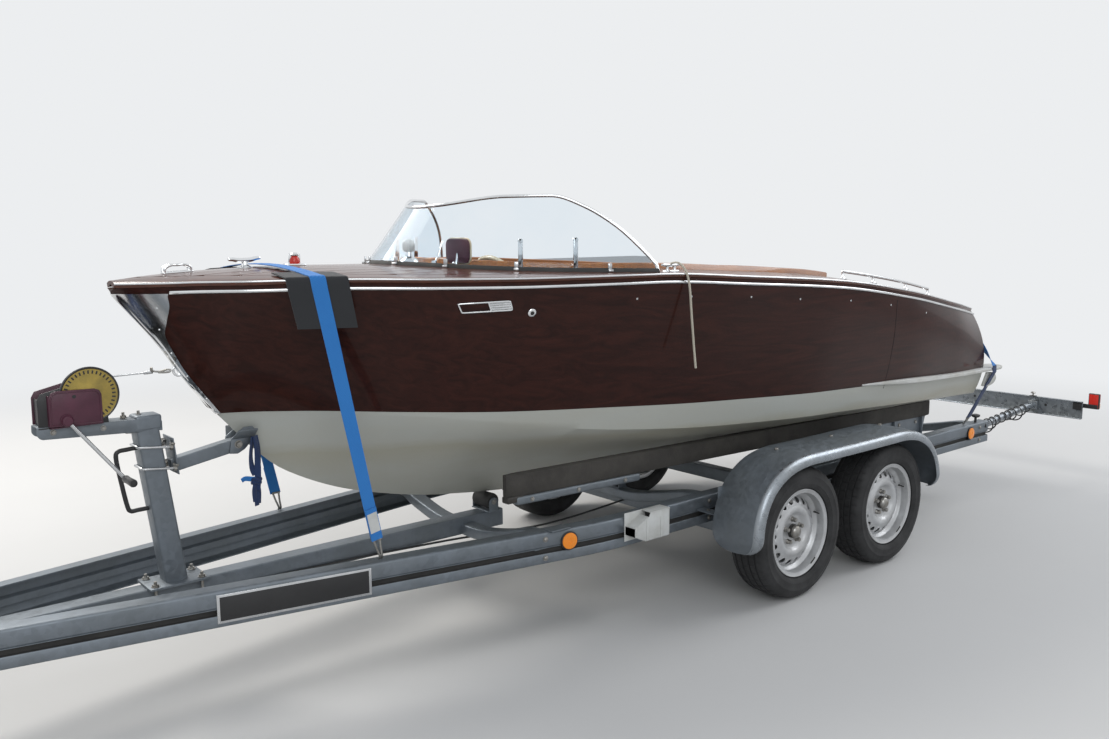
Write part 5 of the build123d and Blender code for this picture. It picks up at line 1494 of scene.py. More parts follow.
def makeFrame():
    build = Build(galvanised, blackPlastic, steelBolt, rubber)
    low = memberMake["low"]
    hollowBeam(build, (0.42, 0, low + 0.04), (3.14, 0, low + 0.04), 0.04, 0.04)
    for x in frameMake["crossPlaces"]:
        reach = memberOuter(x) - 0.007
        centre = curved([(x, -reach, 0.451), (x, -reach * 0.8, 0.449), (x, -0.36, 0.415), (x, -0.17, 0.377),
                         (x, 0, 0.3735), (x, 0.17, 0.377), (x, 0.36, 0.415), (x, reach * 0.8, 0.449),
                         (x, reach, 0.451)], 5)
        section = roundedSection(0.035, 0.025, 0.008, 4)
        build.rings([[p + Vector((dx, 0, dz)) for dx, dz in section] for p in centre])
    for y in (-1, 1):
        for x in frameMake["crossPlaces"]:
            reach = memberOuter(x) - 0.007
            build.block((x - 0.048, y * reach - 0.03, 0.41), (x + 0.048, y * reach, 0.416), 0.002)
    # brake and light cables under the beam
    cable = curved([(3.0, 0.044, 0.385), (2.2, 0.052, 0.372), (1.4, 0.046, 0.366), (0.75, 0.06, 0.345),
                    (0.2, 0.1, 0.322), (-0.35, 0.06, 0.33)], 8)
    build.tube(cable, 0.005, 8, 1)
    build.done("frameBeams", whole, ("centre_beam", "cross_members"), sharp=40)
    axle = Build(galvanised, steelBolt, blackPlastic)
    for x, _ in wheelMake["places"]:
        hollowBeam(axle, (x + 0.16, -0.668, 0.3125), (x + 0.16, 0.668, 0.3125), 0.035, 0.035)
        for side in (1, -1):
            axle.block((x - 0.035, side * 0.684 - 0.016, 0.2775), (x + 0.195, side * 0.684 + 0.016, 0.3475),
                       0.014)
            axle.rod(0.017, -0.006, 0.19, (x, side * 0.7, 0.3125),
                      (0, side, 0), 24, 1)
            axle.rod(0.045, 0, 0.095, (x, side * 0.7, 0.3125), (0, side, 0), 32)
            axle.block((x + 0.1, side * 0.6 - 0.04, 0.344), (x + 0.22, side * 0.6 + 0.04, 0.3475), 0.002)
            for dx in (0.115, 0.205):
                bolt(axle, (x + dx, side * 0.6, 0.344), (0, 0, -1), 0.009, 1)
    axle.done("axleBeams", whole, ("axles",), sharp=40)


makeFrame()
print("frame rolled")

# bunks and their supports
bunkMake = {"y": 0.585, "half": 0.0225, "high": 0.092, "rear": -2.38, "front": 0.82, "slope": 0.021}


def hullUnder(x, y):
    row = Row(x)
    low, (chineY, chineZ) = row.keel, row.side(0.0)
    return low + (chineZ - low) * min(1, y / chineY)


def makeBunks():
    v = bunkMake
    start = hullUnder(v["rear"], v["y"]) + 0.006 - v["high"]
    rest = memberMake["high"]
    build = Build(bunkRubber, galvanised, hubIron, steelBolt)

    def low(x):
        return start + v["slope"] * (x - v["rear"])
    rings = []
    for x in steps(v["rear"], v["front"], 60):
        near = 0.012 * max(0, 1 - min(x - v["rear"], v["front"] - x) / 0.012)
        z0, ring = low(x), []
        for y, z in ((-1, 0.01), (-0.75, 0), (0.75, 0), (1, 0.01), (1, 0.5), (1, 0.96), (0.8, 1), (0, 1),
                     (-0.8, 1), (-1, 0.96), (-1, 0.5)):
            out = v["y"] + y * (v["half"] - near)
            top = min(z0 + v["high"], hullUnder(x, out) - 0.001)
            ring.append(Vector((x, out, z0 + z if z < 0.02 else z0 + (top - z0) * z)))
        rings.append(ring)
    build.rings(rings)
    build.block((v["front"] - 0.085, v["y"] - 0.021, low(0.8) - 0.024),
                (v["front"], v["y"] + 0.021, low(0.8) + 0.004), 0.007, 2)
    # channel and post under the front, plate under the rear
    turn = Matrix.Translation((0.43, v["y"], low(0.43) - 0.017)) @ Matrix.Rotation(-math.atan(v["slope"]), 4,
            "Y")
    build.block((-0.345, -0.026, -0.017), (0.345, 0.026, 0.0165), 0.009, 1, turn, 3)
    for x in (-0.25, 0.02, 0.27):
        bolt(build, turn @ Vector((x, 0.026, 0)), (0, 1, 0), 0.008, 3)
    top = low(0.55) - 0.03
    hollowBeam(build, (0.55, v["y"], rest), (0.55, v["y"], top), 0.026, 0.026, 1)
    build.block((0.5, v["y"] - 0.03, 0.48), (0.6, v["y"] + 0.03, 0.486), 0.002, 1)
    plate = [(-2.31, v["y"] - 0.003, rest), (-1.99, v["y"] - 0.003, rest),
             (-1.86, v["y"] - 0.003, low(-1.86)), (-2.35, v["y"] - 0.003, low(-2.35))]
    build.prism(plate, (0, 0.006, 0), 0.001, 1)
    for x in (-2.29, -1.99):
        build.block((x - 0.004, v["y"], rest), (x + 0.004, v["y"] + 0.02, low(x) - 0.002), 0.001, 1)
    build.block((-2.31, v["y"], rest), (-1.99, v["y"] + 0.02, 0.4875), 0.001, 1)
    for x in (-2.24, -2.06):
        bolt(build, (x, v["y"] + 0.003, low(x) - 0.03), (0, 1, 0), 0.009, 3)
    build.done("bunks", whole, ("bunks", "bunk_supports"), sharp=45, mirror=True)
    # keel rollers on their brackets
    roller = Build(rubber, galvanised, steelBolt)
    for x in (0.49, -0.33):
        z = Row(x).keel - 0.0374
        foot = frameMake["beamTop"] if x > 0.42 else memberMake["low"] + 0.05
        roller.turn([(0.0085, -0.06), (0.031, -0.06), (0.0355, -0.054), (0.037, -0.046), (0.0362, -0.02),
                     (0.0355, 0), (0.0362, 0.02), (0.037, 0.046), (0.0355, 0.054), (0.031, 0.06),
                     (0.0085, 0.06)], (x, 0, z),
                    (0, 1, 0), 44)
        roller.block((x - 0.03, -0.068, foot), (x + 0.03, 0.068, foot + 0.006), 0.002, 1)
        for side in (1, -1):
            outline = [(x - 0.025, side * 0.0612, foot), (x + 0.025, side * 0.0612, foot)]
            outline += [(x + 0.025 * math.cos(a), side * 0.0612, z - 0.002 + 0.02 * math.sin(a))
                        for a in steps(0, math.pi, 12)]
            roller.prism(outline, (0, side * 0.006, 0), 0.0008, 1)
            bolt(roller, (x, side * 0.0672, z), (0, side, 0), 0.0105, 2, 0.008)
        roller.rod(0.008, -0.07, 0.07, (x, 0, z), (0, 1, 0), 16, 2)
    roller.done("keelRollers", whole, ("keel_rollers", "roller_brackets"), sharp=45)


makeBunks()

# winch post, bow stop and winch; lengthwise places in the boat's frame
winchMake = {"footX": 1.925, "topX": 1.995, "topZ": 1.012, "half": 0.04, "armX": 2.355,
             "pitch": math.radians(2.2), "armHigh": 0.044, "drumX": 2.186, "drumZ": 1.165, "discY": 0.049,
             "crankX": 2.266, "crankZ": 1.087, "crankLong": 0.284, "crankAngle": math.radians(233)}


def armTop(x):
    v = winchMake
    return v["topZ"] + v["armHigh"] + (x - v["topX"]) * math.tan(v["pitch"])


def uBolt(build, centre, along, across, out, look, thick=0.005):
    # bent rod with a nut on each leg: runs out from the centre, legs apart across
    legs = []
    for side in (1, -1):
        legs.append([centre + across * side + along * t for t in (0.0, 0.35, 0.7, 0.92)])
    path = curved(legs[0][:3] + [legs[0][3] - across * 0.12, centre + along + across * 0.6]
                  + [centre + along - across * 0.6, legs[1][3] + across * 0.12] + legs[1][2::-1], 4)
    build.tube(path, thick, 10, look)
    for side in (1, -1):
        place = centre + across * side
        build.rod(thick * 2.6, 0, 0.002, place + out * 0.0005, out, 18, look)
        build.rod(thick * 2.0, 0.001, 0.009, place, out, 6, look)
        build.rod(thick, 0.008, 0.02, place, out, 12, look)


def makeWinchPost():
    v = winchMake
    build = Build(galvanised, steelBolt, blackPlastic, dullChrome)
    foot, low = Vector((v["footX"], 0, 0.4375)), Vector((v["topX"], 0, v["topZ"]))
    lean = (low - foot).normalized()
    hollowBeam(build, foot - lean * 0.002, low + lean * 0.002, v["half"], v["half"], 0, 0.004, 0.01)
    build.block((v["footX"] - 0.11, -0.075, 0.4275), (v["footX"] + 0.11, 0.075, 0.4375), 0.003)
    # arm with its rounded front end, seen from the side
    x0, x1, h = v["topX"] - 0.05, v["armX"], v["armHigh"]
    outline = [(x0, armTop(x0) - h - 0.003), (x0, armTop(x0) - 0.014), (x0 + 0.004, armTop(x0) - 0.004),
               (x0 + 0.014, armTop(x0))]
    outline += [(x1 - 0.004, armTop(x1) - 0.0005), (x1 - 0.001, armTop(x1) - 0.004)]
    outline += [(x1 - 0.022 + 0.022 * math.cos(a), armTop(x1) - h + 0.022 + 0.022 * math.sin(a))
                for a in steps(0, -math.pi / 2, 8)]
    for side in (1, -1):
        build.prism([(x, side * 0.0395, z) for x, z in outline], (0, -side * 0.005, 0), 0.0012)
    turn = Matrix.Translation(((x0 + x1) / 2, 0,
                               armTop((x0 + x1) / 2) - 0.0028)) @ Matrix.Rotation(-v["pitch"], 4, "Y")
    build.block((-(x1 - x0) / 2 + 0.006, -0.039, -0.0026), ((x1 - x0) / 2 - 0.002, 0.039, 0.0026), 0.002, 0,
                turn)
    cap = Matrix.Translation((v["topX"] - 0.004, 0, v["topZ"] + 0.03)) @ Matrix.Rotation(-v["pitch"] + 0.02,
            4, "Y")
    build.block((-0.046, -0.0415, -0.03), (0.046, 0.0415, 0.0255), 0.01, 0, cap, 4)
    for x, z in ((v["topX"] + 0.15, -0.02), (v["topX"] + 0.31, -0.02)):
        bolt(build, (x, 0.0397, armTop(x) + z), (0, 1, 0), 0.008, 1)
    # black handle and the rods that clamp the bow stop
    handle = [(2.0 - 0.018, 0, 0.951), (2.0 + 0.06, 0, 0.946), (2.0 + 0.092, 0, 0.942), (2.0 + 0.1, 0, 0.918),
              (2.0 + 0.088, 0, 0.83), (2.0 + 0.073, 0, 0.742), (2.0 + 0.062, 0, 0.72),
              (2.0 + 0.035, 0, 0.7195), (2.0 - 0.048, 0, 0.721)]
    build.tube(curved(handle, 6), 0.008, 14, 2)
    for z in (0.95, 0.87):
        x = v["footX"] + (z - 0.4375) / (v["topZ"] - 0.4375) * (v["topX"] - v["footX"])
        for side in (1, -1):
            rod = [Vector((x - 0.072, side * 0.044, z - 0.008)), Vector((x, side * 0.044, z)),
                   Vector((x + 0.041, side * 0.044, z + 0.004))]
            rod += [Vector((x + 0.047, side * 0.038, z + 0.005)), Vector((x + 0.047, 0, z + 0.005))]
            build.tube(rod, 0.005, 10, 3)
            build.rod(0.011, 0, 0.01, (x - 0.062, side * 0.044, z - 0.007), (-1, 0, -0.1), 6, 1)
            for wing in (1, -1):
                build.block((-0.02, -0.003, 0.0), (-0.006, 0.003, 0.02), 0.0025, 1,
                            Matrix.Translation((x - 0.058, side * 0.044,
                                                z - 0.007)) @ Matrix.Rotation(wing * 0.7, 4, "X"))
    face = [(1.902, -0.052, 0.838), (1.902, 0.052, 0.838), (1.9165, 0.052, 0.975), (1.9165, -0.052, 0.975)]
    build.prism(face, (-0.0045, 0, 0.0006), 0.0012)
    # clamps on the beam
    for x in (v["footX"] - 0.085, v["footX"] + 0.085):
        uBolt(build, Vector((x, 0, 0.4375)), Vector((0, 0, -0.096)), Vector((0, 0.054, 0)), Vector((0, 0, 1)),
              1, 0.0058)
    uBolt(build, Vector((v["topX"] + 0.045, 0, armTop(v["topX"] + 0.045) + 0.004)), Vector((0, 0, -0.054)),
          Vector((0.026, 0, 0)), Vector((0, 0, 1)), 1)
    build.done("winchPost", whole, ("winch_post",), sharp=42)
    # bow stop: square tube, tilting head and the plates round the stem
    stop = Build(galvanised, steelBolt, rubber)
    a, b = Vector((1.912, 0, 0.866)), Vector((1.672, 0, 0.9085))
    hollowBeam(stop, a, b, 0.0245, 0.0245, 0, 0.004, 0.005)
    for side in (1, -1):
        head = [(1.7, 0.88), (1.69, 0.938), (1.662, 0.958), (1.64, 0.975), (1.6035, 0.976), (1.592, 0.95),
                (1.61, 0.92), (1.64, 0.89), (1.668, 0.876)]
        stop.prism([(x, side * 0.0255, z) for x, z in head], (0, side * 0.005, 0), 0.001)
        bolt(stop, (1.664, side * 0.0305, 0.912), (0, side, 0), 0.0125, 1, 0.011)
        wing = [(1.598, 0.027, 0.93), (1.69, 0.027, 0.93), (1.674, 0.066, 0.968), (1.6, 0.069, 0.968)]
        stop.prism([(x, side * y, z) for x, y, z in wing], (0, -side * 0.003, 0.0045), 0.001)
    stop.done("bowStop", whole, ("bow_stop",), sharp=42)


makeWinchPost()


def makeWinch():
    v = winchMake
    drum, crank = Vector((v["drumX"], 0, v["drumZ"])), Vector((v["crankX"], 0, v["crankZ"]))
    case = Build(winchPaint, blackPlastic, steelBolt)
    # port cover with pressed edge
    x0, x1, z1 = v["drumX"] - 0.036, v["drumX"] + 0.131, v["drumZ"] + 0.022
    outline = [(x0, armTop(x0) + 0.001), (x0, z1 - 0.022), (x0 + 0.006, z1 - 0.007), (x0 + 0.022, z1),
               (x1 - 0.022, z1 + 0.003), (x1 - 0.006, z1 - 0.004), (x1, z1 - 0.02),
               (x1 + 0.002, armTop(x1) + 0.001)]
    case.prism([(x, 0.061, z) for x, z in outline], (0, 0.003, 0), 0.001)
    middle = Vector(((x0 + x1) / 2, 0, (armTop(x0) + z1) / 2))
    inner = [(middle.x + (x - middle.x) * 0.93, middle.z + (z - middle.z) * 0.9) for x, z in outline]
    case.tube([(x, 0.0638, z) for x, z in inner], 0.0026, 8, 0, loop=True)
    # a small black disc on the cover stands for a hole, painted shade in place of the opening
    case.rod(0.0062, 0, 0.0012, (v["drumX"] + 0.052, 0.0636, v["drumZ"] + 0.001), (0, 1, 0), 20, 1)
    # cheeks and floor
    rear, front = v["drumX"] - 0.06, v["drumX"] + 0.163
    cheek = [(rear, armTop(rear)), (front, armTop(front)), (front - 0.001, v["drumZ"] - 0.004),
             (front - 0.012, v["drumZ"] + 0.016), (v["drumX"] + 0.042, v["drumZ"] + 0.042),
             (v["drumX"] - 0.02, v["drumZ"] + 0.042), (rear + 0.012, v["drumZ"] + 0.02),
             (rear + 0.004, v["drumZ"] - 0.01)]
    for side in (1, -1):
        case.prism([(x, side * 0.0375, z) for x, z in cheek], (0, side * 0.004, 0), 0.0012,
                   1 if side > 0 else 0)
    case.block((x0 + 0.004, 0.0415, armTop(x0) + 0.0005), (x1, 0.0615, armTop(x0) + 0.0035), 0.001, 0)
    case.block((x1 - 0.002, -0.04, armTop(x1) + 0.001), (x1 + 0.002, 0.062, z1 - 0.012), 0.0012, 0)
    case.block((rear, -0.041, armTop(rear)), (front, 0.041, armTop(rear) + 0.005), 0.0015, 1)
    case.block((front - 0.012, -0.041, armTop(front)), (front - 0.007, 0.041, v["drumZ"] - 0.006), 0.0015, 1)
    for x in (rear + 0.03, front - 0.03):
        for y in (-0.024, 0.024):
            bolt(case, (x, y, armTop(x) + 0.005), (0, 0, 1), 0.0075, 2)
    case.done("winchCase", whole, ("winch_frame",), sharp=40)
    # drum with its slotted disc and the wound rope
    spool = Build(yellowZinc, blackPlastic, brightZinc, shadedStrapBlue)
    spool.turn([(0, -0.049), (0.009, -0.049), (0.009, -0.031), (0.06, -0.031), (0.062, -0.029),
                (0.06, -0.027), (0.042, -0.027), (0.042, 0.027), (0.06, 0.027), (0.062, 0.029), (0.06, 0.031),
                (0.009, 0.031), (0.009, 0.0495), (0.094, 0.0495), (0.097, 0.051), (0.097, 0.0575),
                (0.094, 0.059), (0.0905, 0.058), (0.089, 0.056), (0.03, 0.056), (0.02, 0.0585), (0, 0.059)],
               drum, (0, 1, 0), 72, looks=[2] * 13 + [1] * 4 + [0] * 5)
    # the disc's slots are black patches on its face, painted shade in place of openings
    for a in around(36):
        turn = Matrix.Translation(drum) @ Matrix.Rotation(-a, 4, "Y")
        spool.block((0.0725, 0.0548, -0.003), (0.085, 0.0565, 0.003), 0.001, 1, turn, 1)
    # the wound rope takes the darker copy of the strap blue, painted shade between the drum's flanges
    coil, turns = [], 6
    for k in range(turns * 28 + 1):
        a = 2 * math.pi * k / 28
        y = -0.0225 + 0.045 * k / (turns * 28)
        coil.append(drum + Vector((0.0462 * math.sin(a), y, 0.0462 * math.cos(a))))
    spool.tube(coil, 0.004, 8, 3)
    spool.done("winchDrum", "winch_drum", ("winch_drum",), sharp=40)
    # crank
    arm = Build(dullChrome, winchPaint, blackPlastic, steelBolt)
    y = v["discY"] + 0.026
    a = v["crankAngle"]
    end = crank + Vector((v["crankLong"] * math.cos(a), 0, v["crankLong"] * math.sin(a)))
    arm.turn([(0, -0.049), (0.008, -0.049), (0.008, 0.05), (0.008, y + 0.008), (0, y + 0.008)], crank,
             (0, 1, 0), 24, 3)
    arm.turn([(0, 0.0646), (0.0205, 0.0646), (0.0205, 0.07), (0.0175, 0.0735), (0.017, 0.083),
              (0.0145, 0.0855), (0, 0.086)],
             crank, (0, 1, 0), 36, 1)
    path = [crank + Vector((0, y, 0)), crank.lerp(end, 0.5) + Vector((0, y, 0)),
            crank.lerp(end, 0.93) + Vector((0, y, 0)), end + Vector((0, y + 0.006, 0)),
            end + Vector((0, y + 0.03, 0))]
    arm.tube(curved(path, 6), 0.0066, 14)
    arm.turn([(0, y + 0.004), (0.0125, y + 0.004), (0.0138, y + 0.01), (0.0125, y + 0.03), (0.0132, y + 0.07),
              (0.014, y + 0.088), (0.012, y + 0.096), (0, y + 0.098)], end, (0, 1, 0), 28, 2)
    arm.done("winchCrank", "winch_crank", ("winch_crank",), sharp=40)
    # rope to the bow eye with its snap hook
    pull = Build(dullChrome, steelBolt)
    start = Vector((v["drumX"], 0, v["drumZ"] + 0.047))
    x = bowEyeX + 0.012 + 0.02 + 0.0055
    hook = Vector((x, 0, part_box("winch_cable")[0][2] + 0.008))
    pull.tube([start, start.lerp(hook, 0.45), start.lerp(hook, 0.74)], 0.0032, 10)
    pull.turn([(0, 0), (0.0062, 0), (0.0066, 0.01), (0.0062, 0.03), (0, 0.03)], start.lerp(hook, 0.7),
              hook - start, 16)
    body = [hook + Vector((0.06, 0, 0.004)), hook + Vector((0.046, 0, 0.0)),
            hook + Vector((0.026, 0, -0.001)), hook + Vector((0.006, 0, 0.003)),
            hook + Vector((-0.006, 0.002, 0.002)), hook + Vector((-0.004, 0.003, -0.005)),
            hook + Vector((0.014, 0.003, -0.006)), hook + Vector((0.036, 0.002, -0.004))]
    pull.tube(curved(body, 5), 0.0036, 10, 1)
    pull.tube([hook + Vector((0.0585, 0.009 * math.cos(b), 0.006 + 0.009 * math.sin(b)))
               for b in steps(0, 5.5, 14)], 0.003, 8, 1, loop=True)
    pull.done("winchRope", whole, ("winch_cable",), sharp=45)


makeWinch()
print("winch assembled")

# lights and small pieces at the stern
boardMake = {"x": -3.725, "half": 0.94, "low": 0.441, "high": 0.559, "tubeY": 0.622,
             "tubeStart": (-2.946, 0.4445), "tubeEnd": (-3.6997, 0.5)}


def makeBoard():
    v = boardMake
    build = Build(brightZinc, blackPlastic, redLens, steelBolt, amberLens)
    # folded channel: flange above, face, flange below, and a small lip
    shape = [(0.0005, v["high"]), (0.0245, v["high"]), (0.025, v["high"] - 0.001), (0.025, v["high"] - 0.003),
             (0.0035, v["high"] - 0.003), (0.003, v["high"] - 0.004), (0.003, v["low"] + 0.004),
             (0.0035, v["low"] + 0.003), (0.025, v["low"] + 0.003), (0.025, v["low"]), (0.001, v["low"]),
             (0.0, v["low"] + 0.001), (0.0, v["high"] - 0.001)]
    build.rings([[Vector((v["x"] + x, y, z)) for x, z in shape] for y in steps(-v["half"], v["half"], 40)])
    for y in (0.2, 0.62, 0.7):
        for side in (1, -1):
            build.rod(0.009, 0.0028, 0.0036, (v["x"], side * y, 0.505), (1, 0, 0), 20, 1)
    for side in (1, -1):
        y0, y1 = side * (v["half"] - 0.062), side * 1.028
        low, high = min(y0, y1), max(y0, y1)
        build.block((v["x"] - 0.011, low, 0.5165), (v["x"] - 0.001, high, 0.545), 0.003, 1)
        build.block((v["x"] + 0.002, low, 0.5), (v["x"] + 0.01, low + 0.055 if side > 0 else high, 0.548),
                    0.002, 1)
        # lamp: housing with rounded corners, red face behind, red and amber fields
        y0, y1 = sorted((side * 0.966, side * 1.034))
        build.block((v["x"] - 0.03, y0, 0.515), (v["x"] - 0.0105, y1, 0.617), 0.005, 1, None, 3)
        build.block((v["x"] - 0.0445, y0 + 0.003, 0.555), (v["x"] - 0.028, y1 - 0.003, 0.6145), 0.006, 2,
                    None, 3)
        build.block((v["x"] - 0.044, y0 + 0.003, 0.5175), (v["x"] - 0.028, y1 - 0.003, 0.5535), 0.005, 4,
                    None, 3)
        build.block((v["x"] - 0.0115, y0 + 0.005, 0.52), (v["x"] - 0.0085, y1 - 0.005, 0.612), 0.004, 2, None,
                    2)
        # tube from the last cross-member, with its clamp on the board
        a = Vector((v["tubeStart"][0], side * v["tubeY"], v["tubeStart"][1]))
        b = Vector((v["tubeEnd"][0], side * v["tubeY"], v["tubeEnd"][1]))
        ahead = (b - a).normalized()
        build.turn([(0.0195, 0), (0.022, 0), (0.022, (b - a).length), (0.0195, (b - a).length)], a, ahead, 36)
        build.block((v["x"] + 0.004, side * v["tubeY"] - 0.03, 0.47),
                    (v["x"] + 0.03, side * v["tubeY"] + 0.03, 0.53), 0.004)
        build.block((v["x"] + 0.01, side * v["tubeY"] - 0.02, 0.5585),
                    (v["x"] + 0.04, side * v["tubeY"] + 0.02, 0.564), 0.002, 1)
        build.turn([(0, 0), (0.005, 0), (0.005, 0.014), (0.014, 0.016), (0.0155, 0.022), (0.01, 0.027),
                    (0, 0.028)],
                   (v["x"] + 0.026, side * v["tubeY"], 0.563), (0, 0, 1), 24, 3)
    # lamp cable wound round the port tube
    a = Vector((-2.98, v["tubeY"], 0.447))
    b = Vector((-3.6, v["tubeY"], 0.4927))
    right, up = Vector((0, 1, 0)), Vector((0.07, 0, 1)).normalized()
    random.seed(11)
    coil, loops = [], 9
    for k in range(loops * 14 + 1):
        t = k / (loops * 14)
        angle = 2 * math.pi * k / 14
        swell = 0.028 + 0.014 * max(0, math.sin(3.1 * t * math.pi + 0.6)) * (0.6 + 0.4 * math.sin(9.7 * t))
        centre = a.lerp(b, t + 0.012 * math.sin(5 * t * math.pi)) - Vector((0, 0, swell - 0.0275))
        coil.append(centre + right * swell * math.cos(angle) + up * swell * math.sin(angle))
    build.tube(curved(coil, 2), 0.0042, 8, 1)
    # clamping handle on the member
    build.turn([(0, 0), (0.008, 0), (0.008, 0.03), (0.02, 0.034), (0.027, 0.041), (0.026, 0.049),
                (0.014, 0.053), (0, 0.053)],
               (-2.905, 0.622, 0.4815), (0, 0, 1), 28, 1)
    build.done("lightBoard", whole, ("light_board",), sharp=42)


makeBoard()


def makeChockBox():
    # moulded holder for the wheel chock, its front corner cut slanting
    x0, x1, y0, y1, z0, z1 = 0.005, 0.225, 0.6505, 0.712, 0.3715, 0.4975
    build = Build(whitePlastic, blackPlastic)
    t = 0.003
    build.block((x0, y0, z0), (x1, y0 + t, z1), 0.001)
    front = [(x0, y1 - t, z0), (x0 + 0.148, y1 - t, z0), (x1 - 0.006, y1 - t, z0 + 0.03),
             (x1 - 0.006, y1 - t, z1 - 0.06), (x0 + 0.128, y1 - t, z1 - 0.022), (x0 + 0.118, y1 - t, z1),
             (x0, y1 - t, z1)]
    build.prism(front, (0, t, 0), 0.001)
    for a, b in zip(front[:4], front[1:5]):
        build.prism([(a[0], y0, a[2]), (b[0], y0, b[2]), (b[0], y1, b[2]), (a[0], y1, a[2])], (0, 0, 0.003),
                    0.0008)
    build.block((x0, y0, z0), (x0 + t, y1, z1), 0.001)
    for x in (x0 + 0.134, x0 + 0.046):
        build.block((x, y1 - 0.001, z0 + 0.002), (x + 0.012, y1 + 0.0035, z1 - 0.03), 0.002)
    build.block((x0 - 0.002, y0, z1 - 0.006), (x0 + 0.115, y1 + 0.0015, z1), 0.0022)
    build.block((x0 + 0.006, y0 + 0.006, z0 + 0.02), (x0 + 0.1, y1 - 0.008, z1 - 0.012), 0.004, 1)
    build.done("chockHolder", whole, ("chock_holder",), sharp=40)


makeChockBox()
print("lights and holder fitted")


# webbing
def webbing(build, path, across, width, thick, look=0):
    # flat band along the path; across gives its wide direction at each point
    rings = []
    for i, p in enumerate(path):
        ahead = (path[min(i + 1, len(path) - 1)] - path[max(i - 1, 0)]).normalized()
        wide = across[i] if isinstance(across, list) else across
        wide = (wide - ahead * wide.dot(ahead)).normalized()
        normal = ahead.cross(wide).normalized()
        w = width(i / (len(path) - 1)) if callable(width) else width
        ring = []
        for x, z in ((-0.5, -0.35), (-0.47, -0.5), (-0.2, -0.5), (0.2, -0.5), (0.47, -0.5), (0.5, -0.35),
                     (0.5, 0.35), (0.47, 0.5), (0.2, 0.5), (-0.2, 0.5), (-0.47, 0.5), (-0.5, 0.35)):
            ring.append(p + wide * x * w + normal * z * thick)
        rings.append(ring)
    build.rings(rings, look)


def hookRods(build, top, foot, width, look, radius=0.0034):
    # wire hook: two legs from the webbing's loop, bent over the steel below
    for side in (1, -1):
        legs = [top + width * side * 0.45, top.lerp(foot, 0.45) + width * side * 0.3,
                foot + width * side * 0.16 + Vector((0, 0, 0.01)),
                foot + width * side * 0.16 + Vector((0, -0.006, -0.001))]
        build.tube(curved(legs, 4), radius, 8, look)
    build.tube([top + width * 0.62, top - width * 0.62], radius, 8, look)


strapMake = {"width": 0.048, "thick": 0.0028, "deckX": 1.52, "footX": 1.3, "footY": 0.44, "sleeve": 0.19,
             "sleeveEnd": 1.372}


def overEdge(u, side, lift, inner, low):
    # line over the deck, round its edge and down, at a place u along the boat
    v = strapMake
    x = v["deckX"] + u
    row = Row(x)
    edge, sheer = row.side(1.0)[0] + 0.009 + lift, row.sheerZ
    line = []
    for y in ([y for y in (0.0, 0.12, 0.24, edge - 0.115) if y >= inner] if inner < 0.3 else []) + [edge - d
            for d in (0.11, 0.07, 0.03, 0.01)]:
        line.append(Vector((x, side * y, deckTop(x, min(y, row.sheerY)) + 0.003 + lift)))
    line.append(Vector((x - 0.001, side * (edge - 0.001), sheer + 0.001 + lift * 0.4)))
    line.append(Vector((x - 0.003, side * (edge + 0.002), sheer - 0.012)))
    foot = Vector((v["footX"] + u, side * v["footY"], 0.486))
    top = Vector((x - 0.006, side * (edge + 0.002), sheer - 0.03))
    line = curved(line + [top], 3)
    count = max(6, int((top.z - low) * 34))
    for t in steps(0, (top.z - low) / (top.z - foot.z), count)[1:]:
        line.append(top.lerp(foot, t))
    return line


def band(build, us, side, lift, thick, inner, low, look):
    # closed strip of cloth between the lines at the places us
    under = [overEdge(u, side, lift, inner, low) for u in us]
    over = [overEdge(u, side, lift + thick, inner, low) for u in us]
    rings = []
    for i in range(min(len(line) for line in under + over)):
        rings.append([line[i] for line in under] + [line[i] for line in reversed(over)])
    build.rings(rings, look)


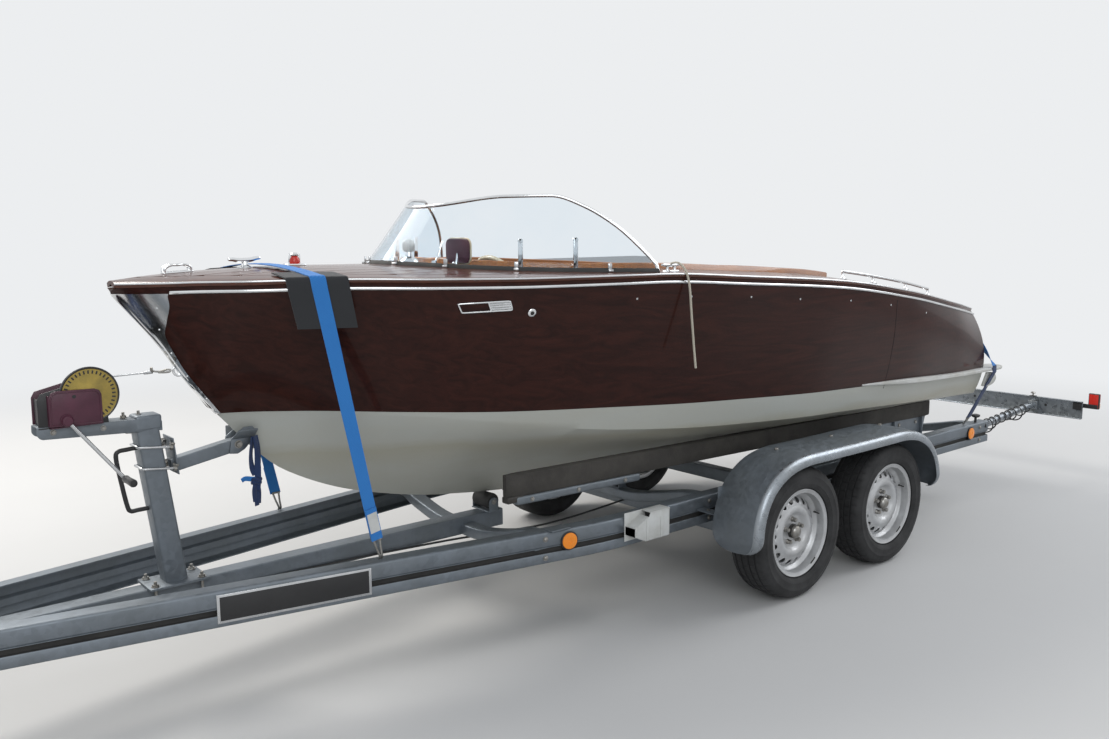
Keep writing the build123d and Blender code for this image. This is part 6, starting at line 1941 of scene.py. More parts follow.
def makeStraps():
    v = strapMake
    build = Build(strapBlue, shadedStrapBlue, steelBolt, whitePlastic, sleeveCloth, dullChrome)
    wide = Vector((1, 0, 0))
    half = v["width"] / 2
    for side in (1, -1):
        foot = Vector((v["footX"], side * v["footY"], 0.486))
        top = overEdge(0.0, side, 0.006, 0, 1.4)[-1]
        top = top + (top - foot) * ((1.5485 - 0.03 - top.z) / (top.z - foot.z))
        end = top.lerp(foot, 0.925)
        band(build, steps(-half, half, 5), side, 0.0065, v["thick"], 0.0, end.z, 0)
        band(build, steps(-v["sleeve"] / 2, v["sleeve"] / 2, 13), side, 0.0015, 0.0045, 0.37, v["sleeveEnd"],
             4)
        # folded seam and label over the hook, and the hook itself
        out = Vector((0, side * 0.0095, 0))
        webbing(build, [top.lerp(foot, t) + out * 0.5 for t in steps(0.805, 0.925, 6)], wide,
                v["width"] * 0.98, 0.003)
        webbing(build, [top.lerp(foot, t) + out * 0.72 for t in steps(0.822, 0.895, 5)], wide,
                v["width"] * 0.86, 0.0012, 3)
        hookRods(build, end, foot, Vector((0.03, 0, 0)), 2, 0.0045)
        # stern strap from the corner eye over the fin to the member
        corner = Vector((-2.748, side * 0.618, 1.128))
        fin = Vector((-2.76, side * 0.7955, 0.874))
        under = Vector((-2.761, side * 0.796, 0.838))
        foot = Vector((-2.766, side * 0.62, 0.487))
        twist = [Vector((1, 0, 0)).lerp(Vector((0.35, side * 0.9, 0)), max(0, math.sin(math.pi * t)))
                 for t in steps(0, 1, 16)]
        webbing(build, [corner.lerp(fin, t) for t in steps(0, 1, 16)], twist, lambda t: 0.034 + 0.012 * t,
                0.0026)
        # below the fin the strap takes the darker copy of its blue, painted shade under the hull's overhang
        webbing(build, [fin.lerp(under, t) for t in steps(-0.08, 1.1, 6)], wide, 0.046, 0.0028, 1)
        end = under.lerp(foot, 0.86)
        webbing(build, [under.lerp(end, t) for t in steps(0, 1, 14)], wide, 0.047, 0.003, 1)
        webbing(build, [under.lerp(foot, t) + Vector((0, side * 0.003, 0)) for t in steps(0.6, 0.86, 6)],
                wide, 0.046, 0.0032, 1)
        hookRods(build, end, foot, Vector((0.03, 0, 0)), 2, 0.0045)
        eye = [corner + Vector((0.012 + 0.02 * math.cos(a), 0, 0.016 + 0.02 * math.sin(a)))
               for a in steps(0, 2 * math.pi * 15 / 16, 16)]
        build.tube(eye, 0.0045, 8, 5, loop=True)
        build.block((-2.7345, side * 0.618 - 0.02, 1.125), (-2.7295, side * 0.618 + 0.02, 1.185), 0.002, 5)
    # spare length, folded and tied under the cradle, mostly in the darker copy of the strap blue as painted shade
    random.seed(5)
    top = Vector((1.608, 0.046, 0.938))
    lows = ((-0.016, -0.007, 0.155), (0.017, 0.006, 0.15), (-0.004, 0.01, 0.21))
    for k, (dx, dy, drop) in enumerate(lows):
        loop = [top + Vector((dx * 0.2, dy * 0.4, 0.0)), top + Vector((dx * 0.9, dy, -drop * 0.28)),
                top + Vector((dx * 1.15, dy, -drop * 0.55)), top + Vector((dx * 0.9, dy * 0.8, -drop * 0.8)),
                top + Vector((dx * 0.15, dy * 0.4, -drop))]
        lean = [Vector((0.8 + 0.2 * math.cos(2.2 * t + k), 0.6 * math.sin(2.5 * t + k), 0))
                for t in steps(0, 1, 21)]
        webbing(build, curved(loop, 5), lean, 0.024, 0.003, 1)
    knot = top + Vector((0.0, 0.0, -0.168))
    for dz, spread in ((0.0, 0.018), (-0.012, 0.016)):
        ring = [knot + Vector((spread * math.cos(a), spread * 0.62 * math.sin(a),
                               dz + 0.004 * math.sin(2 * a))) for a in steps(0, 2 * math.pi * 23 / 24, 24)]
        build.tube(ring, 0.0062, 8, 1, loop=True)
    tail = [knot, knot + Vector((0.02, 0.004, 0.004)), knot + Vector((0.046, 0.006, 0.01)),
            knot + Vector((0.06, 0.006, 0.004))]
    webbing(build, curved(tail, 4), Vector((0, 0.3, 1)), 0.02, 0.0026, 0)
    for dx, dy, drop in ((-0.008, -0.004, 0.098), (0.009, 0.005, 0.086), (0.001, 0.0, 0.105)):
        hang = [knot + Vector((dx * 0.3, dy, -0.004)), knot + Vector((dx * 1.4, dy * 1.4, -drop * 0.5)),
                knot + Vector((dx * 0.9, dy * 0.5, -drop))]
        webbing(build, curved(hang, 6), Vector((0.9, 0.4, 0)), 0.022, 0.0032, 1)
    build.done("tieStraps", whole, ("straps", "strap_sleeves"), sharp=50)


makeStraps()
print("straps tied")

# fittings on deck, lengthwise places in the boat's frame
fittingMake = {"chock": 1.846, "cleat": 1.591, "lamp": 1.39, "vent": -1.58, "sideCleat": 0.096,
               "sideY": 0.789, "rails": (-1.99, -1.7, -1.36, -1.08), "railIn": 0.075, "railHigh": 0.038,
               "railRadius": 0.008}


def onDeck(x, y=0.0):
    # matrix that stands a fitting on the crowned deck, its length along the boat
    a, b = deckTop(x - 0.03, y), deckTop(x + 0.03, y)
    return Matrix.Translation((x, y, deckTop(x, y))) @ Matrix.Rotation(-math.atan2(b - a, 0.06), 4, "Y")


def makeFittings():
    v = fittingMake
    build = Build(chrome, blackPlastic, redLens, dullChrome, whitePlastic)
    # bow chock with two horns
    at = onDeck(v["chock"])
    build.block((-0.055, -0.0165, -0.004), (0.055, 0.0165, 0.008), 0.005, 0, at, 3)
    for side in (1, -1):
        horn = [at @ Vector((-0.046, side * 0.012, 0.004)), at @ Vector((-0.044, side * 0.014, 0.02)),
                at @ Vector((-0.022, side * 0.013, 0.029)), at @ Vector((0.0, side * 0.008, 0.028)),
                at @ Vector((0.024, side * 0.013, 0.029)), at @ Vector((0.045, side * 0.014, 0.02)),
                at @ Vector((0.047, side * 0.012, 0.004))]
        build.tube(curved(horn, 5), 0.0048, 10)
    # bow cleat
    at = onDeck(v["cleat"])
    build.turn([(0, -0.004), (0.03, -0.004), (0.03, 0.003), (0.022, 0.007), (0.012, 0.012), (0.01, 0.024),
                (0, 0.03)],
               at.translation, (0, 0, 1), 32)
    bar = [at @ Vector((x, 0, z)) for x, z in ((-0.063, 0.034), (-0.045, 0.0335), (-0.02, 0.029),
                                               (0.02, 0.029), (0.045, 0.0335), (0.063, 0.034))]
    build.tube(curved(bar, 5), lambda t: 0.0045 + 0.0045 * math.sin(math.pi * t) ** 0.6, 14)
    # bow lamp, port half red
    at = onDeck(v["lamp"])
    build.block((-0.042, -0.024, -0.004), (0.042, 0.024, 0.008), 0.006, 0, at, 3)
    for side, look in ((1, 2), (-1, 4)):
        lens = [(0.0, 0.006)] + [(0.0215 * math.cos(a), 0.012 + 0.03 * math.sin(a))
                                 for a in steps(-0.2, 1.2, 9)] + [(0, 0.04)]
        rings = []
        for a in steps(0, math.pi, 15):
            rings.append([at @ Vector((r * math.cos(a), side * r * math.sin(a) + side * 0.0004, h)) for r,
                          h in lens])
        build.rings(rings, look)
    build.block((-0.024, -0.0022, 0.006), (0.024, 0.0022, 0.047), 0.001, 0, at)
    build.turn([(0, 0.036), (0.016, 0.037), (0.0175, 0.042), (0.012, 0.049), (0, 0.0505)], at.translation,
               (0, 0, 1), 28)
    # black intake behind the cockpit with its bright cap
    at = onDeck(v["vent"])
    shell = [(-0.045, 0.002), (-0.04, 0.016), (-0.022, 0.0235), (0.012, 0.0268), (0.038, 0.0262),
             (0.045, 0.022)]
    rings = []
    for x, h in shell:
        ring = []
        for a in steps(0, math.pi, 13):
            ring.append(at @ Vector((x, 0.035 * math.cos(a), -0.002 + h * math.sin(a) ** 0.55)))
        rings.append(ring)
    build.rings(rings, 1)
    build.turn([(0, 0), (0.0165, 0), (0.0165, 0.01), (0.0135, 0.0165), (0.006, 0.0195), (0, 0.02)],
               onDeck(v["vent"] - 0.072).translation - Vector((0, 0, 0.002)), (0, 0, 1), 30)
    # side cleats
    for side in (1, -1):
        x, y = v["sideCleat"], side * v["sideY"]
        base = Vector((x, y, deckTop(x, abs(y))))
        build.block((x - 0.04, y - 0.011, base.z - 0.006), (x + 0.04, y + 0.011, base.z + 0.005), 0.004)
        for dx in (-0.022, 0.022):
            build.turn([(0, 0), (0.0085, 0), (0.0062, 0.008), (0.0062, 0.02), (0, 0.022)],
                       base + Vector((dx, 0, 0)), (0, 0, 1), 18)
        bar = [base + Vector((dx, 0, z)) for dx, z in ((-0.054, 0.028), (-0.036, 0.0265), (0, 0.0245),
                                                       (0.036, 0.0265), (0.054, 0.028))]
        build.tube(curved(bar, 5), lambda t: 0.004 + 0.0035 * math.sin(math.pi * t) ** 0.6, 12)
    build.done("deckFittings", whole, ("deck_fittings",), sharp=45)
    rails = Build(chrome)
    for side in (1, -1):
        tops = []
        for x in v["rails"]:
            y = Row(x).sheerY - v["railIn"]
            z = deckTop(x, y)
            tops.append(Vector((x, side * y, z + v["railHigh"])))
            rails.turn([(0, -0.002), (0.019, -0.002), (0.019, 0.0025), (0.013, 0.005), (0.008, 0.014),
                        (0.0062, 0.026), (0.0068, v["railHigh"]), (0, v["railHigh"])],
                       (x, side * y, z), (0, 0, 1), 24)
        path = curved(tops, 10)
        rails.tube(path, v["railRadius"], 14)
        for tip in (path[0], path[-1]):
            rails.turn([(0, -0.007), (0.0055, -0.0055), (0.008, 0), (0.0055, 0.0055), (0, 0.007)], tip,
                       (0, 0, 1), 16)
    rails.done("handrails", whole, ("handrails",), sharp=45)


makeFittings()


def onSide(x, z, lift=0.0):
    # place and outward direction on the port topsides
    row = Row(x)
    y = row.breadth(z)
    along = Vector((0.04, Row(x + 0.02).breadth(z) - Row(x - 0.02).breadth(z), 0)).normalized()
    up = Vector((0, row.breadth(z + 0.02) - row.breadth(z - 0.02), 0.04)).normalized()
    out = up.cross(along).normalized()
    if out.y < 0:
        out = -out
    return Vector((x, y, z)) + out * lift, out


def makeTopsideDetails():
    build = Build(chrome, blackPlastic, caulk, dullChrome)
    # slanted grille, its after part louvred
    corners = ((1.036, 1.4445), (0.85, 1.45), (0.834, 1.415), (1.016, 1.41))
    ring = []
    for (x0, z0), (x1, z1) in zip(corners, corners[1:] + corners[:1]):
        ring += [onSide(x0 + (x1 - x0) * t, z0 + (z1 - z0) * t, 0.004)[0]
                 for t in (0.04, 0.3, 0.5, 0.7, 0.96)]
    build.tube(ring, 0.0036, 10, 0, loop=True)
    middle = [((a[0] + b[0]) / 2 - 0.014, (a[1] + b[1]) / 2) for a,
              b in ((corners[0], corners[1]), (corners[3], corners[2]))]
    build.tube([onSide(*point, 0.004)[0] for point in middle], 0.0036, 10)
    after = [onSide(x, z, 0.001)[0] for x, z in (middle[0], corners[1], corners[2], middle[1])]
    build.prism(after, (0, 0.0014, 0), 0.0, 3)
    for share in (0.25, 0.5, 0.75):
        ends = [Vector(a).lerp(Vector(b), share) for a,
                b in ((middle[0], middle[1]), (corners[1], corners[2]))]
        build.tube([onSide(*ends[0].lerp(ends[1], t), 0.004)[0] for t in steps(0.02, 0.98, 6)], 0.0022, 8)
    # round fitting and wood plugs
    place, out = onSide(0.755, 1.4)
    build.turn([(0, -0.001), (0.0165, -0.001), (0.0165, 0.003), (0.0135, 0.0055), (0.009, 0.006), (0, 0.006)],
               place, out, 36)
    build.rod(0.008, 0.0055, 0.0067, place, out, 24, 1)
    for x in (0.3, 0.02, -0.33, -0.66, -1.05, -1.42, -1.8):
        place, out = onSide(x, Row(x).sheerZ - 0.095 - 0.012 * math.sin(9 * x))
        build.turn([(0, -0.001), (0.0055, -0.001), (0.0045, 0.0006), (0, 0.0008)], place, out, 14, 3)
    # butt joint of the side planks
    row = Row(-1.48)
    line = [onSide(-1.48, z, 0.0)[0] for z in steps(row.sheerZ - 0.06, row.chineZ + 0.1, 24)]
    build.tube(line, 0.0013, 6, 1)
    build.done("topsideDetails", whole, (), sharp=45, mirror=True)


makeTopsideDetails()
print("fittings placed")

# cockpit
cabinMake = {"floor": 0.8785, "benches": (-1.25, -0.46), "benchHalf": 0.5,
             "wheel": (0.58, 0.27, 1.4485), "tilt": math.radians(25)}


def makeCabin():
    v = cabinMake
    build = Build(cabinWood, chrome, mahogany)
    # ceiling boards along the inside of both sides
    xs = steps(-1.3, 1.05, 30)
    for low, high in ((0.3, 0.46), (0.48, 0.64), (0.66, 0.82)):
        for side in (1, -1):
            rings = []
            for x in xs:
                row = Row(x)
                (ya, za), (yb, zb) = row.side(low, -0.0235), row.side(high, -0.0235)
                rings.append([Vector((x, side * y, z)) for y,
                              z in ((ya, za), (yb, zb), (yb - 0.008, zb - 0.002), (ya - 0.008, za + 0.002))])
            build.rings(rings, 0)
    # floor boards with narrow gaps between them
    count = 13
    for k in range(count):
        y0, y1 = -0.78 + 1.56 * k / count + 0.002, -0.78 + 1.56 * (k + 1) / count - 0.002
        rings = []
        for x in steps(-1.31, 1.06, 60):
            edge = Row(x).breadth(0.862) - 0.03
            a, b = max(-edge, min(edge, y0)), max(-edge, min(edge, y1))
            if b - a > 0.006:
                rings.append([(x, a, 0.861), (x, b, 0.861), (x, b, 0.8785), (x, b - 0.0015, 0.8795),
                              (x, a + 0.0015, 0.8795), (x, a, 0.8785)])
        build.rings(rings, 0)
    # seat boxes with panelled fronts
    for x in v["benches"]:
        x0, x1, h = x + 0.06, x + 0.5, v["benchHalf"]
        build.block((x0, -h, v["floor"] + 0.001), (x1 - 0.004, h, 1.1275), 0.004, 2)
        for y0, y1 in ((-h + 0.03, -0.02), (0.02, h - 0.03)):
            build.block((x1 - 0.006, y0, 0.92), (x1 + 0.001, y1, 1.09), 0.004, 0)
            build.turn([(0, 0), (0.01, 0), (0.008, 0.008), (0.012, 0.014), (0, 0.018)],
                       (x1, (y0 + y1) / 2, 1.06), (1, 0, 0), 20, 1)
    build.done("cabinJoinery", whole, ("cockpit_floor",), sharp=40)
    # dashboard with its instruments
    dash = Build(deckWood, chrome, ivory, blackPlastic)
    slope = Matrix.Translation((0.777, 0, 1.2485)) @ Matrix.Rotation(math.atan2(0.03, 0.24), 4, "Y")
    reach = Row(0.82).breadth(1.2485) - 0.03
    rings = []
    for y in steps(-reach, reach, 26):
        rings.append([slope @ Vector(p) for p in ((-0.006, y, 0.0), (-0.0075, y, 0.004), (-0.0075, y, 0.232),
                                                  (-0.003, y, 0.24), (0.01, y, 0.24), (0.01, y, 0.0))])
    dash.rings(rings)
    for y, z, r in ((0.1, 0.135, 0.045), (0.44, 0.135, 0.045), (-0.06, 0.15, 0.027), (-0.16, 0.15, 0.027),
                    (-0.26, 0.15, 0.027), (-0.36, 0.15, 0.027)):
        place = slope @ Vector((-0.0075, y, z))
        ahead = slope.to_3x3() @ Vector((-1, 0, 0))
        dash.turn([(r * 0.86, 0.0), (r, 0.0), (r * 1.06, 0.002), (r * 1.04, 0.0065), (r * 0.94, 0.008),
                   (r * 0.88, 0.005)], place, ahead, 36, 1)
        dash.rod(r * 0.9, 0, 0.002, place, ahead, 36, 3)
        dash.turn([(0, 0.002), (r * 0.1, 0.002), (r * 0.08, 0.005), (0, 0.005)], place, ahead, 14, 1)
        facing = Matrix.Translation(place) @ ahead.to_track_quat("Z", "Y").to_matrix().to_4x4()
        for k in range(9):
            turn = facing @ Matrix.Rotation(math.radians(-130 + 260 * k / 8), 4, "Z")
            dash.block((-r * 0.02, r * 0.66, 0.0015), (r * 0.02, r * 0.82, 0.0026), 0.0, 2, turn)
        turn = facing @ Matrix.Rotation(0.9 + 3 * y, 4, "Z")
        dash.prism([turn @ Vector(p) for p in ((-r * 0.03, -r * 0.15, 0.0032), (r * 0.03, -r * 0.15, 0.0032),
                                               (0.0, r * 0.74, 0.0032))],
                   ahead * 0.0008, 0.0, 2)
    for y in steps(-0.34, 0.0, 6):
        place = slope @ Vector((-0.0075, y, 0.065))
        dash.turn([(0, 0), (0.0085, 0), (0.0085, 0.003), (0.005, 0.005), (0.0042, 0.012), (0.0065, 0.016),
                   (0, 0.018)], place,
                  slope.to_3x3() @ Vector((-1, 0, 0)), 18, 1)
    dash.done("dashboard", whole, ("dashboard",), sharp=40)


makeCabin()


def makeHelm():
    v = cabinMake
    build = Build(ivory, chrome, dullChrome)
    turn = Matrix.Translation(v["wheel"]) @ Matrix.Rotation(-math.pi / 2 + v["tilt"], 4, "Y")
    axis = turn.to_3x3() @ Vector((0, 0, 1))
    rim = [turn @ Vector((0.165 * math.cos(a), 0.165 * math.sin(a), 0)) for a in around(96)]
    rings = []
    for k, (centre, right, up) in enumerate(frames(rim, True)):
        r = 0.0104 + 0.0006 * math.cos(8 * math.pi * k / 8)
        rings.append([centre + (right * math.cos(b) + up * math.sin(b)) * r for b in around(14)])
    build.rings(rings, 0, loop=True)
    for a in (math.pi / 2, math.pi / 2 + 2 * math.pi / 3, math.pi / 2 + 4 * math.pi / 3):
        for dy in (-0.007, 0.0, 0.007):
            d, n = Vector((math.cos(a), math.sin(a), 0)), Vector((-math.sin(a), math.cos(a), 0))
            path = [turn @ (d * 0.022 + n * dy * 0.6 + Vector((0, 0, -0.008))),
                    turn @ (d * 0.08 + n * dy + Vector((0, 0, -0.0055))),
                    turn @ (d * 0.158 + n * dy * 1.2 + Vector((0, 0, -0.002)))]
            build.tube(curved(path, 5), 0.0026, 8, 1)
    at = turn.translation
    build.turn([(0, -0.016), (0.024, -0.016), (0.032, -0.01), (0.032, 0.0), (0.027, 0.006), (0, 0.007)], at,
               axis, 40, 0)
    build.turn([(0, 0.005), (0.017, 0.005), (0.015, 0.0085), (0, 0.0098)], at, axis, 32, 1)
    build.turn([(0, -0.26), (0.014, -0.26), (0.014, -0.03), (0.018, -0.02), (0.018, -0.012), (0, -0.012)], at,
               axis, 24, 2)
    build.done("steeringWheel", "steering_wheel", ("steering_wheel",), sharp=45)


makeHelm()
print("cockpit built")

# padded benches
seatMake = {"half": 0.545, "low": 0.8785, "frames": 20, "pressure": 4.0, "cap": 0.022, "rolls": 9,
            "pads": (("Cushion", (0.095, 0.262), (0.55, 0.272), (0.55, 0.368), (0.095, 0.344)),
                     ("Back", (0.012, 0.262), (0.076, 0.262), (0.064, 0.596), (0.014, 0.596)))}


def swell(obj, cap):
    # inflate a closed mesh with the cloth solver, no point moving further than the cap
    first = [v.co.copy() for v in obj.data.vertices]
    cloth = obj.modifiers.new("padding", "CLOTH")
    cloth.settings.use_pressure = True
    cloth.settings.uniform_pressure_force = seatMake["pressure"]
    cloth.settings.effector_weights.gravity = 0
    cloth.settings.quality = 5
    cloth.point_cache.frame_start, cloth.point_cache.frame_end = 1, seatMake["frames"]
    for number in range(1, seatMake["frames"] + 1):
        scene.frame_set(number)
    shape = obj.evaluated_get(bpy.context.evaluated_depsgraph_get()).to_mesh()
    moved = [v.co.copy() for v in shape.vertices]
    obj.modifiers.remove(cloth)
    scene.frame_set(1)
    for vertex, a, b in zip(obj.data.vertices, first, moved):
        step = b - a
        vertex.co = a + step * min(1.0, cap / max(step.length, 1e-9))


def makeSeats():
    v = seatMake
    for place, label in zip(cabinMake["benches"], ("rear", "front")):
        for part, *corners in v["pads"]:
            build = Build(redLeather)
            y = v["half"]
            outline = [(place + x, -y, v["low"] + z) for x, z in corners]
            build.prism(outline, (0, 2 * y, 0), 0.014, 0, None, 3)
            pad = build.done(label + part, whole, (), sharp=180)
            bpy.context.view_layer.objects.active = pad
            remesh = pad.modifiers.new("even", "REMESH")
            remesh.mode, remesh.voxel_size, remesh.use_smooth_shade = "VOXEL", 0.0115, True
            finish(pad)
            swell(pad, v["cap"])
            # sewn channels press into the padding across the bench
            lying = part == "Cushion"
            for vertex in pad.data.vertices:
                across = vertex.co.y / (2 * y) * v["rolls"]
                groove = abs(across - round(across)) * 2
                depth = 0.01 * math.exp(-((1 - groove) / 0.1) ** 2)
                x = vertex.co.x - place
                if lying and vertex.co.z > v["low"] + 0.32 and 0.13 < x < 0.52:
                    vertex.co.z -= depth
                elif not lying and vertex.co.x > place + 0.045 and v["low"] + 0.3 < vertex.co.z < v["low"] + 0.57:
                    vertex.co.x -= depth
            smooth = pad.modifiers.new("smooth", "SUBSURF")
            smooth.levels = smooth.render_levels = 1
            finish(pad)
            pad.data.polygons.foreach_set("use_smooth", [True] * len(pad.data.polygons))
    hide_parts("seat_cushions")


def finish(obj):
    # write the modifiers into the mesh
    shape = bpy.data.meshes.new_from_object(obj.evaluated_get(bpy.context.evaluated_depsgraph_get()))
    old, looks = obj.data, list(obj.data.materials)
    obj.modifiers.clear()
    obj.data = shape
    if not len(shape.materials):
        for look in looks:
            shape.materials.append(look)
    bpy.data.meshes.remove(old)


makeSeats()
print("benches padded")

# engine, shaft, propeller and rudder
driveMake = {"axis": (-0.9882, 0.0, -0.1532), "start": (-1.7, 0.4679), "propeller": (-2.4, 0.3594),
             "strut": (-2.28, 0.378), "shaft": 0.0125, "blade": 0.118, "rudder": -2.58, "keel": 0.499}


def makeEngine():
    build = Build(engineIron, blackPlastic, rubber, chrome, bronze, cabinWood)
    low = 0.6485
    for side in (1, -1):
        y0, y1 = sorted((side * 0.178, side * 0.222))
        build.block((-2.265, y0, 0.585), (-1.435, y1, low - 0.002), 0.006, 5)
        for x in (-2.08, -1.62):
            build.block((x - 0.05, side * 0.2 - 0.03, low - 0.004),
                        (x + 0.05, side * 0.2 + 0.03, low + 0.012), 0.003, 2)
            build.tube([(x, side * 0.2, low + 0.01), (x, side * 0.185, low + 0.09),
                        (x, side * 0.13, low + 0.12)], 0.018, 10)
            bolt(build, (x, side * 0.2, low + 0.012), (0, 0, 1), 0.011, 3)
    # crankcase, block and heads
    case = ((-2.02, 0.1), (-1.98, 0.13), (-1.56, 0.14), (-1.52, 0.11))
    rings = []
    for x, half in case:
        rings.append([(x, y * half, low + z) for y,
                      z in ((-1, 0.06), (-0.7, 0.005), (0.7, 0.005), (1, 0.06), (1.12, 0.17), (0.9, 0.25),
                            (-0.9, 0.25), (-1.12, 0.17))])
    build.rings(rings, 0, smooth=False)
    for side in (1, -1):
        lean = Matrix.Translation((-1.77, side * 0.075,
                                   low + 0.23)) @ Matrix.Rotation(-side * math.radians(36), 4, "X")
        build.block((-0.225, -0.06, -0.02), (0.225, 0.06, 0.105), 0.012, 0, lean, 3)
        build.block((-0.215, -0.052, 0.105), (0.215, 0.052, 0.155), 0.018, 4, lean, 4)
        for x in (-0.14, 0.0, 0.14):
            build.turn([(0, 0), (0.009, 0), (0.006, 0.012), (0, 0.013)], lean @ Vector((x, 0, 0.155)),
                       lean.to_3x3() @ Vector((0, 0, 1)), 16, 3)
        # exhaust manifold with its risers
        pipe = [Vector((-1.58, side * 0.205, low + 0.235)), Vector((-1.9, side * 0.205, low + 0.23)),
                Vector((-2.02, side * 0.195, low + 0.215)), Vector((-2.09, side * 0.175, low + 0.16)),
                Vector((-2.12, side * 0.165, low + 0.08))]
        build.tube(curved(pipe, 6), 0.027, 16, 2)
        for x in (-1.63, -1.74, -1.85):
            build.tube(curved([(x, side * 0.15, low + 0.285), (x, side * 0.185, low + 0.275),
                               (x, side * 0.205, low + 0.24)], 4), 0.017, 12)
        for x in (-1.66, -1.73, -1.8, -1.87):
            lead = [lean @ Vector((x + 1.77, side * 0.052, 0.06)), Vector((x, side * 0.165, low + 0.345)),
                    Vector((x * 0.5 - 0.93, side * 0.09, low + 0.425)),
                    Vector((-1.97, side * 0.02, low + 0.395))]
            build.tube(curved(lead, 6), 0.0035, 8, 1)
    # carburettor, air cleaner, distributor, oil filler
    build.block((-1.86, -0.05, low + 0.24), (-1.68, 0.05, low + 0.335), 0.012, 0, None, 3)
    build.turn([(0, 0.33), (0.04, 0.33), (0.038, 0.365), (0.05, 0.372), (0.05, 0.378), (0, 0.378)],
               (-1.77, 0, low), (0, 0, 1), 32, 4)
    build.turn([(0, 0.378), (0.098, 0.378), (0.108, 0.386), (0.108, 0.428), (0.098, 0.44), (0.06, 0.446),
                (0.02, 0.448), (0.014, 0.462), (0, 0.464)],
               (-1.77, 0, low), (0, 0, 1), 48, 1)
    build.turn([(0.1085, 0.394), (0.1105, 0.396), (0.1105, 0.42), (0.1085, 0.422)], (-1.77, 0, low),
               (0, 0, 1), 48, 3)
    build.turn([(0, 0.24), (0.022, 0.24), (0.026, 0.33), (0.036, 0.345), (0.034, 0.385), (0, 0.395)],
               (-1.97, 0, low), (0, 0, 1), 28, 1)
    # pulley, belt and alternator at the forward end, reverse gear aft
    for x, y, z, r in ((-1.495, 0.0, 0.115, 0.075), (-1.495, 0.0, 0.285, 0.052),
                       (-1.495, 0.165, 0.215, 0.036)):
        build.turn([(0, -0.01), (r, -0.01), (r - 0.007, 0.0), (r, 0.01), (r * 0.6, 0.012), (r * 0.55, 0.006),
                    (0, 0.006)], (x, y, low + z), (1, 0, 0), 36)
    belt = []
    for (y0, z0, r0), (y1, z1, r1) in zip(((0, 0.115, 0.075), (0.165, 0.215, 0.036), (0, 0.285, 0.052)),
                                         ((0.165, 0.215, 0.036), (0, 0.285, 0.052), (0, 0.115, 0.075))):
        way = Vector((y1 - y0, z1 - z0)).normalized()
        out = Vector((way.y, -way.x))
        belt += [Vector((-1.495, y0 + out.x * r0, low + z0 + out.y * r0)),
                 Vector((-1.495, y1 + out.x * r1, low + z1 + out.y * r1))]
    build.tube(belt, 0.0055, 8, 2, loop=True)
    build.turn([(0, -0.11), (0.05, -0.11), (0.056, -0.1), (0.056, -0.02), (0.045, -0.012), (0, -0.012)],
               (-1.495, 0.165, low + 0.215), (1, 0, 0), 32, 3)
    gear = [(0, 0), (0.1, 0), (0.104, 0.02), (0.086, 0.05), (0.078, 0.13), (0.052, 0.155), (0.04, 0.19),
            (0, 0.19)]
    build.turn(gear, (-2.01, 0, low + 0.11), (-1, 0, 0), 40)
    build.done("engine", whole, ("engine_block",), sharp=38)


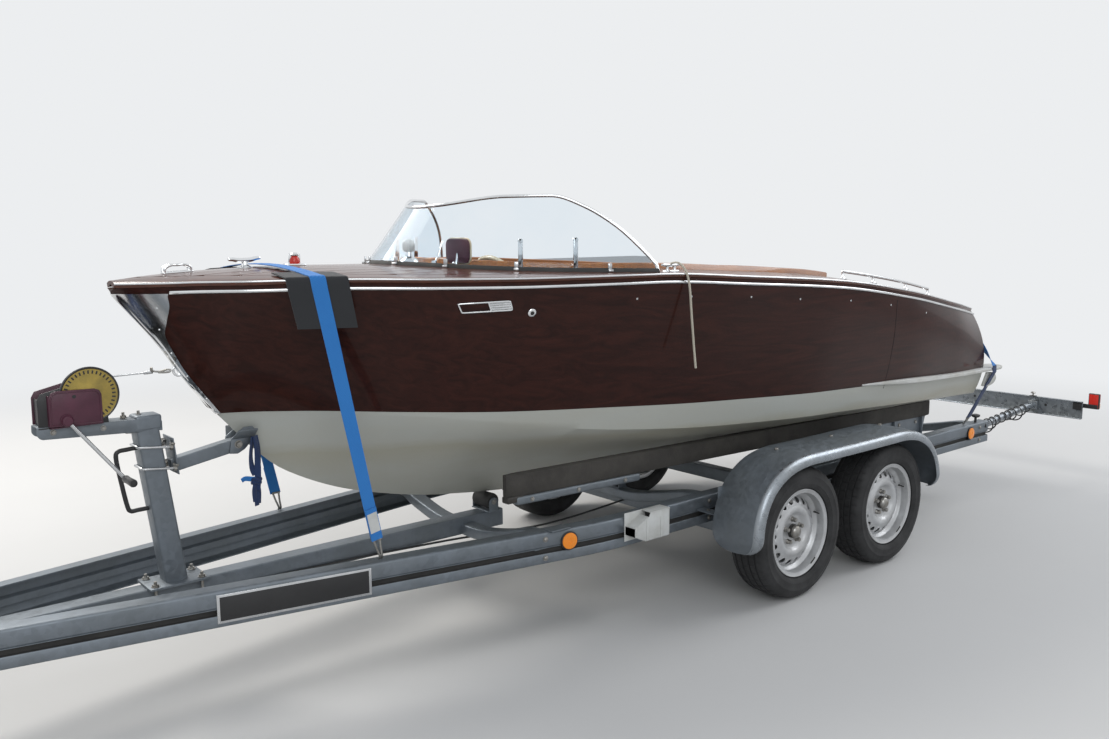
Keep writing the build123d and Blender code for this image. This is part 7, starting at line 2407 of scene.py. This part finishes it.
def makeDrive():
    v = driveMake
    axis = Vector(v["axis"])
    centre = Vector((v["propeller"][0], 0, v["propeller"][1]))
    back = (Vector((v["start"][0], 0, v["start"][1])) - centre).dot(axis)
    build = Build(bronze, steelBolt, chrome)
    build.rod(v["shaft"], back + 0.004, -0.012, centre, axis, 28, 1)
    hub = [(0, -0.038), (0.0255, -0.038), (0.0275, -0.03), (0.027, -0.01), (0.0235, 0.018), (0.0205, 0.026),
           (0.017, 0.03), (0.0165, 0.04), (0.009, 0.047), (0, 0.049)]
    build.turn(hub, centre, axis, 40)
    build.rod(0.0185, 0.028, 0.036, centre, axis, 6, 2)
    up = Vector((0, 0, 1)) - axis * axis.z
    up.normalize()
    side = axis.cross(up)
    for turn in range(3):
        spin = Matrix.Rotation(2 * math.pi * turn / 3, 3, axis)
        rings = []
        for t in steps(0, 1, 14):
            r = 0.02 + (v["blade"] - 0.0205) * t
            chord = 0.036 + 0.052 * math.sin(math.pi * min(1.0, 0.1 + t * 0.9)) ** 0.8 - 0.02 * t
            chord *= 1 - max(0.0, (t - 0.86) / 0.14) ** 2 * 0.72
            pitch = math.atan2(0.036, r)
            thick = 0.0042 * (1 - t) + 0.0009
            out, sweep = spin @ up, 0.01 * t * t
            across = spin @ side
            ring = []
            for c, h in ((-0.5, 0), (-0.36, 0.7), (-0.12, 1), (0.14, 0.9), (0.38, 0.5), (0.5, 0),
                         (0.38, -0.3), (0.14, -0.5), (-0.12, -0.5), (-0.36, -0.35)):
                a = (c * chord + sweep) / max(r, 0.03)
                a *= math.cos(pitch)
                lengthwise = c * chord * math.sin(pitch) * 0.9
                ring.append(centre + (out * math.cos(a) + across * math.sin(a)) * r
                            + axis * (lengthwise - 0.008 + h * thick))
            rings.append(ring)
        build.rings(rings)
    build.done("propeller", "propeller", ("propeller",), sharp=50)
    # stern tube, strut and gland
    gear = Build(bronze, steelBolt)
    inner = v["shaft"] + 0.0024
    strut = Vector((v["strut"][0], 0, v["strut"][1]))
    gear.turn([(inner, -0.044), (0.0195, -0.044), (0.0222, -0.034), (0.0222, 0.03), (0.019, 0.044),
               (inner, 0.044)], strut, axis, 32)
    foot = hullUnder(strut.x, 0.0)
    rings = []
    for t in steps(0, 1, 8):
        z = strut.z + 0.016 + (foot + 0.004 - strut.z - 0.016) * t
        half, wide = 0.026 + 0.008 * t * t, 0.0052 + 0.0006 * t
        rings.append([(strut.x + x * half, y * wide, z) for x,
                      y in ((-1, 0), (-0.6, 0.75), (0, 1), (0.6, 0.8), (1, 0), (0.6, -0.8), (0, -1),
                            (-0.6, -0.75))])
    gear.rings(rings)
    tip = Vector((-1.77, 0, v["start"][1] - 0.0109))
    gear.turn([(inner, -0.16), (0.0235, -0.16), (0.0235, 0.006), (0.0205, 0.014), (inner, 0.014)], tip, axis,
              32)
    for k in range(3):
        gear.turn([(inner + 0.006, -0.004), (0.0262, -0.004), (0.0262, 0.004), (inner + 0.006, 0.004)],
                  tip + axis * (-0.012 - 0.02 * k) , axis, 32)
    x = v["rudder"]
    gear.turn([(0.0166, -0.021), (0.0225, -0.021), (0.0258, -0.012), (0.0258, 0.008), (0.0166, 0.008)],
              (x, 0, hullUnder(x, 0.0)), (0, 0, 1), 28)
    gear.done("runningGear", whole, ("running_gear",), sharp=45)
    blade = Build(bronze, steelBolt)
    keel = v["keel"]
    blade.rod(0.0138, -0.088, -0.002, (x, 0, keel), (0, 0, 1), 24, 1)
    rings = []
    for t in steps(0, 1, 10):
        front, rear = 0.034 - 0.015 * t, -0.129 + 0.02 * t
        z = keel - 0.038 - 0.168 * t + 0.006 * math.sin(math.pi * t)
        ring = []
        for c, half in ((0, 0.0006), (0.06, 0.0034), (0.2, 0.0048), (0.42, 0.0048), (0.72, 0.0032),
                        (1, 0.0008)):
            ring.append((x + front + (rear - front) * c, half, z))
        ring += [(px, -py, pz) for px, py, pz in reversed(ring)]
        rings.append(ring)
    blade.rings(rings)
    blade.done("rudder", "rudder", ("rudder",), sharp=45)


makeEngine()
makeDrive()
paint("bulkheads", cabinWood)
print("engine and drive built")

# coupling and jockey wheel
couplingMake = {"plate": (3.141, 3.269), "plateHalf": 0.108, "rod": 0.4375, "lever": 0.0098}
jockeyMake = {"x": 2.92, "y": 0.2172, "hub": 2.875, "axle": 0.1, "tube": (0.432, 0.852),
              "leg": (0.224, 0.634)}


def makeCoupling():
    v = couplingMake
    build = Build(brightZinc, blackPlastic, steelBolt, galvanised, rubber, redLens)
    x0, x1 = v["plate"]
    build.block((x0, -v["plateHalf"], 0.482), (x1, v["plateHalf"], 0.4892), 0.002, 3)
    for x in (x0 + 0.025, x1 - 0.025):
        for y in (-0.085, 0.085):
            bolt(build, (x, y, 0.4885), (0, 0, 1), 0.0085, 2, 0.004)
    # overrun housing with its grease points and gaiter
    build.block((3.142, -0.0335, 0.388), (3.575, 0.0335, 0.489), 0.01, 0, None, 4)
    for x in (3.3, 3.5):
        build.block((x - 0.012, -0.0338, 0.385 + 0.004), (x + 0.012, 0.0338, 0.4893), 0.006, 0, None, 3)
    profile = [(0.0235, 3.568)]
    for k in range(7):
        profile += [(0.0315 - 0.0008 * k, 3.572 + 0.0085 * k), (0.0245, 3.5765 + 0.0085 * k)]
    profile += [(0.0235, 3.64)]
    build.turn([(0, 3.568)] + profile + [(0, 3.64)], (0, 0, v["rod"]), (1, 0, 0), 36, 4)
    # ball head, hollow below, with its latch handle
    sections = ((3.641, 0.03, 0.066), (3.655, 0.036, 0.07), (3.685, 0.0372, 0.0715), (3.725, 0.0375, 0.066),
                (3.755, 0.034, 0.052), (3.769, 0.022, 0.04))
    rings = []
    for x, half, high in sections:
        low, top = 0.3985, 0.3975 + high
        ring = [(x, -half, low), (x, -half, top - 0.016), (x, -half * 0.82, top - 0.005),
                (x, -half * 0.4, top), (x, half * 0.4, top), (x, half * 0.82, top - 0.005),
                (x, half, top - 0.016), (x, half, low)]
        inside = half * 0.8
        ring += [(x, inside, low), (x, inside * 0.86, min(top - 0.008, 0.439)),
                 (x, -inside * 0.86, min(top - 0.008, 0.439)), (x, -inside, low)]
        rings.append(ring)
    build.rings(rings, 0)
    handle = [Vector((3.742, 0, 0.452)), Vector((3.715, 0, 0.4685)), Vector((3.672, 0, 0.469))]
    build.tube(curved(handle, 5), 0.0055, 10, 1)
    # handbrake lever with its grip and button
    lever = [Vector((3.36, 0, 0.487)), Vector((3.36, 0, 0.5415)), Vector((3.3, 0, 0.634)),
             Vector((3.232, 0, 0.74))]
    line = [lever[0], lever[1] - Vector((0, 0, 0.015)), lever[1] + Vector((-0.006, 0, 0.008))] + lever[2:]
    build.tube(curved(line, 6), v["lever"], 14)
    way = (lever[3] - lever[2]).normalized()
    build.turn([(0, -0.095), (0.0098, -0.095), (0.01, -0.09), (0.0098, -0.006), (0.0085, -0.001),
                (0, -0.001)], lever[3], way, 24, 1)
    for k in range(6):
        build.turn([(0.0096, -0.003), (0.01, -0.002), (0.01, 0.002), (0.0096, 0.003)],
                   lever[3] - way * (0.018 + 0.012 * k), way, 24, 4)
    for side in (1, -1):
        build.prism([(3.325, side * 0.012, 0.4885), (3.395, side * 0.012, 0.4885),
                     (3.378, side * 0.012, 0.535), (3.35, side * 0.012, 0.545)],
                    (0, side * 0.004, 0), 0.001, 0)
    bolt(build, (3.362, 0.016, 0.522), (0, 1, 0), 0.006, 2, 0.004)
    build.done("coupling", whole, ("coupling",), sharp=40)


def makeJockey():
    v = jockeyMake
    x, y = v["x"], v["y"]
    low, high = v["tube"]
    build = Build(brightZinc, blackPlastic, steelBolt, galvanised)
    bore = 0.0262
    build.turn([(bore, low + 0.001), (0.0298, low + 0.001), (0.0298, high - 0.012), (0.0285, high - 0.003),
                (0.024, high), (0, high), (0, high - 0.007), (bore, high - 0.007)][::-1],
               (x, y, 0), (0, 0, 1), 40)
    for z in (low + 0.012, high - 0.03):
        build.turn([(0.0285, -0.006), (0.03, -0.005), (0.03, 0.005), (0.0285, 0.006)], (x, y, z), (0, 0, 1),
                   40)
    near = memberOuter(x)
    # two clamp halves round the tube, pinched by a handled screw
    for z0, z1 in ((0.3685, 0.408), (0.432, 0.4708)):
        build.block((x - 0.029, near, z0), (x - 0.019, y - 0.012, z1), 0.0025, 3)
        build.block((x + 0.019, near, z0), (x + 0.029, y - 0.012, z1), 0.0025, 3)
    build.block((x - 0.0295, near + 0.0002, 0.368), (x + 0.0295, near + 0.009, 0.4712), 0.002, 3)
    bolt(build, (x - 0.024, near + 0.009, 0.42), (0, 1, 0), 0.007, 2, 0.004)
    bolt(build, (x + 0.024, near + 0.009, 0.42), (0, 1, 0), 0.007, 2, 0.004)
    # winding handle
    top = high + 0.0135
    build.turn([(0, -0.016), (0.0095, -0.016), (0.0095, 0.008), (0.007, 0.0125), (0, 0.0135)], (x, y, top),
               (0, 0, 1), 24, 2)
    crank = [Vector((x, y, top)), Vector((x - 0.03, y, top)), Vector((x - 0.095, y, top + 0.003)),
             Vector((x - 0.112, y, top + 0.008)), Vector((x - 0.12, y, top + 0.022))]
    build.tube(curved(crank, 6), 0.0068, 14)
    build.turn([(0, 0.016), (0.0085, 0.016), (0.0108, 0.024), (0.0096, 0.052), (0.0106, 0.06),
                (0.0104, 0.066), (0.006, 0.0705), (0, 0.071)],
               (x - 0.12, y, top - 0.006), (0, 0, 1), 24, 1)
    build.done("jockeyTube", whole, ("jockey_tube",), sharp=42)
    leg = Build(brightZinc, steelBolt)
    a, b = v["leg"]
    leg.turn([(0, a), (0.024, a), (0.0258, a + 0.002), (0.0258, b - 0.003), (0.024, b), (0, b)], (x, y, 0),
             (0, 0, 1), 40)
    leg.turn([(0.015, a + 0.0005), (0.0259, a + 0.0005), (0.0259, a + 0.01), (0.015, a + 0.01)], (x, y, 0),
             (0, 0, 1), 40, 1)
    leg.done("jockeyLeg", "jockey_leg", ("jockey_leg",), sharp=42)
    fork = Build(brightZinc, steelBolt)
    hub, head = v["hub"], 0.208
    fork.block((x - 0.0415, y - 0.0408, head), (x + 0.0315, y + 0.0408, head + 0.0078), 0.003)
    fork.turn([(0, 0.007), (0.024, 0.007), (0.0236, 0.015), (0, 0.0154)], (x, y, head), (0, 0, 1), 36)
    for side in (1, -1):
        face = y + side * 0.0362
        outline = [(x - 0.041, face, head + 0.005), (x + 0.0295, face, head + 0.005),
                   (x + 0.02, face, head - 0.03), (hub + 0.0215, face, 0.1), (hub + 0.016, face, 0.0885),
                   (hub, face, 0.0845), (hub - 0.016, face, 0.0885), (hub - 0.0215, face, 0.1),
                   (x - 0.043, face, head - 0.04)]
        fork.prism(outline, (0, side * 0.0044, 0), 0.0012)
        bolt(fork, (hub, face + side * 0.0044, v["axle"]), (0, side, 0), 0.0065, 1, 0.001)
    fork.rod(0.0078, -0.0405, 0.0405, (hub, y, v["axle"]), (0, 1, 0), 24, 1)
    fork.done("jockeyFork", "jockey_fork", ("jockey_fork",), sharp=42)
    wheel = Build(rubber, brightZinc, blackPlastic)
    half = [(0.066, -0.0262), (0.07, -0.0285), (0.088, -0.0295), (0.0965, -0.0255), (0.0998, -0.017),
            (0.1, -0.006)]
    wheel.turn(half + [(r, -h) for r, h in reversed(half)] + [(0.066, 0.0)], (hub, y, v["axle"]), (0, 1, 0),
               72)
    dish = [(0.0665, -0.0265), (0.0695, -0.027), (0.064, -0.0215), (0.058, -0.011), (0.03, -0.0105),
            (0.0255, -0.014), (0.0215, -0.0292), (0.0088, -0.0292)]
    wheel.turn(dish + [(r, -h) for r, h in reversed(dish)] + [(0.066, 0.0)], (hub, y, v["axle"]), (0, 1, 0),
               60, 1)
    wheel.done("jockeyWheel", "jockey_wheel", ("jockey_wheel",), sharp=45)


makeCoupling()
makeJockey()
print("coupling and jockey wheel built")


# stage and light
stageMake = {"floor": (0.6, 0.595, 0.585), "sky": (0.84, 0.855, 0.87), "ambient": 0.55, "near": 4.4,
             "far": 9.0}
lampTable = (
    # name, place, size, power, colour
    ("key", (3.5, -6.0, 7.5), 4.5, 760, (1.0, 0.97, 0.92)),
    ("fill", (5.0, 8.0, 6.0), 6.0, 300, (0.94, 0.97, 1.0)),
    ("back", (-7.5, 3.0, 7.0), 6.0, 360, (0.95, 0.97, 1.0)),
)


def floorFinish():
    # pale floor that fades into the backdrop far away
    v = stageMake
    material, tree, shader = bare("floorPaint")
    marks = placed(tree, wear, Scale=0.7, Contrast=1.0, Fine_Scale=60.0)
    join(tree, blendColours(tree, marks.outputs[0], tuple(c * 0.93 for c in v["floor"]), v["floor"]),
         shader.inputs["Base Color"])
    shader.inputs["Roughness"].default_value = 0.75
    place = node(tree, "ShaderNodeTexCoord").outputs["Object"]
    length = node(tree, "ShaderNodeVectorMath", operation="LENGTH")
    join(tree, place, length.inputs[0])
    fade = node(tree, "ShaderNodeMapRange", in_1=v["near"], in_2=v["far"], interpolation_type="SMOOTHSTEP")
    join(tree, length.outputs["Value"], fade.inputs[0])
    paths = tree.nodes.new("ShaderNodeLightPath")
    sky = node(tree, "ShaderNodeEmission", in_0=(*v["sky"], 1), in_1=1.0)
    seen = tree.nodes.new("ShaderNodeMixShader")
    join(tree, maths(tree, "MULTIPLY", fade.outputs[0], paths.outputs["Is Camera Ray"]), seen.inputs[0])
    join(tree, shader.outputs[0], seen.inputs[1])
    join(tree, sky.outputs[0], seen.inputs[2])
    join(tree, seen.outputs[0], tree.nodes["Material Output"].inputs[0])
    return material


def makeStage():
    build = Build(floorFinish())
    reach = 40.0
    build.add([(-reach, -reach, 0), (reach, -reach, 0), (reach, reach, 0), (-reach, reach, 0)],
              [[0, 1, 2, 3]])
    floor = build.done("floor")
    world = bpy.data.worlds.new("studio")
    scene.world = world
    world.use_nodes = True
    tree = world.node_tree
    tree.nodes.clear()
    paths = tree.nodes.new("ShaderNodeLightPath")
    seen = maths(tree, "MAXIMUM", maths(tree, "MAXIMUM", paths.outputs["Is Camera Ray"],
                                        paths.outputs["Is Transmission Ray"]), paths.outputs["Is Glossy Ray"])
    soft = node(tree, "ShaderNodeBackground", in_0=(0.9, 0.94, 1.0, 1), in_1=stageMake["ambient"])
    plain = node(tree, "ShaderNodeBackground", in_0=(*stageMake["sky"], 1), in_1=1.0)
    mix = tree.nodes.new("ShaderNodeMixShader")
    join(tree, seen, mix.inputs[0])
    join(tree, soft.outputs[0], mix.inputs[1])
    join(tree, plain.outputs[0], mix.inputs[2])
    join(tree, mix.outputs[0], tree.nodes.new("ShaderNodeOutputWorld").inputs[0])
    for name, place, size, power, colour in lampTable:
        light = bpy.data.lights.new(name, "AREA")
        light.size, light.energy, light.color = size, power, colour
        lamp = bpy.data.objects.new(name, light)
        lamp.location = place
        lamp.rotation_euler = (Vector((0, 0, 0.8)) - Vector(place)).to_track_quat("-Z", "Y").to_euler()
        scene.collection.objects.link(lamp)


makeStage()
print("stage and lights set")
